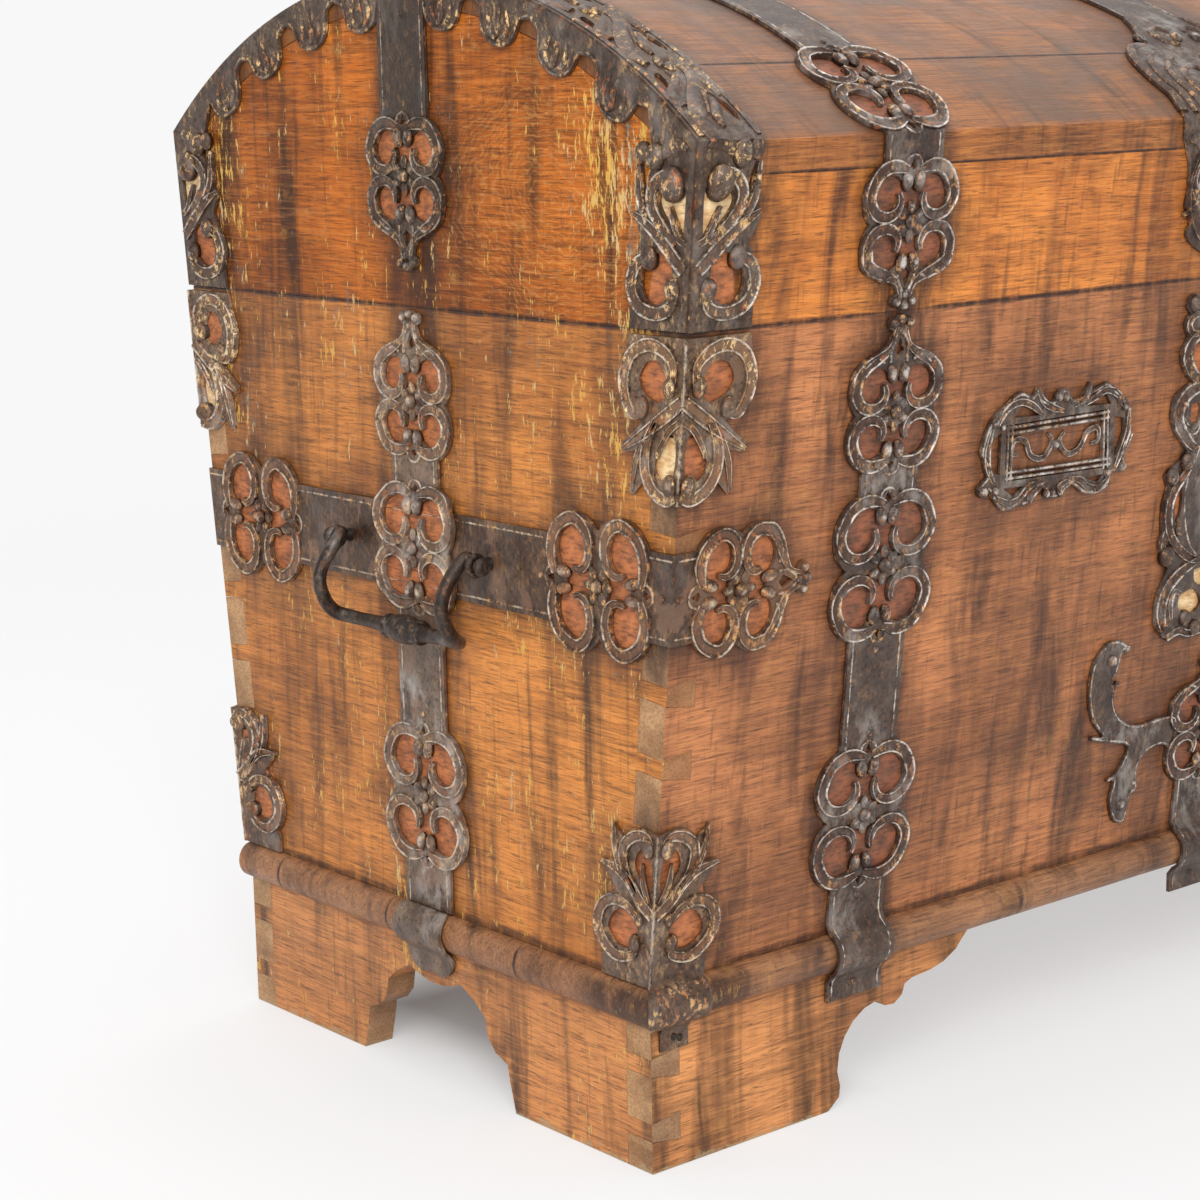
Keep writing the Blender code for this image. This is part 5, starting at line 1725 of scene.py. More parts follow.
@dataclass
class EndStraps:
    """Upright straps on the ends, over the waist straps, and the ones on the lid's ends."""

    iron: Look
    lid_iron: Look
    ground: Look

    def build(self) -> None:
        """Build both ends."""
        step, over, ramp_run = 3.3 * MM, 34 * MM, 7 * MM
        foot = SIZES.moulding_top + SIZES.gap - SIZES.seam
        for side in Side:
            path = []
            for along, lift in (
                (foot, 0.0), (-SIZES.waist - over - ramp_run, 0.0), (-SIZES.waist - over, step),
                (-SIZES.waist + over, step), (-SIZES.waist + over + ramp_run, 0.0), (0.0, 0.0),
            ):
                path.append(
                    Vector((side.value * (SIZES.half_length + lift), 0, SIZES.seam + along))
                )
            track = Track.path(path, Vector((0, side.value, 0)), zero=len(path) - 1)
            marks = [(LONG, LOWEST_MARK), (CROSSING, -SIZES.waist), (SHORT, -0.3875 * SIZES.waist)]
            whole = StrapLayout(marks, foot, None, high_tip=-1.2 * MM).build(track.folds())
            whole.finish(
                f"embossed_strap_end_{side.word}", track, "chest", self.iron,
                [f"end_strap_{side.word}"],
            )
            under = Pattern()
            OpenGrounds.patch(under, CROSSING, -SIZES.waist, track.folds())
            under.finish(
                f"red_ground_crossing_{side.word}", track, "chest", self.ground, (), "case_oak",
            )
            roll = [
                Vector((side.value * (SIZES.half_length + out), 0, height))
                for out, height in over_moulding()
            ]
            track = Track.path(roll, Vector((0, side.value, 0)))
            last = track.stations[-1][0]
            whole = Pattern()
            ragged = smooth(mm((0, 2), (14, 0), (24, 5), (29, 14), (27, 24), (31, 33), (30, 46)), 3)
            whole.sheet(both_sides([*ragged, (28 * MM, last)]), folds=track.folds())
            whole.finish(
                f"crushed_strap_foot_{side.word}", track, "chest", self.iron, (), "strap_iron",
            )
            top = SIZES.lid_side + SIZES.lid_rise - 15 * MM
            whole = StrapLayout([(SHORT, 98 * MM)], None, top, low_tip=27 * MM).build()
            whole.finish(
                f"embossed_strap_lid_end_{side.word}", end_face(side), "lid", self.lid_iron,
                [f"lid_end_strap_{side.word}"],
            )


@dataclass
class WaistStraps:
    """Level straps round the ends, wrapped on to the front."""

    iron: Look
    ground: Look
    half: float = 32.5 * MM
    inset: float = 75 * MM

    def build(self) -> None:
        """Build both straps."""
        half_depth = SIZES.seam_half - SIZES.waist * SIZES.slope
        height, span, fan = SIZES.seam - SIZES.waist, 2 * half_depth, 20 * MM
        lean = SIZES.lean
        front_out = Vector((0, -math.cos(lean), -math.sin(lean)))
        for side in Side:
            x, end_out = side.value * SIZES.half_length, Vector((side.value, 0, 0))
            front_edge, back_edge = Vector((0, -SIZES.slope, 1)), Vector((0, SIZES.slope, 1))
            track = Track([
                (-span, Vector((x, half_depth, height)), back_edge, end_out),
                (-span + fan, Vector((x, half_depth - fan, height)), Vector((0, 0, 1)), end_out),
                (-fan, Vector((x, -half_depth + fan, height)), Vector((0, 0, 1)), end_out),
                (0.0, Vector((x, -half_depth, height)), front_edge, end_out + front_out),
                (fan, Vector((x - side.value * fan, -half_depth, height)), front_edge, front_out),
                (span, Vector((x - side.value * span, -half_depth, height)), front_edge, front_out),
            ])
            marks = [(LONG, -(span - self.inset)), (LONG, -self.inset), (SHORT, 60 * MM)]
            layout = StrapLayout(marks, -span, None, high_tip=129 * MM, half=self.half)
            whole = layout.build(track.folds())
            whole.finish(
                f"embossed_strap_waist_{side.word}", track, "chest", self.iron,
                [f"waist_strap_{side.word}"],
            )
            under = Pattern()
            for mark, centre in marks:
                OpenGrounds.patch(under, mark, centre, track.folds())
            under.finish(
                f"red_ground_waist_{side.word}", track, "chest", self.ground, (), "case_oak",
            )


# Sheets of ground behind a corner iron, as height and width in millimetres
CORNER_GROUNDS = {
    "top": {
        "low": ((-108, 0), (-108, 20), (-80, 34), (-72, 34), (-72, 0)),
        "high": ((-70, 0), (-70, 34), (-52, 46), (-34, 50), (-14, 46), (-12, 0)),
    },
    "foot": {"all": ((-455, 0), (-455, 42), (-440, 50), (-415, 48), (-372, 36), (-372, 0))},
}


@dataclass
class CornerIrons:
    """Pierced irons folded over the corners, above and below."""

    iron: Look
    low_iron: Look
    grounds: Grounds

    def build(self) -> None:
        """Build all eight."""
        for side in Side:
            for front in (True, False):
                word = f"{'front' if front else 'back'}_{side.word}"
                track = corner_fold(side, front)
                for tag, draw in (("top", self.top), ("foot", self.foot)):
                    whole = draw()
                    whole.stroke(
                        [(v * MM, 0.0, 2.6 * MM) for v in self.edge_run(tag)], ROUND, 3.2 * MM, 0.8,
                        1,
                    )
                    self.ground(track, tag, word)
                    name = f"embossed_corner_{tag}_{word}"
                    look = self.iron if tag == "top" else self.low_iron
                    whole.finish(name, track, "chest", look, [f"corner_iron_{tag}_{word}"])

    def ground(self, track: Track, tag: str, word: str) -> None:
        """Red paint behind one iron, and bare wood low on the upper iron's end face.

        Args:
            track: the corner's fold.
            tag: top or foot.
            word: which corner.
        """
        for face, sign in (("front", 1), ("end", -1)):
            for part, edge in CORNER_GROUNDS[tag].items():
                under = Pattern()
                under.ground([(h * MM, sign * w * MM) for h, w in edge])
                look = self.grounds.bare if (part, face) == ("low", "end") else self.grounds.red
                under.finish(
                    f"{part}_ground_{tag}_{word}_{face}", track, "chest", look, (), "case_oak",
                )

    @property
    def sole(self) -> float:
        """Lower end of the low irons along the lean, in millimetres."""
        return 1 - 472 / math.cos(SIZES.lean)

    def edge_run(self, tag: str) -> list[float]:
        """Distances along the case's edge that the folded rim covers, in millimetres."""
        low, length = (-118, 115) if tag == "top" else (self.sole, 116)
        return [low + length * step / 12 for step in range(13)]

    def both_leaves(
        self, side: Sequence[Point], holes: Sequence[Sequence[Point]], strokes: Sequence[tuple],
        beads: Sequence[tuple],
    ) -> Pattern:
        """Draw one face's half and mirror it over the fold.

        Args:
            side: outline as height and width in millimetres.
            holes: openings.
            strokes: lines of height and width with their half widths.
            beads: height, width and radius of each boss.

        Returns:
            The pattern.
        """
        whole = Pattern()
        outline = mm(*side) + [(h * MM, -w * MM) for h, w in reversed(side) if w > 0]
        openings = []
        for shape in holes:
            ring = ring_through(mm(*shape), 4)
            openings += [ring, [(h, -w) for h, w in ring]]
        whole.sheet(outline, openings, folds=[0.0])
        for sign in (-1, 1):
            for line, widths in strokes:
                whole.scroll([(h * MM, sign * w * MM) for h, w in line], widths, steps=4)
            for height, width, radius in beads:
                whole.bead(
                    height * MM, sign * width * MM,
                    (radius * 1.2 * MM, radius * MM, radius * 0.9 * MM), rub=0.55,
                )
        return whole

    def top(self) -> Pattern:
        """Upper iron: a scroll, a leaf that points out and a half heart.

        Returns:
            The pattern.
        """
        side = [
            (-119, 0), (-117, 12), (-112, 24), (-104, 34), (-116, 45), (-96, 43), (-82, 38),
            (-86, 56), (-79, 58), (-70, 46), (-62, 38), (-58, 48), (-46, 60), (-30, 62), (-18, 56),
            (-15, 59), (-3, 57), (-3, 0),
        ]
        holes = [
            [(-49, 24), (-44, 37), (-34, 44), (-22, 38), (-20, 26), (-30, 18), (-42, 16)],
            [(-104, 7), (-102, 18), (-92, 24), (-80, 20), (-68, 9), (-84, 4)],
        ]
        strokes = [
            (
                (
                    (-37, 11), (-22, 11), (-12, 22), (-9, 37), (-16, 52), (-32, 59), (-48, 56),
                    (-58, 48), (-56, 39),
                ),
                (2.6, 3.8, 4.8, 5.2, 5.2, 5.2, 4.8, 4, 2.6),
            ),
            (((-46, 2), (-55, 14), (-65, 28), (-75, 43), (-84, 58)), (5, 5.5, 5, 3.6, 1.4)),
            (
                ((-62, 26), (-78, 33), (-96, 33), (-109, 25), (-115, 12), (-112, 3)),
                (3, 4.6, 5, 5, 4.8, 3.4),
            ),
            (((-74, 36), (-92, 43), (-113, 46)), (2.6, 2.8, 1.2)),
            (((-60, 3), (-67, 12), (-82, 21), (-87, 22)), (2.4, 2.6, 2, 1.2)),
        ]
        return self.both_leaves(side, holes, strokes, [(-37, 14, 6.5), (-53, 40, 7), (-105, 9, 7)])

    def foot(self) -> Pattern:
        """Lower iron: a plain clasp end, two scrolls and a leaf crown.

        Returns:
            The pattern.
        """
        low = self.sole
        shape = (
            (0, 0), (0, 50), (14, 52), (20, 46), (24, 54), (36, 61), (50, 58), (60, 47), (68, 40),
            (74, 46), (86, 58), (80, 42), (92, 40), (104, 46), (116, 46), (108, 36), (112, 22),
            (118, 10), (116, 0),
        )
        holes = [
            [(26, 20), (25, 34), (34, 46), (46, 44), (54, 34), (50, 20), (38, 15)],
            [(64, 6), (76, 14), (90, 22), (102, 18), (104, 8), (84, 4)],
        ]
        strokes = [
            (
                (
                    (48, 14), (58, 26), (60, 42), (52, 54), (38, 57), (26, 50), (18, 36), (22, 20),
                    (30, 17),
                ),
                (2.4, 3.6, 4.6, 5, 5, 5, 4.6, 3.6, 2.4),
            ),
            (((56, 2), (64, 14), (76, 26), (84, 40), (86, 58)), (4.5, 5.2, 4.6, 3.6, 1.2)),
            (
                ((70, 20), (86, 32), (102, 34), (112, 24), (114, 12), (108, 6)),
                (3, 4.4, 4.8, 4.6, 3.8, 2.4),
            ),
            (((84, 36), (100, 43), (117, 46)), (3, 3, 1.2)),
            (((62, 4), (78, 12), (92, 14)), (2, 3, 1.4)),
        ]
        shifted = [(low + h, w) for h, w in shape]
        lifted = [[(low + h, w) for h, w in hole] for hole in holes]
        drawn = [(tuple((low + h, w) for h, w in line), widths) for line, widths in strokes]
        return self.both_leaves(
            shifted, lifted, drawn, [(low + 31, 18, 6), (low + 50, 15, 4.5), (low + 105, 10, 6.5)],
        )


@dataclass
class LidEdgeIrons:
    """Iron over the lid's ends: a carved band, a lobed fringe and two legs."""

    iron: Look
    grounds: Grounds

    def build(self) -> None:
        """Build both ends."""
        for side in Side:
            self.fringe(side)
            self.wrap(side)
            self.ground(side)

    def ground(self, side: Side) -> None:
        """Wood behind the openings: bare in the legs' upper ones, painted below and on the dome.

        Args:
            side: end of the chest.
        """
        track = Track.path(lid_path(), Vector((1, 0, 0)))
        turn, back = track.stations[1][0], track.stations[-2][0]
        for tag, look, low, high in (
            ("red", self.grounds.red, 12, 57), ("bare", self.grounds.bare, 58, 100),
        ):
            face, over = Pattern(), Pattern()
            for sign in (-1, 1):
                ring = [(w * MM, h * MM) for w, h in ((3, low), (42, low), (36, high), (3, high))]
                face.ground([(sign * (SIZES.seam_half + h * SIZES.slope - w), h) for w, h in ring])
                ring = [
                    (side.value * (SIZES.half_length - w), turn + back - h if sign > 0 else h)
                    for w, h in ring
                ]
                over.ground(ring)
            face.finish(
                f"{tag}_ground_leg_end_{side.word}", end_face(side), "lid", look, (), "lid_top_oak",
            )
            over.finish(
                f"{tag}_ground_leg_front_{side.word}", track, "lid", look, (), "lid_top_oak",
            )
        belt = Pattern()
        near, far = (side.value * (SIZES.half_length - w * MM) for w in (6, 53))
        low, high = turn + 8 * MM, back - 8 * MM
        belt.ground([(near, low), (far, low), (far, high), (near, high)], folds=track.folds())
        belt.finish(
            f"dark_ground_band_{side.word}", track, "lid", self.grounds.dark, (), "lid_top_oak",
        )

    def fringe(self, side: Side) -> None:
        """Lobes that hang on the end from the dome's edge, and the legs.

        Args:
            side: end of the chest.
        """
        crease = 1.8 * MM
        rise = SIZES.dome_centre - SIZES.seam

        def on_dome(angle: float, depth: float) -> Point:
            """Point inside the dome's edge."""
            radius = SIZES.dome_radius - depth
            return (radius * math.sin(angle), rise + radius * math.cos(angle))

        outside = [on_dome(SIZES.dome_angle * (1 - 2 * step / 64), -crease) for step in range(65)]
        lobe = (
            (-2.9, 13), (-2.5, 18), (-2.35, 24), (-2.0, 31), (-1.2, 36), (0, 38), (1.2, 36),
            (2.0, 31), (2.35, 24), (2.5, 18), (2.9, 13), (4, 9.5),
        )
        centres = (-30, -22, -14, -6, 6, 14, 22, 30)
        inside = [
            on_dome(math.radians(c + turn), depth * MM) for c in centres for turn, depth in lobe
        ]
        legs = []
        for width, height in (
            (40, 112), (44, 104), (43, 92), (57, 77), (48, 62), (57, 42), (52, 24), (56, 14),
            (56, 1),
        ):
            edge = SIZES.seam_half + height * MM * SIZES.slope
            legs.append((edge - width * MM, height * MM))
        foot = (SIZES.seam_half + crease, 1 * MM)
        outline = [foot, *outside, (-foot[0], foot[1])]
        outline += [(-x, y) for x, y in legs][::-1] + inside + legs
        whole = Pattern()
        holes = []
        for shape in self.leg_holes():
            for sign in (-1, 1):
                ring = [(sign * (SIZES.seam_half + h * SIZES.slope - w), h) for w, h in shape]
                holes.append(ring)
        whole.sheet(outline, holes)
        for centre in centres:
            self.lobe(whole, on_dome, math.radians(centre))
        rim = [
            (*on_dome(math.radians(c + turn), (depth - 1.8) * MM), 1.5 * MM)
            for c in centres
            for turn, depth in lobe
        ]
        whole.stroke(rim, ROUND, lift=1.4, shine=0.65)
        for sign in (-1, 1):
            self.leg(
                whole, lambda w, h,
                s=sign: (s * (SIZES.seam_half + h * MM * SIZES.slope - w * MM), h * MM),
            )
        whole.finish(
            f"embossed_fringe_lid_{side.word}", end_face(side), "lid", self.iron,
            [f"lid_edge_iron_{side.word}"],
        )

    def lobe(self, whole: Pattern, place: Callable[[float, float], Point], centre: float) -> None:
        """Acanthus tip on one tongue of the fringe.

        Args:
            whole: pattern to add to.
            place: turns an angle and a depth into a point.
            centre: angle of the tongue's middle.
        """
        leaves = (
            ((0, 33, 1.6), (0.1, 26, 3), (-0.1, 18, 2.8), (0, 8, 1)),
            ((0.3, 33, 1.4), (1.2, 27, 2.6), (1.3, 20, 2.4), (0.9, 11, 1)),
            ((-0.3, 33, 1.4), (-1.2, 27, 2.6), (-1.3, 20, 2.4), (-0.9, 11, 1)),
        )
        for leaf in leaves:
            points = [
                (*place(centre + math.radians(turn), depth * MM), half * MM)
                for turn, depth, half in leaf
            ]
            whole.stroke(points, SWOLLEN, shine=0.8)
        x, y = place(centre, 31 * MM)
        whole.bead(x, y, (2.8 * MM, 2.8 * MM, 3.2 * MM), rub=0.8, segments=8)

    @staticmethod
    def leg_holes() -> list[list[Point]]:
        """Openings of a leg as width from the corner and height.

        Returns:
            The upper and the lower opening.
        """
        upper = mm((6, 62), (15, 67), (27, 78), (33, 88), (28, 96), (16, 93), (6, 96))
        lower = mm((14, 31), (23, 20), (38, 19), (46, 32), (42, 46), (30, 53), (17, 48))
        return [ring_through(shape, 4) for shape in (upper, lower)]

    def leg(self, whole: Pattern, place: Callable[[float, float], Point]) -> None:
        """Scrolls of a leg, drawn as width from the corner and height.

        Args:
            whole: pattern to add to.
            place: turns a width and a height into a point.
        """
        strokes = (
            (
                ((40, 50), (51, 44), (55, 30), (47, 17), (30, 12), (15, 16), (10, 28), (12, 36)),
                (4, 5, 5.4, 5.4, 5.2, 4.8, 3.6, 2.2),
            ),
            (((3, 42), (16, 53), (30, 64), (44, 73), (57, 79)), (5, 5.5, 4.8, 3.8, 1.6)),
            (
                ((12, 60), (28, 72), (38, 84), (38, 96), (28, 104), (14, 106)),
                (3, 4.6, 5, 5, 4.6, 3),
            ),
            (((40, 74), (50, 88), (54, 112)), (3.4, 3.6, 1.6)),
            (((3, 60), (10, 64), (18, 78), (21, 84)), (2.4, 2.6, 2, 1.2)),
        )
        for line, widths in strokes:
            whole.scroll([place(w, h) for w, h in line], widths, steps=4)
        for width, height, radius, rub in (
            (13, 29, 7, 0.8), (38, 49, 7.5, 0.5), (18, 99, 11, 0.4), (37, 117, 8.5, 0.55),
            (50, 120, 6.5, 0.5),
        ):
            x, y = place(width, height)
            whole.bead(
                x, y, (radius * MM, radius * 1.15 * MM, radius * 0.85 * MM), rub=rub, segments=16,
            )
        whole.stroke(
            [
                (*place(w, h), half * MM)
                for w, h, half in ((6, 122, 2), (16, 125, 4.5), (28, 121, 5), (36, 114, 3))
            ],
            SWOLLEN, shine=0.5,
        )

    def wrap(self, side: Side) -> None:
        """Band over the dome and down the front and back.

        Args:
            side: end of the chest.
        """
        track = Track.path(lid_path(), Vector((1, 0, 0)))
        arris, back = track.stations[1][0], track.stations[-2][0]
        sign = side.value

        def place(width: float, along: float, rear: bool = False) -> Point:
            """Point from the width off the end and the distance along, in millimetres."""
            v = along * MM
            return (sign * (SIZES.half_length - width * MM), arris + back - v if rear else v)

        leg = (
            (56, 1), (56, 14), (52, 24), (57, 42), (48, 58), (58, 75), (44, 90), (46, 104),
            (56, 122),
        )
        front = [place(w, h) for w, h in leg]
        rear = [place(w, h, True) for w, h in reversed(leg)]
        belt = []
        count = 40
        for step in range(count + 1):
            along = arris / MM + 6 + (back - arris - 12 * MM) / MM * step / count
            belt.append(place(58 + 2.5 * math.cos(step * math.tau / 5), along))
        outline = [place(-1.8, 1), *front, *belt, *rear, place(-1.8, 1, True)]
        holes = []
        for shape in self.leg_holes():
            for is_rear in (False, True):
                holes.append([place(w / MM, h / MM, is_rear) for w, h in shape])
        start, end = arris / MM + 8, back / MM - 8
        pitch = (end - start) / 8
        for index in range(8):
            for shape in (((49, 0.1), (51, 0.24), (47, 0.42), (39, 0.54), (40, 0.36), (44, 0.2)),
                          ((10, 0.5), (16, 0.62), (17, 0.76), (11, 0.73), (8, 0.6))):
                holes.append(
                    [
                        place(w, start + (index + share) * pitch)
                        for w, share in ring_through(shape, 3)
                    ]
                )
        whole = Pattern()
        whole.sheet(outline, holes, folds=track.folds())
        for is_rear in (False, True):
            self.leg(whole, lambda w, h, r=is_rear: place(w, h, r))
        for index in range(8):
            self.leafage(whole, place, start + index * pitch, pitch)
        steps = 110
        for width, half in ((3.4, 3.2), (55.0, 2.6)):
            rail = [
                (*place(width, start - 4 + (end + 8 - start) * k / steps), half * MM)
                for k in range(steps + 1)
            ]
            whole.stroke(rail, ROUND, 3 * MM, 1.5, 1, 0.5)
        whole.finish(
            f"embossed_band_lid_{side.word}", track, "lid", self.iron,
            [f"lid_edge_iron_{side.word}"],
        )

    def leafage(
        self, whole: Pattern, place: Callable[[float, float], Point], start: float, pitch: float,
    ) -> None:
        """One leaf of the running scroll over the dome.

        Args:
            whole: pattern to add to.
            place: turns a width and a distance into a point.
            start: distance along of the leaf's start.
            pitch: distance from leaf to leaf.
        """
        strokes = (
            (
                (14, -0.12, 4.5), (12, 0.04, 7), (18, 0.22, 8.5), (29, 0.42, 8), (40, 0.6, 7),
                (45, 0.78, 6), (40, 0.94, 5.4), (29, 0.95, 4.4), (25, 0.84, 3),
            ),
            ((10, 0.3, 4), (9, 0.44, 5), (19, 0.56, 4.6), (27, 0.68, 3.6), (24, 0.78, 1.6)),
            ((30, 0.04, 2), (31, 0.16, 4.5), (38, 0.3, 4.4), (38, 0.44, 1.6)),
            ((50, 0.42, 2), (50, 0.56, 3.6), (51, 0.76, 3.8), (50, 0.98, 1.6)),
            ((24, 0.18, 1.2), (33, 0.38, 1.6), (41, 0.58, 1.2)),
        )
        for index, line in enumerate(strokes):
            points = [(*place(w, start + share * pitch), half * MM) for w, share, half in line]
            whole.stroke(points, SWOLLEN, 3.1 * MM if index < 4 else 5.2 * MM, 1.1, 4, 0.4)
        x, y = place(31, start + 0.83 * pitch)
        whole.bead(x, y, (5 * MM, 5 * MM, 4.4 * MM), segments=10, rub=0.4)


@dataclass
class FrontPlates:
    """Lock plate in the middle and the framed plate on the left."""

    iron: Look
    grounds: Grounds
    frame: tuple[Point, ...] = (
        (-63, 36), (-52, 44), (-43, 45), (-32, 41), (-28, 47), (-22, 38), (-8, 35), (-3, 43),
        (8, 42), (14, 34), (27, 37), (32, 46), (36, 39), (53, 44), (66, 36), (78, 28), (86, 17),
        (86, 4), (89, -1), (80, -15), (86, -24), (80, -30), (69, -30), (66, -41), (51, -46),
        (34, -42), (21, -34), (11, -42), (-3, -42), (-12, -32), (-22, -34), (-28, -44), (-39, -44),
        (-56, -46), (-68, -36), (-74, -28), (-82, -33), (-87, -25), (-78, -18), (-78, -10),
        (-86, 1), (-84, 12), (-79, 24), (-72, 31),
    )

    def build(self) -> None:
        """Build both plates."""
        self.lock_plate()
        self.framed_plate()

    def lock_plate(self) -> None:
        """Tall plate with leafy edges round a plain key field."""
        side = mm(
            (8, -303), (14, -300), (35, -302), (50, -297), (67, -297), (80, -283), (80, -266),
            (76, -250), (71, -237), (82, -223), (83, -207), (86, -183), (82, -168), (87, -158),
            (73, -149), (61, -141), (79, -124), (87, -108), (83, -92), (63, -82), (76, -74),
            (81, -58), (75, -47), (81, -38), (73, -30), (81, -22), (76, -12), (64, -14), (52, -24),
            (36, -16), (22, -6), (8, -3),
        )
        holes = [arc((0, -0.2), 5 * MM, -60, 240, 20) + [(-2.5 * MM, -0.217), (2.5 * MM, -0.217)]]
        openings = (
            ((66, -52), (57, -49), (52, -66), (53, -79), (60, -74), (67, -63)),
            ((63, -102), (54, -100), (49, -108), (52, -117), (61, -116)),
            ((64, -166), (70, -177), (70, -190), (66, -201), (62, -190), (62, -176)),
            ((36, -243), (24, -243), (21, -258), (34, -253)),
            ((52, -263), (34, -259), (22, -273), (34, -281), (51, -275)),
        )
        for shape in openings:
            ring = ring_through(mm(*shape), 3)
            holes += [ring, [(-x, y) for x, y in ring]]
        whole = Pattern()
        whole.sheet(both_sides(smooth(side, 2)), holes)
        strokes = (
            (((60, -26), (73, -29), (78, -35), (74, -42), (64, -44)), (2, 3, 3.4, 3, 2)),
            (
                ((60, -43), (71, -49), (76, -60), (71, -71), (61, -80), (48, -85)),
                (3.5, 5, 6, 5.6, 4.6, 2.6),
            ),
            (
                (
                    (46, -87), (58, -88), (70, -92), (78, -101), (79, -112), (73, -122), (62, -133),
                    (50, -140),
                ),
                (3, 5, 6.4, 6.6, 6.2, 5.6, 4.6, 3),
            ),
            (((74, -112), (66, -121), (56, -124), (50, -117)), (2.4, 3, 2.8, 1.6)),
            (
                (
                    (57, -153), (66, -162), (75, -172), (79, -185), (77, -201), (70, -213),
                    (55, -226), (40, -233), (24, -235),
                ),
                (3, 4.4, 5, 5, 4.6, 4.4, 4.2, 3.6, 2),
            ),
            (((80, -205), (82, -216), (76, -226)), (2, 3, 2)),
            (
                ((36, -235), (52, -241), (66, -250), (74, -262), (75, -276), (69, -291)),
                (3, 5, 6, 6.2, 5.6, 3.6),
            ),
            (((50, -262), (60, -258), (64, -268), (60, -282)), (1.6, 2.6, 2.8, 1.6)),
            (((64, -297), (50, -293), (36, -297), (20, -296), (8, -299)), (3, 3.4, 3.2, 3.4, 2)),
            (((8, -8), (26, -14), (40, -22), (50, -34), (54, -48)), (2, 3.4, 4, 3.6, 2)),
        )
        for sign in (-1, 1):
            for line, widths in strokes:
                whole.scroll(mm(*line, sign=sign), widths, steps=4)
            rim = smooth(
                mm(
                    (44, -86), (40, -110), (47, -141), (55, -156), (59, -175), (55, -199),
                    (45, -221), (25, -237), (6, -240),
                ),
                3,
            )
            whole.wire([(sign * x, y) for x, y in rim], 1.5 * MM)
            for x, y, r, rub in (
                (73, -19, 6.5, 0.8), (71, -101, 3.5, 0.9), (62, -149, 7, 0.8), (79, -159, 7, 0.8),
                (62, -206, 5, 0.8), (75, -226, 8.5, 0.35), (43, -283, 6.5, 0.35),
                (29, -293, 6.5, 0.35), (67, -287, 3.5, 0.9), (14, -16, 5, 0.6),
            ):
                whole.bead(sign * x * MM, y * MM, (r * MM, r * 1.1 * MM, r * 0.85 * MM), rub=rub)
            for tag, look, patches in (
                (
                    "red", self.grounds.red,
                    (
                        ((46, -46), (70, -50), (70, -80), (48, -84)),
                        ((46, -97), (67, -97), (67, -121), (46, -121)),
                        ((60, -162), (73, -170), (73, -205), (60, -205)),
                    ),
                ),
                ("bare", self.grounds.bare, (((16, -238), (60, -238), (58, -285), (16, -285)),)),
            ):
                under = Pattern()
                for patch in patches:
                    under.ground(mm(*patch, sign=sign))
                word = "left" if sign < 0 else "right"
                under.finish(
                    f"{tag}_ground_lock_{word}", front_face(), "chest", look, (), "case_oak",
                )
        whole.finish("embossed_lock_plate", front_face(), "chest", self.iron, ["lock_plate"])

    def framed_plate(self) -> None:
        """Scrolled frame with a plain field that holds only a small scroll."""
        centre = (-0.55 * SIZES.strap_x, -0.117)
        rim = [(x * MM + centre[0], y * MM + centre[1]) for x, y in self.frame]
        opening = mm((-60, 21), (59, 22), (65, -25), (-57, -23))
        gaps = [
            [(-65, 16), (-73, 12), (-78, -1), (-72, -14), (-63, -17)],
            [(66, 16), (77, 13), (79, 2), (76, -10), (70, -18)],
            [(-52, 26), (-44, 36), (-30, 34), (-18, 25)], [(30, 27), (40, 34), (52, 36), (60, 26)],
            [(-58, -28), (-46, -36), (-32, -29)], [(38, -31), (52, -36), (60, -30)],
        ]
        holes = [moved(opening, *centre)] + [moved(mm(*gap), *centre) for gap in gaps]
        whole = Pattern()
        rim = ring_through(rim, 2)
        whole.sheet(rim, holes)
        whole.wire(inset(rim, -2.0 * MM), 1.5 * MM, lift=1.2)
        for start, end in zip(opening, opening[1:] + opening[:1]):
            for share in (0.0, 4.6 * MM):
                line = inset([start, end], -2.2 * MM - share, closed=False)
                line = [
                    (
                        line[0][0] + (line[1][0] - line[0][0]) * k / 6,
                        line[0][1] + (line[1][1] - line[0][1]) * k / 6,
                    )
                    for k in range(7)
                ]
                whole.wire(moved(line, *centre), 1.4 * MM, lift=1.2)
        strokes = (
            ((-70, 22), (-62, 34), (-48, 38), (-34, 34), (-20, 25)),
            ((-28, 46), (-22, 36), (-10, 30), (4, 26)),
            ((74, 24), (66, 33), (52, 38), (40, 34), (26, 28)), ((33, 45), (28, 35), (16, 29)),
            ((-76, 20), (-80, 4), (-78, -10), (-70, -22)),
            ((82, 20), (82, 2), (76, -14), (72, -26)), ((88, 0), (82, -8), (78, -18)),
            ((-66, -34), (-52, -40), (-40, -38), (-30, -30), (-16, -27)),
            ((-27, -43), (-22, -34), (-10, -29)),
            ((66, -32), (54, -40), (40, -38), (30, -31), (16, -29)),
            ((10, -42), (6, -34), (18, -30)),
        )
        for line in strokes:
            halves = [1.6 if i in (0, len(line) - 1) else 2.9 for i in range(len(line))]
            whole.scroll(moved(mm(*line), *centre), halves, steps=4)
        beads = (
            (-4, 38, 4.5), (5, 36, 3.2), (-74, 25, 4), (70, 29, 4), (77, 22, 3.5), (-81, -28, 5),
            (62, -29, 4.2), (-67, -29, 4.2), (80, -26, 4.5), (-8, -38, 3.8), (-1, -38, 3.2),
            (-64, 20, 3),
        )
        for x, y, r in beads:
            whole.bead(
                centre[0] + x * MM, centre[1] + y * MM, (r * MM, r * MM, r * 0.85 * MM),
                segments=10,
            )
        self.field_scroll(whole, centre)
        whole.finish("embossed_framed_plate", front_face(), "chest", self.iron, ["framed_plate"])

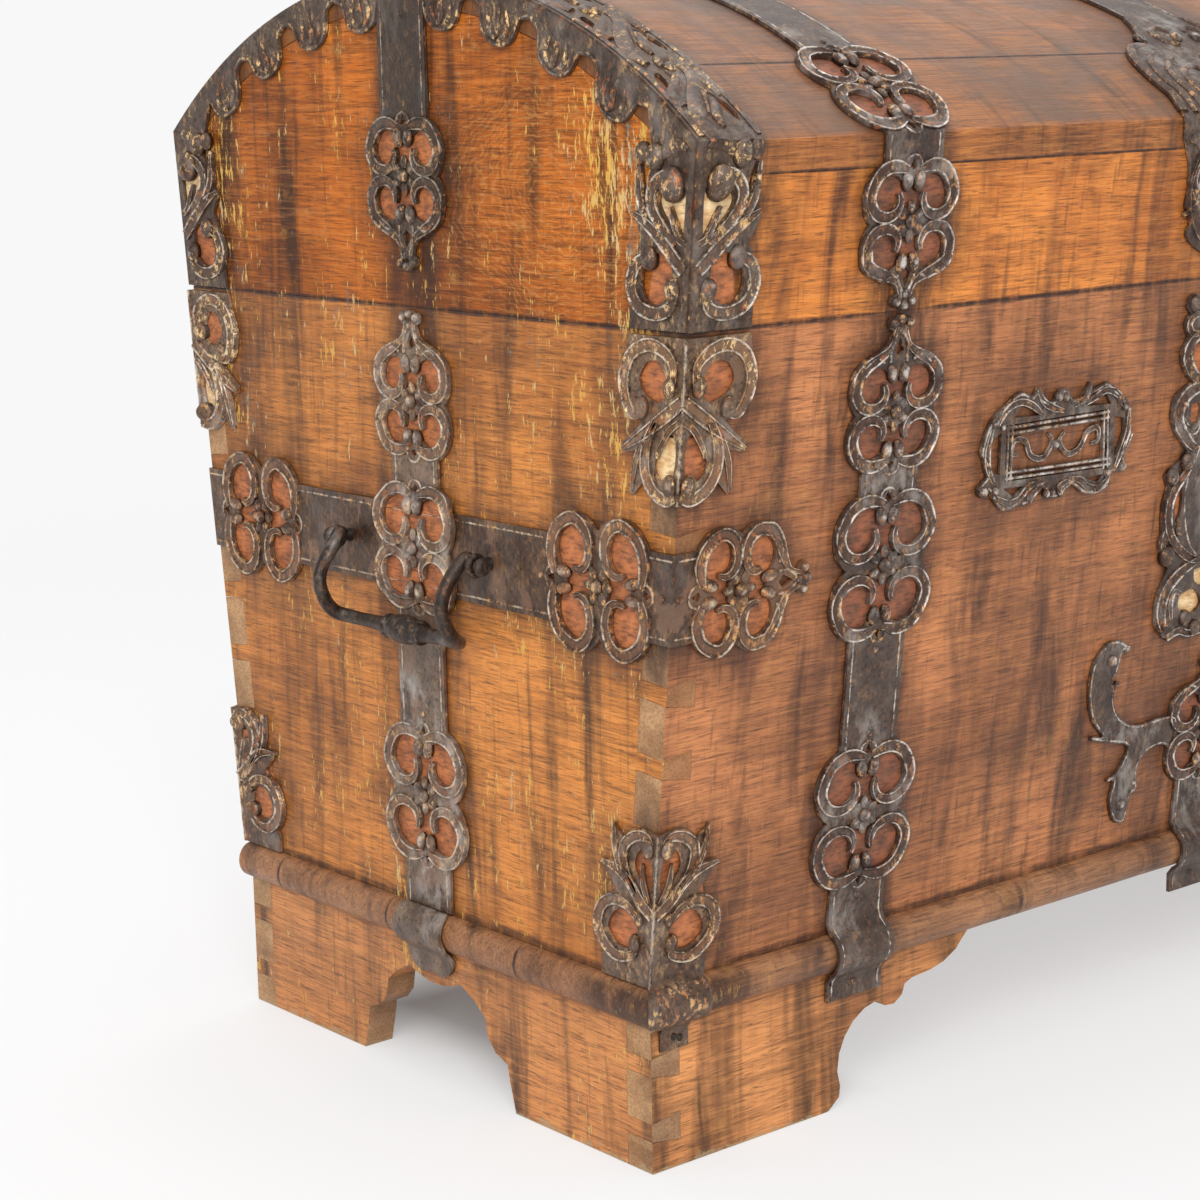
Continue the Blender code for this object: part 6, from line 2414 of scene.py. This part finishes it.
    def field_scroll(self, whole: Pattern, centre: Point) -> None:
        """Plain pair of S-scrolls in the plate's field.

        Args:
            whole: pattern to add to.
            centre: middle of the plate.
        """
        for sign in (-1, 1):
            line = ((10, 9), (4, 2), (14, -9), (28, -6), (36, 6), (48, 8), (50, -2), (42, -4))
            points = [(centre[0] + sign * x * MM, centre[1] + y * MM) for x, y in line]
            whole.scroll(points, (1.2, 2, 2.4, 2.4, 2.4, 2.2, 1.8, 1.2), base=0.8 * MM, steps=5)
        whole.bead(*centre, (4 * MM, 4 * MM, 3 * MM), base=1.6 * MM, segments=10)


@dataclass
class CornerClasps:
    """Plain tongues of the corner irons, beaten over the front moulding on to the plinth."""

    iron: Look
    width: float = 46 * MM

    def build(self) -> None:
        """Build both clasps."""
        for side in Side:
            self.clasp(side)

    def clasp(self, side: Side) -> None:
        """One clasp over the front moulding.

        Args:
            side: end of the chest.
        """
        profile = [
            (0.0, SIZES.plinth - 20 * MM), (0.0, SIZES.plinth - 6 * MM),
            *moulding_round(-72, 72, 14, 0.9 * MM, 0.9 * MM), (0.0, SIZES.moulding_top + 6 * MM),
        ]
        bm = bmesh.new()
        rub = bm.verts.layers.float.new("rub")
        grid = bmesh.ops.create_grid(
            bm, x_segments=10, y_segments=len(profile) - 1, size=1.0,
        )["verts"]
        for vert in grid:
            share = (vert.co.x + 1) / 2
            out, height = profile[round((vert.co.y + 1) / 2 * (len(profile) - 1))]
            out += SIZES.gap * 2
            low = height < SIZES.plinth
            start = 7 * MM if low else -out
            reach = start + ((34 * MM if low else self.width) - start) * share
            lean = max(0.0, height - SIZES.moulding_top) * SIZES.slope
            ridge = 0.5 * MM * max(0.0, math.sin(share * 30)) if out > 5 * MM else 0.0
            vert.co = (
                side.value * (SIZES.half_length - reach), -(SIZES.base_half + out + lean + ridge),
                height,
            )
            vert[rub] = 0.3 if out > 9 * MM else 0.2
        bmesh.ops.recalc_face_normals(bm, faces=bm.faces)
        if max(bm.faces, key=lambda f: f.calc_center_median().z).normal.y > 0:
            bmesh.ops.reverse_faces(bm, faces=bm.faces)
        bmesh.ops.solidify(bm, geom=bm.faces[:] + bm.edges[:] + bm.verts[:], thickness=-1.6 * MM)
        for place in ((20 * MM, SIZES.plinth - 11 * MM), (26 * MM, SIZES.plinth - 13 * MM)):
            head = Matrix.Translation(
                (side.value * (SIZES.half_length - place[0]), -SIZES.base_half - 2 * MM, place[1])
            )
            bmesh.ops.create_uvsphere(
                bm, u_segments=10, v_segments=6, radius=3 * MM,
                matrix=head @ Matrix.Diagonal((1, 0.6, 1, 1)),
            )
        make_piece(f"beaten_clasp_{side.word}", bm, "chest", self.iron, ())


@dataclass
class DropHandle:
    """Forged drop handle with a turned grip, in two eyes."""

    iron: Look
    side: Side
    half_span: float = 90 * MM
    standoff: float = 16 * MM

    def build(self) -> None:
        """Build the bail and its eyes."""
        self.bail()
        for tag, sign in (("front", -1), ("back", 1)):
            self.eye(tag, sign)

    def bail(self) -> None:
        """Bar swept along its bent line."""
        drop = 61.0
        half = [
            (0, 1, drop, 11.3), (7, 1, drop, 11.0), (14, 1, drop, 9.6), (17.5, 1, drop, 8.9),
            (19, 1, drop, 9.6), (21.5, 1, drop, 9.4), (23, 1, drop, 7.0), (32, 1, drop, 6.0),
            (48, 1, drop, 5.4), (62, 1.5, drop, 5.3), (72, 4, drop - 1, 5.4),
            (78, 11, drop - 4, 5.6), (79, 18, drop - 11, 5.6), (79, 23, drop - 21, 5.5),
            (79, 25, drop - 31, 5.4), (79, 22, drop - 42, 5.4), (78.5, 15, drop - 52, 5.4),
            (78.5, 8, drop - 60, 5.3), (79.5, 3, drop - 65, 5.2), (82, 1, drop - 66, 4.9),
            (84.6, 0.4, drop - 63.5, 4.3), (86.5, 0, -0.4, 3.7), (90, 0, 0, 3.7), (93.2, 0, 0, 3.7),
            (94, 0, 0, 5.8), (96, 0, 0, 7.0), (99, 0, 0, 6.8), (101, 0, 0, 5.0), (101.6, 0, 0, 1.5),
        ]
        whole = [(-a, o, f, r) for a, o, f, r in reversed(half[1:])] + half
        line = [tuple(value * MM for value in point) for point in smooth(whole, 3)]
        bm = bmesh.new()
        rub = bm.verts.layers.float.new("rub")
        slot = bm.verts.layers.int.new("slot")
        sides = 20
        ring = bmesh.ops.create_circle(bm, cap_ends=True, segments=sides, radius=1.0)["verts"]
        for index, vert in enumerate(ring):
            vert[slot] = index
        pivot = Vector(
            (self.side.value * (SIZES.half_length + self.standoff), 0, SIZES.seam - SIZES.waist)
        )
        for index, ring in rings(bm, ring, bm.edges[:], len(line)):
            along, out, fall, radius = line[index]
            before, after = line[max(index - 1, 0)], line[min(index + 1, len(line) - 1)]
            heading = Vector(
                (
                    self.side.value * (after[1] - before[1]), after[0] - before[0],
                    -(after[2] - before[2]),
                )
            ).normalized()
            first = heading.cross(Vector((self.side.value, 0, 0.02))).normalized()
            second = heading.cross(first)
            centre = pivot + Vector((self.side.value * out, along, -fall))
            for vert in ring:
                turn = math.tau * vert[slot] / sides
                vert.co = centre + radius * (math.cos(turn) * first + math.sin(turn) * second)
                vert[rub] = 0.55 if radius > 7 * MM else 0.3
        word = self.side.word
        make_piece(
            f"forged_bail_{word}", bm, f"handle_{word}", self.iron, [f"bail_handle_{word}"],
            60,
        )

    def eye(self, tag: str, sign: int) -> None:
        """Ring of the eye, its neck and its shank through the board.

        Args:
            tag: front or back.
            sign: -1 for the front one, 1 for the back one.
        """
        bm = bmesh.new()
        rub = bm.verts.layers.float.new("rub")
        centre = Vector(
            (
                self.side.value * (SIZES.half_length + self.standoff), sign * self.half_span,
                SIZES.seam - SIZES.waist,
            )
        )
        quarter = Matrix.Rotation(math.pi / 2, 4, "X")
        ring = Matrix.Translation(centre) @ quarter @ Matrix.Translation((6.9 * MM, 0, 0))
        circle = bmesh.ops.create_circle(bm, segments=12, radius=2.7 * MM, matrix=ring @ quarter)
        edges = list({edge for vert in circle["verts"] for edge in vert.link_edges})
        bmesh.ops.spin(
            bm, geom=circle["verts"] + edges, cent=centre, axis=(0, 1, 0), dvec=(0, 0, 0),
            angle=math.tau, steps=28, use_merge=True,
        )
        bmesh.ops.remove_doubles(bm, verts=bm.verts, dist=1e-5)
        for vert in bm.verts:
            vert[rub] = 0.45
        plate, stub, bar = 3.4 * MM, 6 * MM, 6 * MM
        seat = SIZES.half_length + plate
        reach = self.standoff - plate - 6.5 * MM
        neck = Matrix.Translation((self.side.value * (seat + reach / 2), centre.y, centre.z))
        neck = neck @ Matrix.Rotation(self.side.value * math.pi / 2, 4, "Y")
        bmesh.ops.create_cone(
            bm, cap_ends=True, segments=16, radius1=5.4 * MM, radius2=3.0 * MM, depth=reach,
            matrix=neck,
        )
        word = self.side.word
        ring_piece = make_piece(
            f"forged_eye_{word}_{tag}", bm, "chest", self.iron, [], 50,
        )
        shank = bmesh.new()
        length = 27.6 * MM + plate + stub
        inner = SIZES.half_length - 27.3 * MM - 3 * MM
        for off, drop, size in (
            (seat - length / 2, 0.0, (length, bar, bar, 1)),
            (inner, 13.5 * MM, (5.6 * MM, 5.6 * MM, 21 * MM, 1)),
        ):
            middle = Matrix.Translation((self.side.value * off, centre.y, centre.z - drop))
            bmesh.ops.create_cube(shank, size=1.0, matrix=middle @ Matrix.Diagonal(size))
        bmesh.ops.bevel(
            shank, geom=shank.edges[:], offset=0.6 * MM, segments=1, affect="EDGES", profile=0.5,
            material=-1,
        )
        make_piece(
            f"clenched_shank_{word}_{tag}", shank, "chest", self.iron, [f"handle_eye_{word}_{tag}"],
        )
        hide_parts(f"handle_eye_{word}_{tag}")


# Woodwork


@dataclass
class Mouldings:
    """Half round moulding, worn and dented, mitred at the front corners."""

    wood: Look

    def build(self) -> None:
        """Build the front length and both ends."""
        for word in ("front", "left", "right"):
            self.length(word)

    def length(self, word: str) -> None:
        """One length of moulding, dented along its nose.

        Args:
            word: front, left or right.
        """
        bm = bmesh.new()
        slot = bm.verts.layers.int.new("slot")
        nose = moulding_round(90, -90, 16, 0.0, -0.15 * MM)
        ring = []
        for index, (out, height) in enumerate(nose + [(-0.6 * MM, SIZES.plinth + SIZES.gap)]):
            vert = bm.verts.new((out, 0, height))
            vert[slot] = index
            ring.append(vert)
        edges = [bm.edges.new((a, b)) for a, b in zip(ring, ring[1:] + ring[:1])]
        bm.faces.new(ring)
        shape = nose + [(0.3 * MM, SIZES.plinth + SIZES.gap)]
        steps = 120 if word == "front" else 56
        for index, ring in rings(bm, ring, edges, steps + 1):
            share = index / steps
            for vert in ring:
                out, height = shape[vert[slot]]
                dent = 0.5 * math.sin(share * 47) + 0.4 * math.sin(share * 131 + 1)
                worn = out - dent * MM * out / SIZES.projection
                out = max(out - 1.2 * MM, min(worn, out)) + SIZES.gap
                if word == "front":
                    end = SIZES.half_length + shape[vert[slot]][0]
                    vert.co = (-end + 2 * end * share, -(SIZES.base_half + out), height)
                else:
                    sign = -1 if word == "left" else 1
                    start = -(SIZES.base_half + shape[vert[slot]][0]) + 0.3 * MM
                    vert.co = (
                        sign * (SIZES.half_length + out), start + (SIZES.base_half - start) * share,
                        height,
                    )
        make_piece(
            f"worn_moulding_{word}", bm, "chest", self.wood, [f"moulding_{word}"],
            50,
        )


@dataclass
class DomeBoards:
    """Coopered boards of the dome, planed round."""

    wood: Look
    facets: tuple[int, ...] = (2, 4, 4, 4, 2)
    thickness: float = 22 * MM
    finer: int = 6

    def build(self) -> None:
        """Build the five boards."""
        total = sum(self.facets)
        start = 0
        for index, count in enumerate(self.facets):
            low, high = start / total, (start + count) / total
            self.board(index, low, high, count * self.finer)
            start += count

    def board(self, index: int, low: float, high: float, steps: int) -> None:
        """One board between two shares of the dome's arc.

        Args:
            index: number of the board from the front.
            low: share of the arc where it starts.
            high: share where it ends.
            steps: facets of its outside.
        """
        radius, angle = SIZES.dome_radius, SIZES.dome_angle
        play = 0.25 * MM / radius
        outer, inner = [], []
        for step in range(steps + 1):
            share = low + (high - low) * step / steps
            turn = angle * (2 * share - 1)
            if step == steps and index < 4:
                turn -= play
            if step == 0 and index > 0:
                turn += play * 0.2
            outer.append((radius * math.sin(turn), SIZES.dome_centre + radius * math.cos(turn)))
            under = radius - self.thickness
            inner.append((under * math.sin(turn), SIZES.dome_centre + under * math.cos(turn)))
        joint = 103 * MM
        lean = SIZES.lean
        if index in (0, 4):
            sign = -1 if index == 0 else 1
            face = (sign * (SIZES.seam_half + joint * SIZES.slope), SIZES.seam + joint + 0.3 * MM)
            back = (
                face[0] - sign * SIZES.board * math.cos(lean),
                face[1] + SIZES.board * math.sin(lean),
            )
            if index == 0:
                outer, inner = [face, *outer], [back, *inner[1:]]
            else:
                outer, inner = [*outer, face], [*inner[:-1], back]
        bm = bmesh.new()
        loop = outer + inner[::-1]
        ring = [bm.verts.new((-SIZES.half_length, y, z)) for y, z in loop]
        extrude(bm, [bm.faces.new(ring)], 2 * SIZES.half_length)
        make_piece(
            f"coopered_board_{index + 1}", bm, "lid", self.wood, [f"lid_dome_board_{index + 1}"],
            30,
        )


@dataclass
class OpenGrounds:
    """Wood or old paint that shows through the pierced straps."""

    grounds: Grounds

    def build(self) -> None:
        """Lay a thin patch behind each cartouche."""
        over = Track.path(lid_path(), Vector((1, 0, 0)))
        arris = over.stations[1][0]
        dark, red = self.grounds.dark, self.grounds.red
        marks_down_front = front_marks()
        for side in Side:
            shift = side.value * SIZES.strap_x
            for name, track, body, look, across, marks in (
                ("front", front_face(), "chest", dark, shift, marks_down_front),
                (
                    "end", end_face(side), "chest", red, 0.0,
                    [(LONG, LOWEST_MARK), (SHORT, -0.3875 * SIZES.waist)],
                ),
                ("lid_end", end_face(side), "lid", red, 0.0, [(SHORT, 98 * MM)]),
                (
                    "lid", over, "lid", dark, shift,
                    [(SHORT, arris / 2), (CROSSING, arris + 51 * MM)],
                ),
            ):
                whole = Pattern()
                for mark, centre in marks:
                    self.patch(whole, mark, centre, track.folds())
                whole.finish(
                    f"painted_ground_{name}_{side.word}", track, body, look, (), "case_oak", across,
                )
        whole = Pattern()
        self.patch(whole, SHORT, marks_down_front[0][1] - 3 * MM)
        whole.finish("painted_ground_front_middle", front_face(), "chest", dark, (), "case_oak")

    @staticmethod
    def patch(whole: Pattern, mark: Cartouche, centre: float, folds: Sequence[float] = ()) -> None:
        """One patch, a little inside the cartouche's outline.

        Args:
            whole: pattern to add to.
            mark: the cartouche.
            centre: its place along.
            folds: distances along where the surface bends.
        """
        small = Cartouche(mark.half_length - 4 * MM, mark.half_width - 4 * MM)
        join = small.offset - 5 * MM
        whole.ground(both_sides(small.side(centre, join, join)), folds=folds)


@dataclass
class CarriedPieces:
    """Pieces that come from the frame and only need their finish."""

    looks: dict[str, Look]

    def build(self) -> None:
        """Dress each piece."""
        for node, look in self.looks.items():
            made = frame["nodes"][node]
            made.data.materials.clear()
            made.data.materials.append(look)
            LOG.info("%s dressed in %s", node, look.name)


def oak_looks() -> dict[str, Look]:
    """Make the oak finishes and say which board wears which.

    Returns:
        Finish for each board of the frame.
    """
    strap, end_x = SIZES.strap_x, SIZES.half_length
    front_y = -SIZES.seam_half

    def on_front(x: float, drop: float, reach: float, depth: float = 0.9) -> Spot:
        """Spot on the front at a height below the seam."""
        return Spot((x, front_y + max(drop, -0.13) * SIZES.slope, SIZES.seam - drop), reach, depth)

    # Painted shade: a dark line along the gap between lid and case
    seam = Stain(2, SIZES.seam, 2.4 * MM, 0.95)
    low_line = Stain(2, SIZES.moulding_top, 7 * MM, 0.8)
    front_stains_and_shade = (
        Stain(0, -strap, 46 * MM, 0.9), Stain(0, strap, 46 * MM, 0.9), Stain(0, 0, 0.12, 0.6), seam,
        low_line,
        *[
            on_front(sign * strap, drop, 72 * MM)
            for sign in (-1, 1)
            for drop in (0.0725, 0.187, 0.381)
        ],
        *[
            on_front(sign * end_x, drop, reach)
            for sign in (-1, 1)
            for drop, reach in ((0.05, 0.1), (0.42, 0.09), (0.185, 0.07))
        ],
        *[on_front(sign * (end_x - 62 * MM), 0.185, 78 * MM, 0.8) for sign in (-1, 1)],
        on_front(-0.5485 * strap, 0.117, 0.115, 0.6), on_front(-0.135, 0.37, 0.08, 0.55),
        on_front(0.135, 0.37, 0.08, 0.55),
        *[
            on_front(x, drop, 0.07, 0.45)
            for x, drop in ((-0.25, 0.22), (-0.19, 0.26), (-0.24, 0.32), (0.2, 0.24), (0.26, 0.34))
        ],
    )
    ends = [
        Spot((sign * end_x, y, z), reach, depth)
        for sign in (-1, 1)
        for y, z, reach, depth in (
            (0, 0.541, 0.072, 0.8), (0, 0.43, 0.08, 0.9), (0, 0.233, 0.072, 0.8),
            (-0.22, 0.43, 0.085, 0.8), (0.22, 0.43, 0.085, 0.8), (-0.3, 0.56, 0.085, 0.8),
            (0.3, 0.56, 0.085, 0.8), (-0.265, 0.19, 0.085, 0.8), (0.265, 0.19, 0.085, 0.8),
            (0, 0.712, 0.075, 0.8),
        )
    ]
    faint = tuple(
        on_front(-x, drop, reach, 0.3)
        for x, drop, reach in ((0.47, 0.3, 0.09), (0.5, 0.39, 0.1), (0.33, 0.4, 0.09))
    )
    end_stains_and_shade = (
        Stain(1, 0.0, 44 * MM, 0.8), Stain(2, SIZES.seam - SIZES.waist, 48 * MM, 0.65), seam,
        low_line, *ends,
    )
    lid_stains_and_shade = (
        *front_stains_and_shade[:4], Stain(2, SIZES.seam + SIZES.dome_joint, 1.3 * MM, 0.95),
        *[on_front(sign * strap, -0.065, 66 * MM) for sign in (-1, 1)],
        *[on_front(sign * end_x, -0.06, 0.1) for sign in (-1, 1)],
    )
    heart = (-end_x, -0.17, 0.7)
    pale = ("8e6842", "c49a6c")
    front = AgedOak(
        "oiled_oak_front", Run.ALONG, "d28652", "a0623b", "54301e", front_stains_and_shade + faint, 0.12, 0.1,
        0.0, 0, ends=pale,
    ).material()
    end = AgedOak(
        "oiled_oak_end", Run.ACROSS, "dc8a3c", "a86226", "543014", end_stains_and_shade, 0.9, 0.05, 0.0, 1,
    ).material()
    lid = AgedOak(
        "oiled_oak_lid_front", Run.ALONG, "ee9440", "c26e2c", "66381c", lid_stains_and_shade, 0.1, 0.0, 0.0,
        0, ends=pale,
    ).material()
    lid_end = AgedOak(
        "oiled_oak_lid_end", Run.ACROSS, "c86c1c", "924a10", "42210a", end_stains_and_shade, 1.0, 0.0, 0.0, 1,
        0.2, heart,
    ).material()
    foot = AgedOak(
        "scuffed_oak_plinth", Run.ALONG, "ea9e5e", "ba7642", "5e3a1c", (low_line,), 0.2, 0.1, 0.0,
        0, ends=pale, scuffed_below=0.012,
    ).material()
    foot_end = AgedOak(
        "scuffed_oak_plinth_end", Run.ACROSS, "dc9050", "a86a38", "5c3a24", (low_line,), 1.0, 0.1,
        0.0, 1, ends=("8c6a4c", "b48e68"), scuffed_below=0.014,
    ).material()
    back_stains_and_shade = (Stain(0, -strap, 40 * MM, 0.55), Stain(0, strap, 40 * MM, 0.55), seam)
    back = AgedOak(
        "oiled_oak_back", Run.ALONG, "d28652", "a0623b", "54301e", back_stains_and_shade, 0.12, 0.1, 0.0, 0,
        ends=pale,
    ).material()
    plain = AgedOak(
        "plain_oak_inside", Run.ALONG, "b98a5e", "9c7048", "6b4a30", lying=True,
    ).material()
    return {
        "front_board": front, "back_board": back, "left_end_board": end, "right_end_board": end,
        "lid_front_board": lid, "lid_back_board": lid, "lid_left_end_board": lid_end,
        "lid_right_end_board": lid_end, "plinth_bracket_left": foot, "plinth_bracket_right": foot,
        "plinth_back": foot, "plinth_end_left": foot_end, "plinth_end_right": foot_end,
        "bottom_board": plain,
    }


def dome_look() -> Look:
    """Make the oak of the dome, with the lines where the straps and joints lie.

    Returns:
        The material.
    """
    lines = (
        Stain(0, 0.0, 0.105, 0.5),
        *[Stain(0, sign * SIZES.strap_x, 46 * MM, 0.85) for sign in (-1, 1)],
        *[Stain(0, sign * SIZES.half_length, 78 * MM, 0.7) for sign in (-1, 1)],
        Stain(1, -SIZES.dome_radius * math.sin(SIZES.dome_angle * 0.75), 1.5 * MM, 0.95),
        Stain(2, SIZES.seam + SIZES.dome_joint, 1.3 * MM, 0.95),
    )
    arris = SIZES.seam + SIZES.lid_side
    return AgedOak(
        "weathered_oak_dome", Run.ALONG, "c07638", "8e5228", "462814", lines, 0.0, 0.85,
        arris + 2 * MM, 0, 0.35, ends=("96561e", "c47a30"), lying=True,
    ).material()


def moulding_look() -> Look:
    """Make the oak of the moulding, dark at the corners and in its joints.

    Returns:
        The material.
    """
    corners = [
        Spot((sign * x, -y, 0.127), 0.055, 0.85)
        for sign in (-1, 1)
        for x, y in ((0.62, 0.24), (0.57, 0.27))
    ]
    joints = [Stain(1, y, 1.6 * MM, 0.95) for y in (-0.118, 0.046, 0.2)]
    return AgedOak(
        "rubbed_oak_moulding", Run.ALONG, "b88056", "8a5836", "40261a", (*corners, *joints), 0.25,
        0.3,
    ).material()


def iron_looks() -> dict[str, Look]:
    """Make the iron finishes, by the first word of their names.

    Returns:
        The finishes.
    """
    finishes = (
        WroughtIron("waxed_wrought_iron"),
        WroughtIron(
            "limed_wrought_iron", "78624e", "4c3a2f", "6c4c36", "d0c0ac", "d0a878", 0.9, 0.8,
            metal=0.25, patched=0.45,
        ),
        WroughtIron(
            "ochred_wrought_iron", "5a402e", "362417", "6a4630", "ccb8a0", "cc9a5e", 1.0, 0.15,
            metal=0.3, patched=0.5,
        ),
        WroughtIron(
            "smoked_wrought_iron", "48362a", "2c1f16", "4a3424", "b0a08e", "c89c68", 0.7, 0.15,
            metal=0.35,
        ),
        WroughtIron(
            "crusted_wrought_iron", "7c604a", "4e3826", "805a3a", "dccab6", "e8c892", 1.8, 0.7,
            (1.4, 0.9, 0.8), patched=0.5,
        ),
        WroughtIron(
            "rusted_wrought_iron", "6c5240", "443022", "74523a", "d4c2ac", "d8b07c", 1.5, 0.3,
            (1.3, 0.9, 0.8), patched=0.3,
        ),
        WroughtIron(
            "polished_wrought_iron", "604c3e", "3c2c22", "5c4232", "d4c6b6", "e2ba80", 1.3, 0.3,
            (1.5, 0.9, 0.05), 0.4,
        ),
        WroughtIron(
            "rubbed_wrought_iron", "40342d", "2a201a", "3a2d25", "a89c90", "a87c58", 0.2, 0.35,
            metal=0.6,
        ),
        WroughtIron("plain_wrought_iron", embossed=False),
    )
    return {finish.name.split("_")[0]: finish.material() for finish in finishes}


# Stage


@dataclass
class Stage:
    """Camera, floor and soft light of a plain studio."""

    lens: float = 83.178
    eye: Triple = (-1.8435, -1.6938, 0.8047)
    right: Triple = (0.76556, -0.64306, -0.02012)
    up: Triple = (0.14137, 0.13763, 0.98036)

    def build(self) -> None:
        """Build all of it."""
        self.camera()
        self.world()
        self.floor()
        self.lamp("key", (-2.8, -2.6, 2.6), 2.2, 115.0, (0, 0, 0.4))
        self.lamp("top", (0.4, 0.6, 3.4), 2.8, 40.0, (0, 0, 0.4))

    def camera(self) -> None:
        """Place the camera as the photograph was taken."""
        made = bpy.data.cameras.new("camera")
        made.lens, made.sensor_width = self.lens, 36.0
        made.clip_start, made.clip_end = 0.05, 60.0
        item = bpy.data.objects.new("camera", made)
        right, up = Vector(self.right).normalized(), Vector(self.up)
        up = (up - up.dot(right) * right).normalized()
        away = right.cross(up)
        turn = Matrix((right, up, away)).transposed().to_4x4()
        item.matrix_world = Matrix.Translation(self.eye) @ turn
        bpy.context.scene.collection.objects.link(item)
        bpy.context.scene.camera = item
        bpy.context.scene.view_settings.view_transform = "Standard"

    def world(self) -> None:
        """White to the camera and in gloss, soft grey light otherwise."""
        made = bpy.data.worlds.new("studio")
        bpy.context.scene.world = made
        made.use_nodes = True
        tree = made.node_tree
        tree.nodes.remove(tree.nodes["Background"])
        seen = add(
            tree, "Math",
            *[add(tree, "LightPath", read=f"Is {ray} Ray") for ray in ("Camera", "Transmission")],
            operation="MAXIMUM",
        )
        light, gloss, white = (
            add(tree, "Background", Color=tint(code), Strength=strength)
            for code, strength in (("f3f4f6", 0.74), ("f2f2f2", 0.85), ("f8f8f8", 1.0))
        )
        light = add(tree, "MixShader", add(tree, "LightPath", read="Is Glossy Ray"), light, gloss)
        light = add(tree, "MixShader", seen, light, white)
        tree.links.new(light, tree.nodes["World Output"].inputs["Surface"])

    def floor(self) -> None:
        """Wide pale floor that fades to the background's white."""
        bm = bmesh.new()
        bmesh.ops.create_circle(bm, cap_ends=True, segments=96, radius=14.0)
        mesh = bpy.data.meshes.new("floor")
        bm.to_mesh(mesh)
        bm.free()
        item = bpy.data.objects.new("floor", mesh)
        item.location.z = -0.0004
        bpy.context.scene.collection.objects.link(item)
        look, tree, shader = new_material("white_paper")
        for key, value in (
            ("Base Color", tint("f6f6f6")), ("Roughness", 0.9), ("Specular IOR Level", 0.1),
        ):
            shader.inputs[key].default_value = value
        seen = add(
            tree, "Math",
            *[add(tree, "LightPath", read=f"Is {ray} Ray") for ray in ("Camera", "Glossy")],
            operation="MAXIMUM",
        )
        glow = add(tree, "Emission", Color=tint("f8f8f8"), Strength=1.0)
        where = add(tree, "TexCoord", read="Object")
        far = add(tree, "VectorMath", where, operation="LENGTH", read="Value")
        fade = add(tree, "MapRange", far, 1.0, 3.2, 0.58, 1.0, interpolation_type="SMOOTHSTEP")
        # Less glow inside the ends, where the chest's own shadow lies
        turned = add(tree, "VectorMath", where, operation="ABSOLUTE")
        across, back = (add(tree, "SeparateXYZ", turned, read=axis) for axis in (0, 1))
        near = add(tree, "Math", across, 0.49, operation="SUBTRACT")
        near = add(tree, "Math", near, operation="ABSOLUTE")
        near = add(tree, "Math", 0.13, near, operation="SUBTRACT")
        depth = add(
            tree, "Math", near, add(tree, "Math", SIZES.base_half, back, operation="SUBTRACT"),
            operation="MINIMUM",
        )
        shadow = add(tree, "ValToRGB", product(tree, depth, 8.0), stops=((0.0, 1.0), (0.8, 0.25)))
        share = product(tree, seen, product(tree, fade, shadow))
        blend = add(tree, "MixShader", share, shader.outputs[0], glow)
        tree.links.new(blend, tree.nodes["Material Output"].inputs["Surface"])
        mesh.materials.append(look)
        item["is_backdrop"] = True

    def lamp(self, name: str, place: Triple, size: float, power: float, aim: Triple) -> None:
        """Add a square soft box.

        Args:
            name: lamp's name.
            place: where it stands.
            size: side in metres.
            power: watts.
            aim: point that it faces.
        """
        made = bpy.data.lights.new(name, "AREA")
        made.shape, made.size, made.energy = "SQUARE", size, power
        item = bpy.data.objects.new(name, made)
        item.location = place
        item.rotation_euler = (Vector(place) - Vector(aim)).to_track_quat("Z", "Y").to_euler()
        bpy.context.scene.collection.objects.link(item)


def main() -> None:
    """Build the looks in order and report each piece."""
    logging.basicConfig(level=logging.INFO, format="%(name)s %(message)s")
    irons = iron_looks()
    CarriedPieces(oak_looks()).build()
    DomeBoards(dome_look()).build()
    Mouldings(moulding_look()).build()
    grounds = Grounds.make()
    OpenGrounds(grounds).build()
    FrontStraps(irons["waxed"]).build()
    LidStraps(irons["waxed"]).build()
    EndStraps(irons["limed"], irons["smoked"], grounds.red).build()
    WaistStraps(irons["ochred"], grounds.red).build()
    CornerIrons(irons["crusted"], irons["rusted"], grounds).build()
    CornerClasps(irons["rusted"]).build()
    LidEdgeIrons(irons["polished"], grounds).build()
    FrontPlates(irons["waxed"], grounds).build()
    for side in Side:
        DropHandle(irons["rubbed"], side).build()
    CarriedPieces(
        {
            node: irons["plain"]
            for node in (
                "hinge_strap_left", "hinge_strap_right", "hinge_pin_left", "hinge_pin_right",
                "lock_case", "lock_bolt", "lid_staple",
            )
        }
    ).build()
    Stage().build()
    [[list(corner) for corner in box] for box in (CAD_BOX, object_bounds())]


if __name__ == "__main__":
    main()
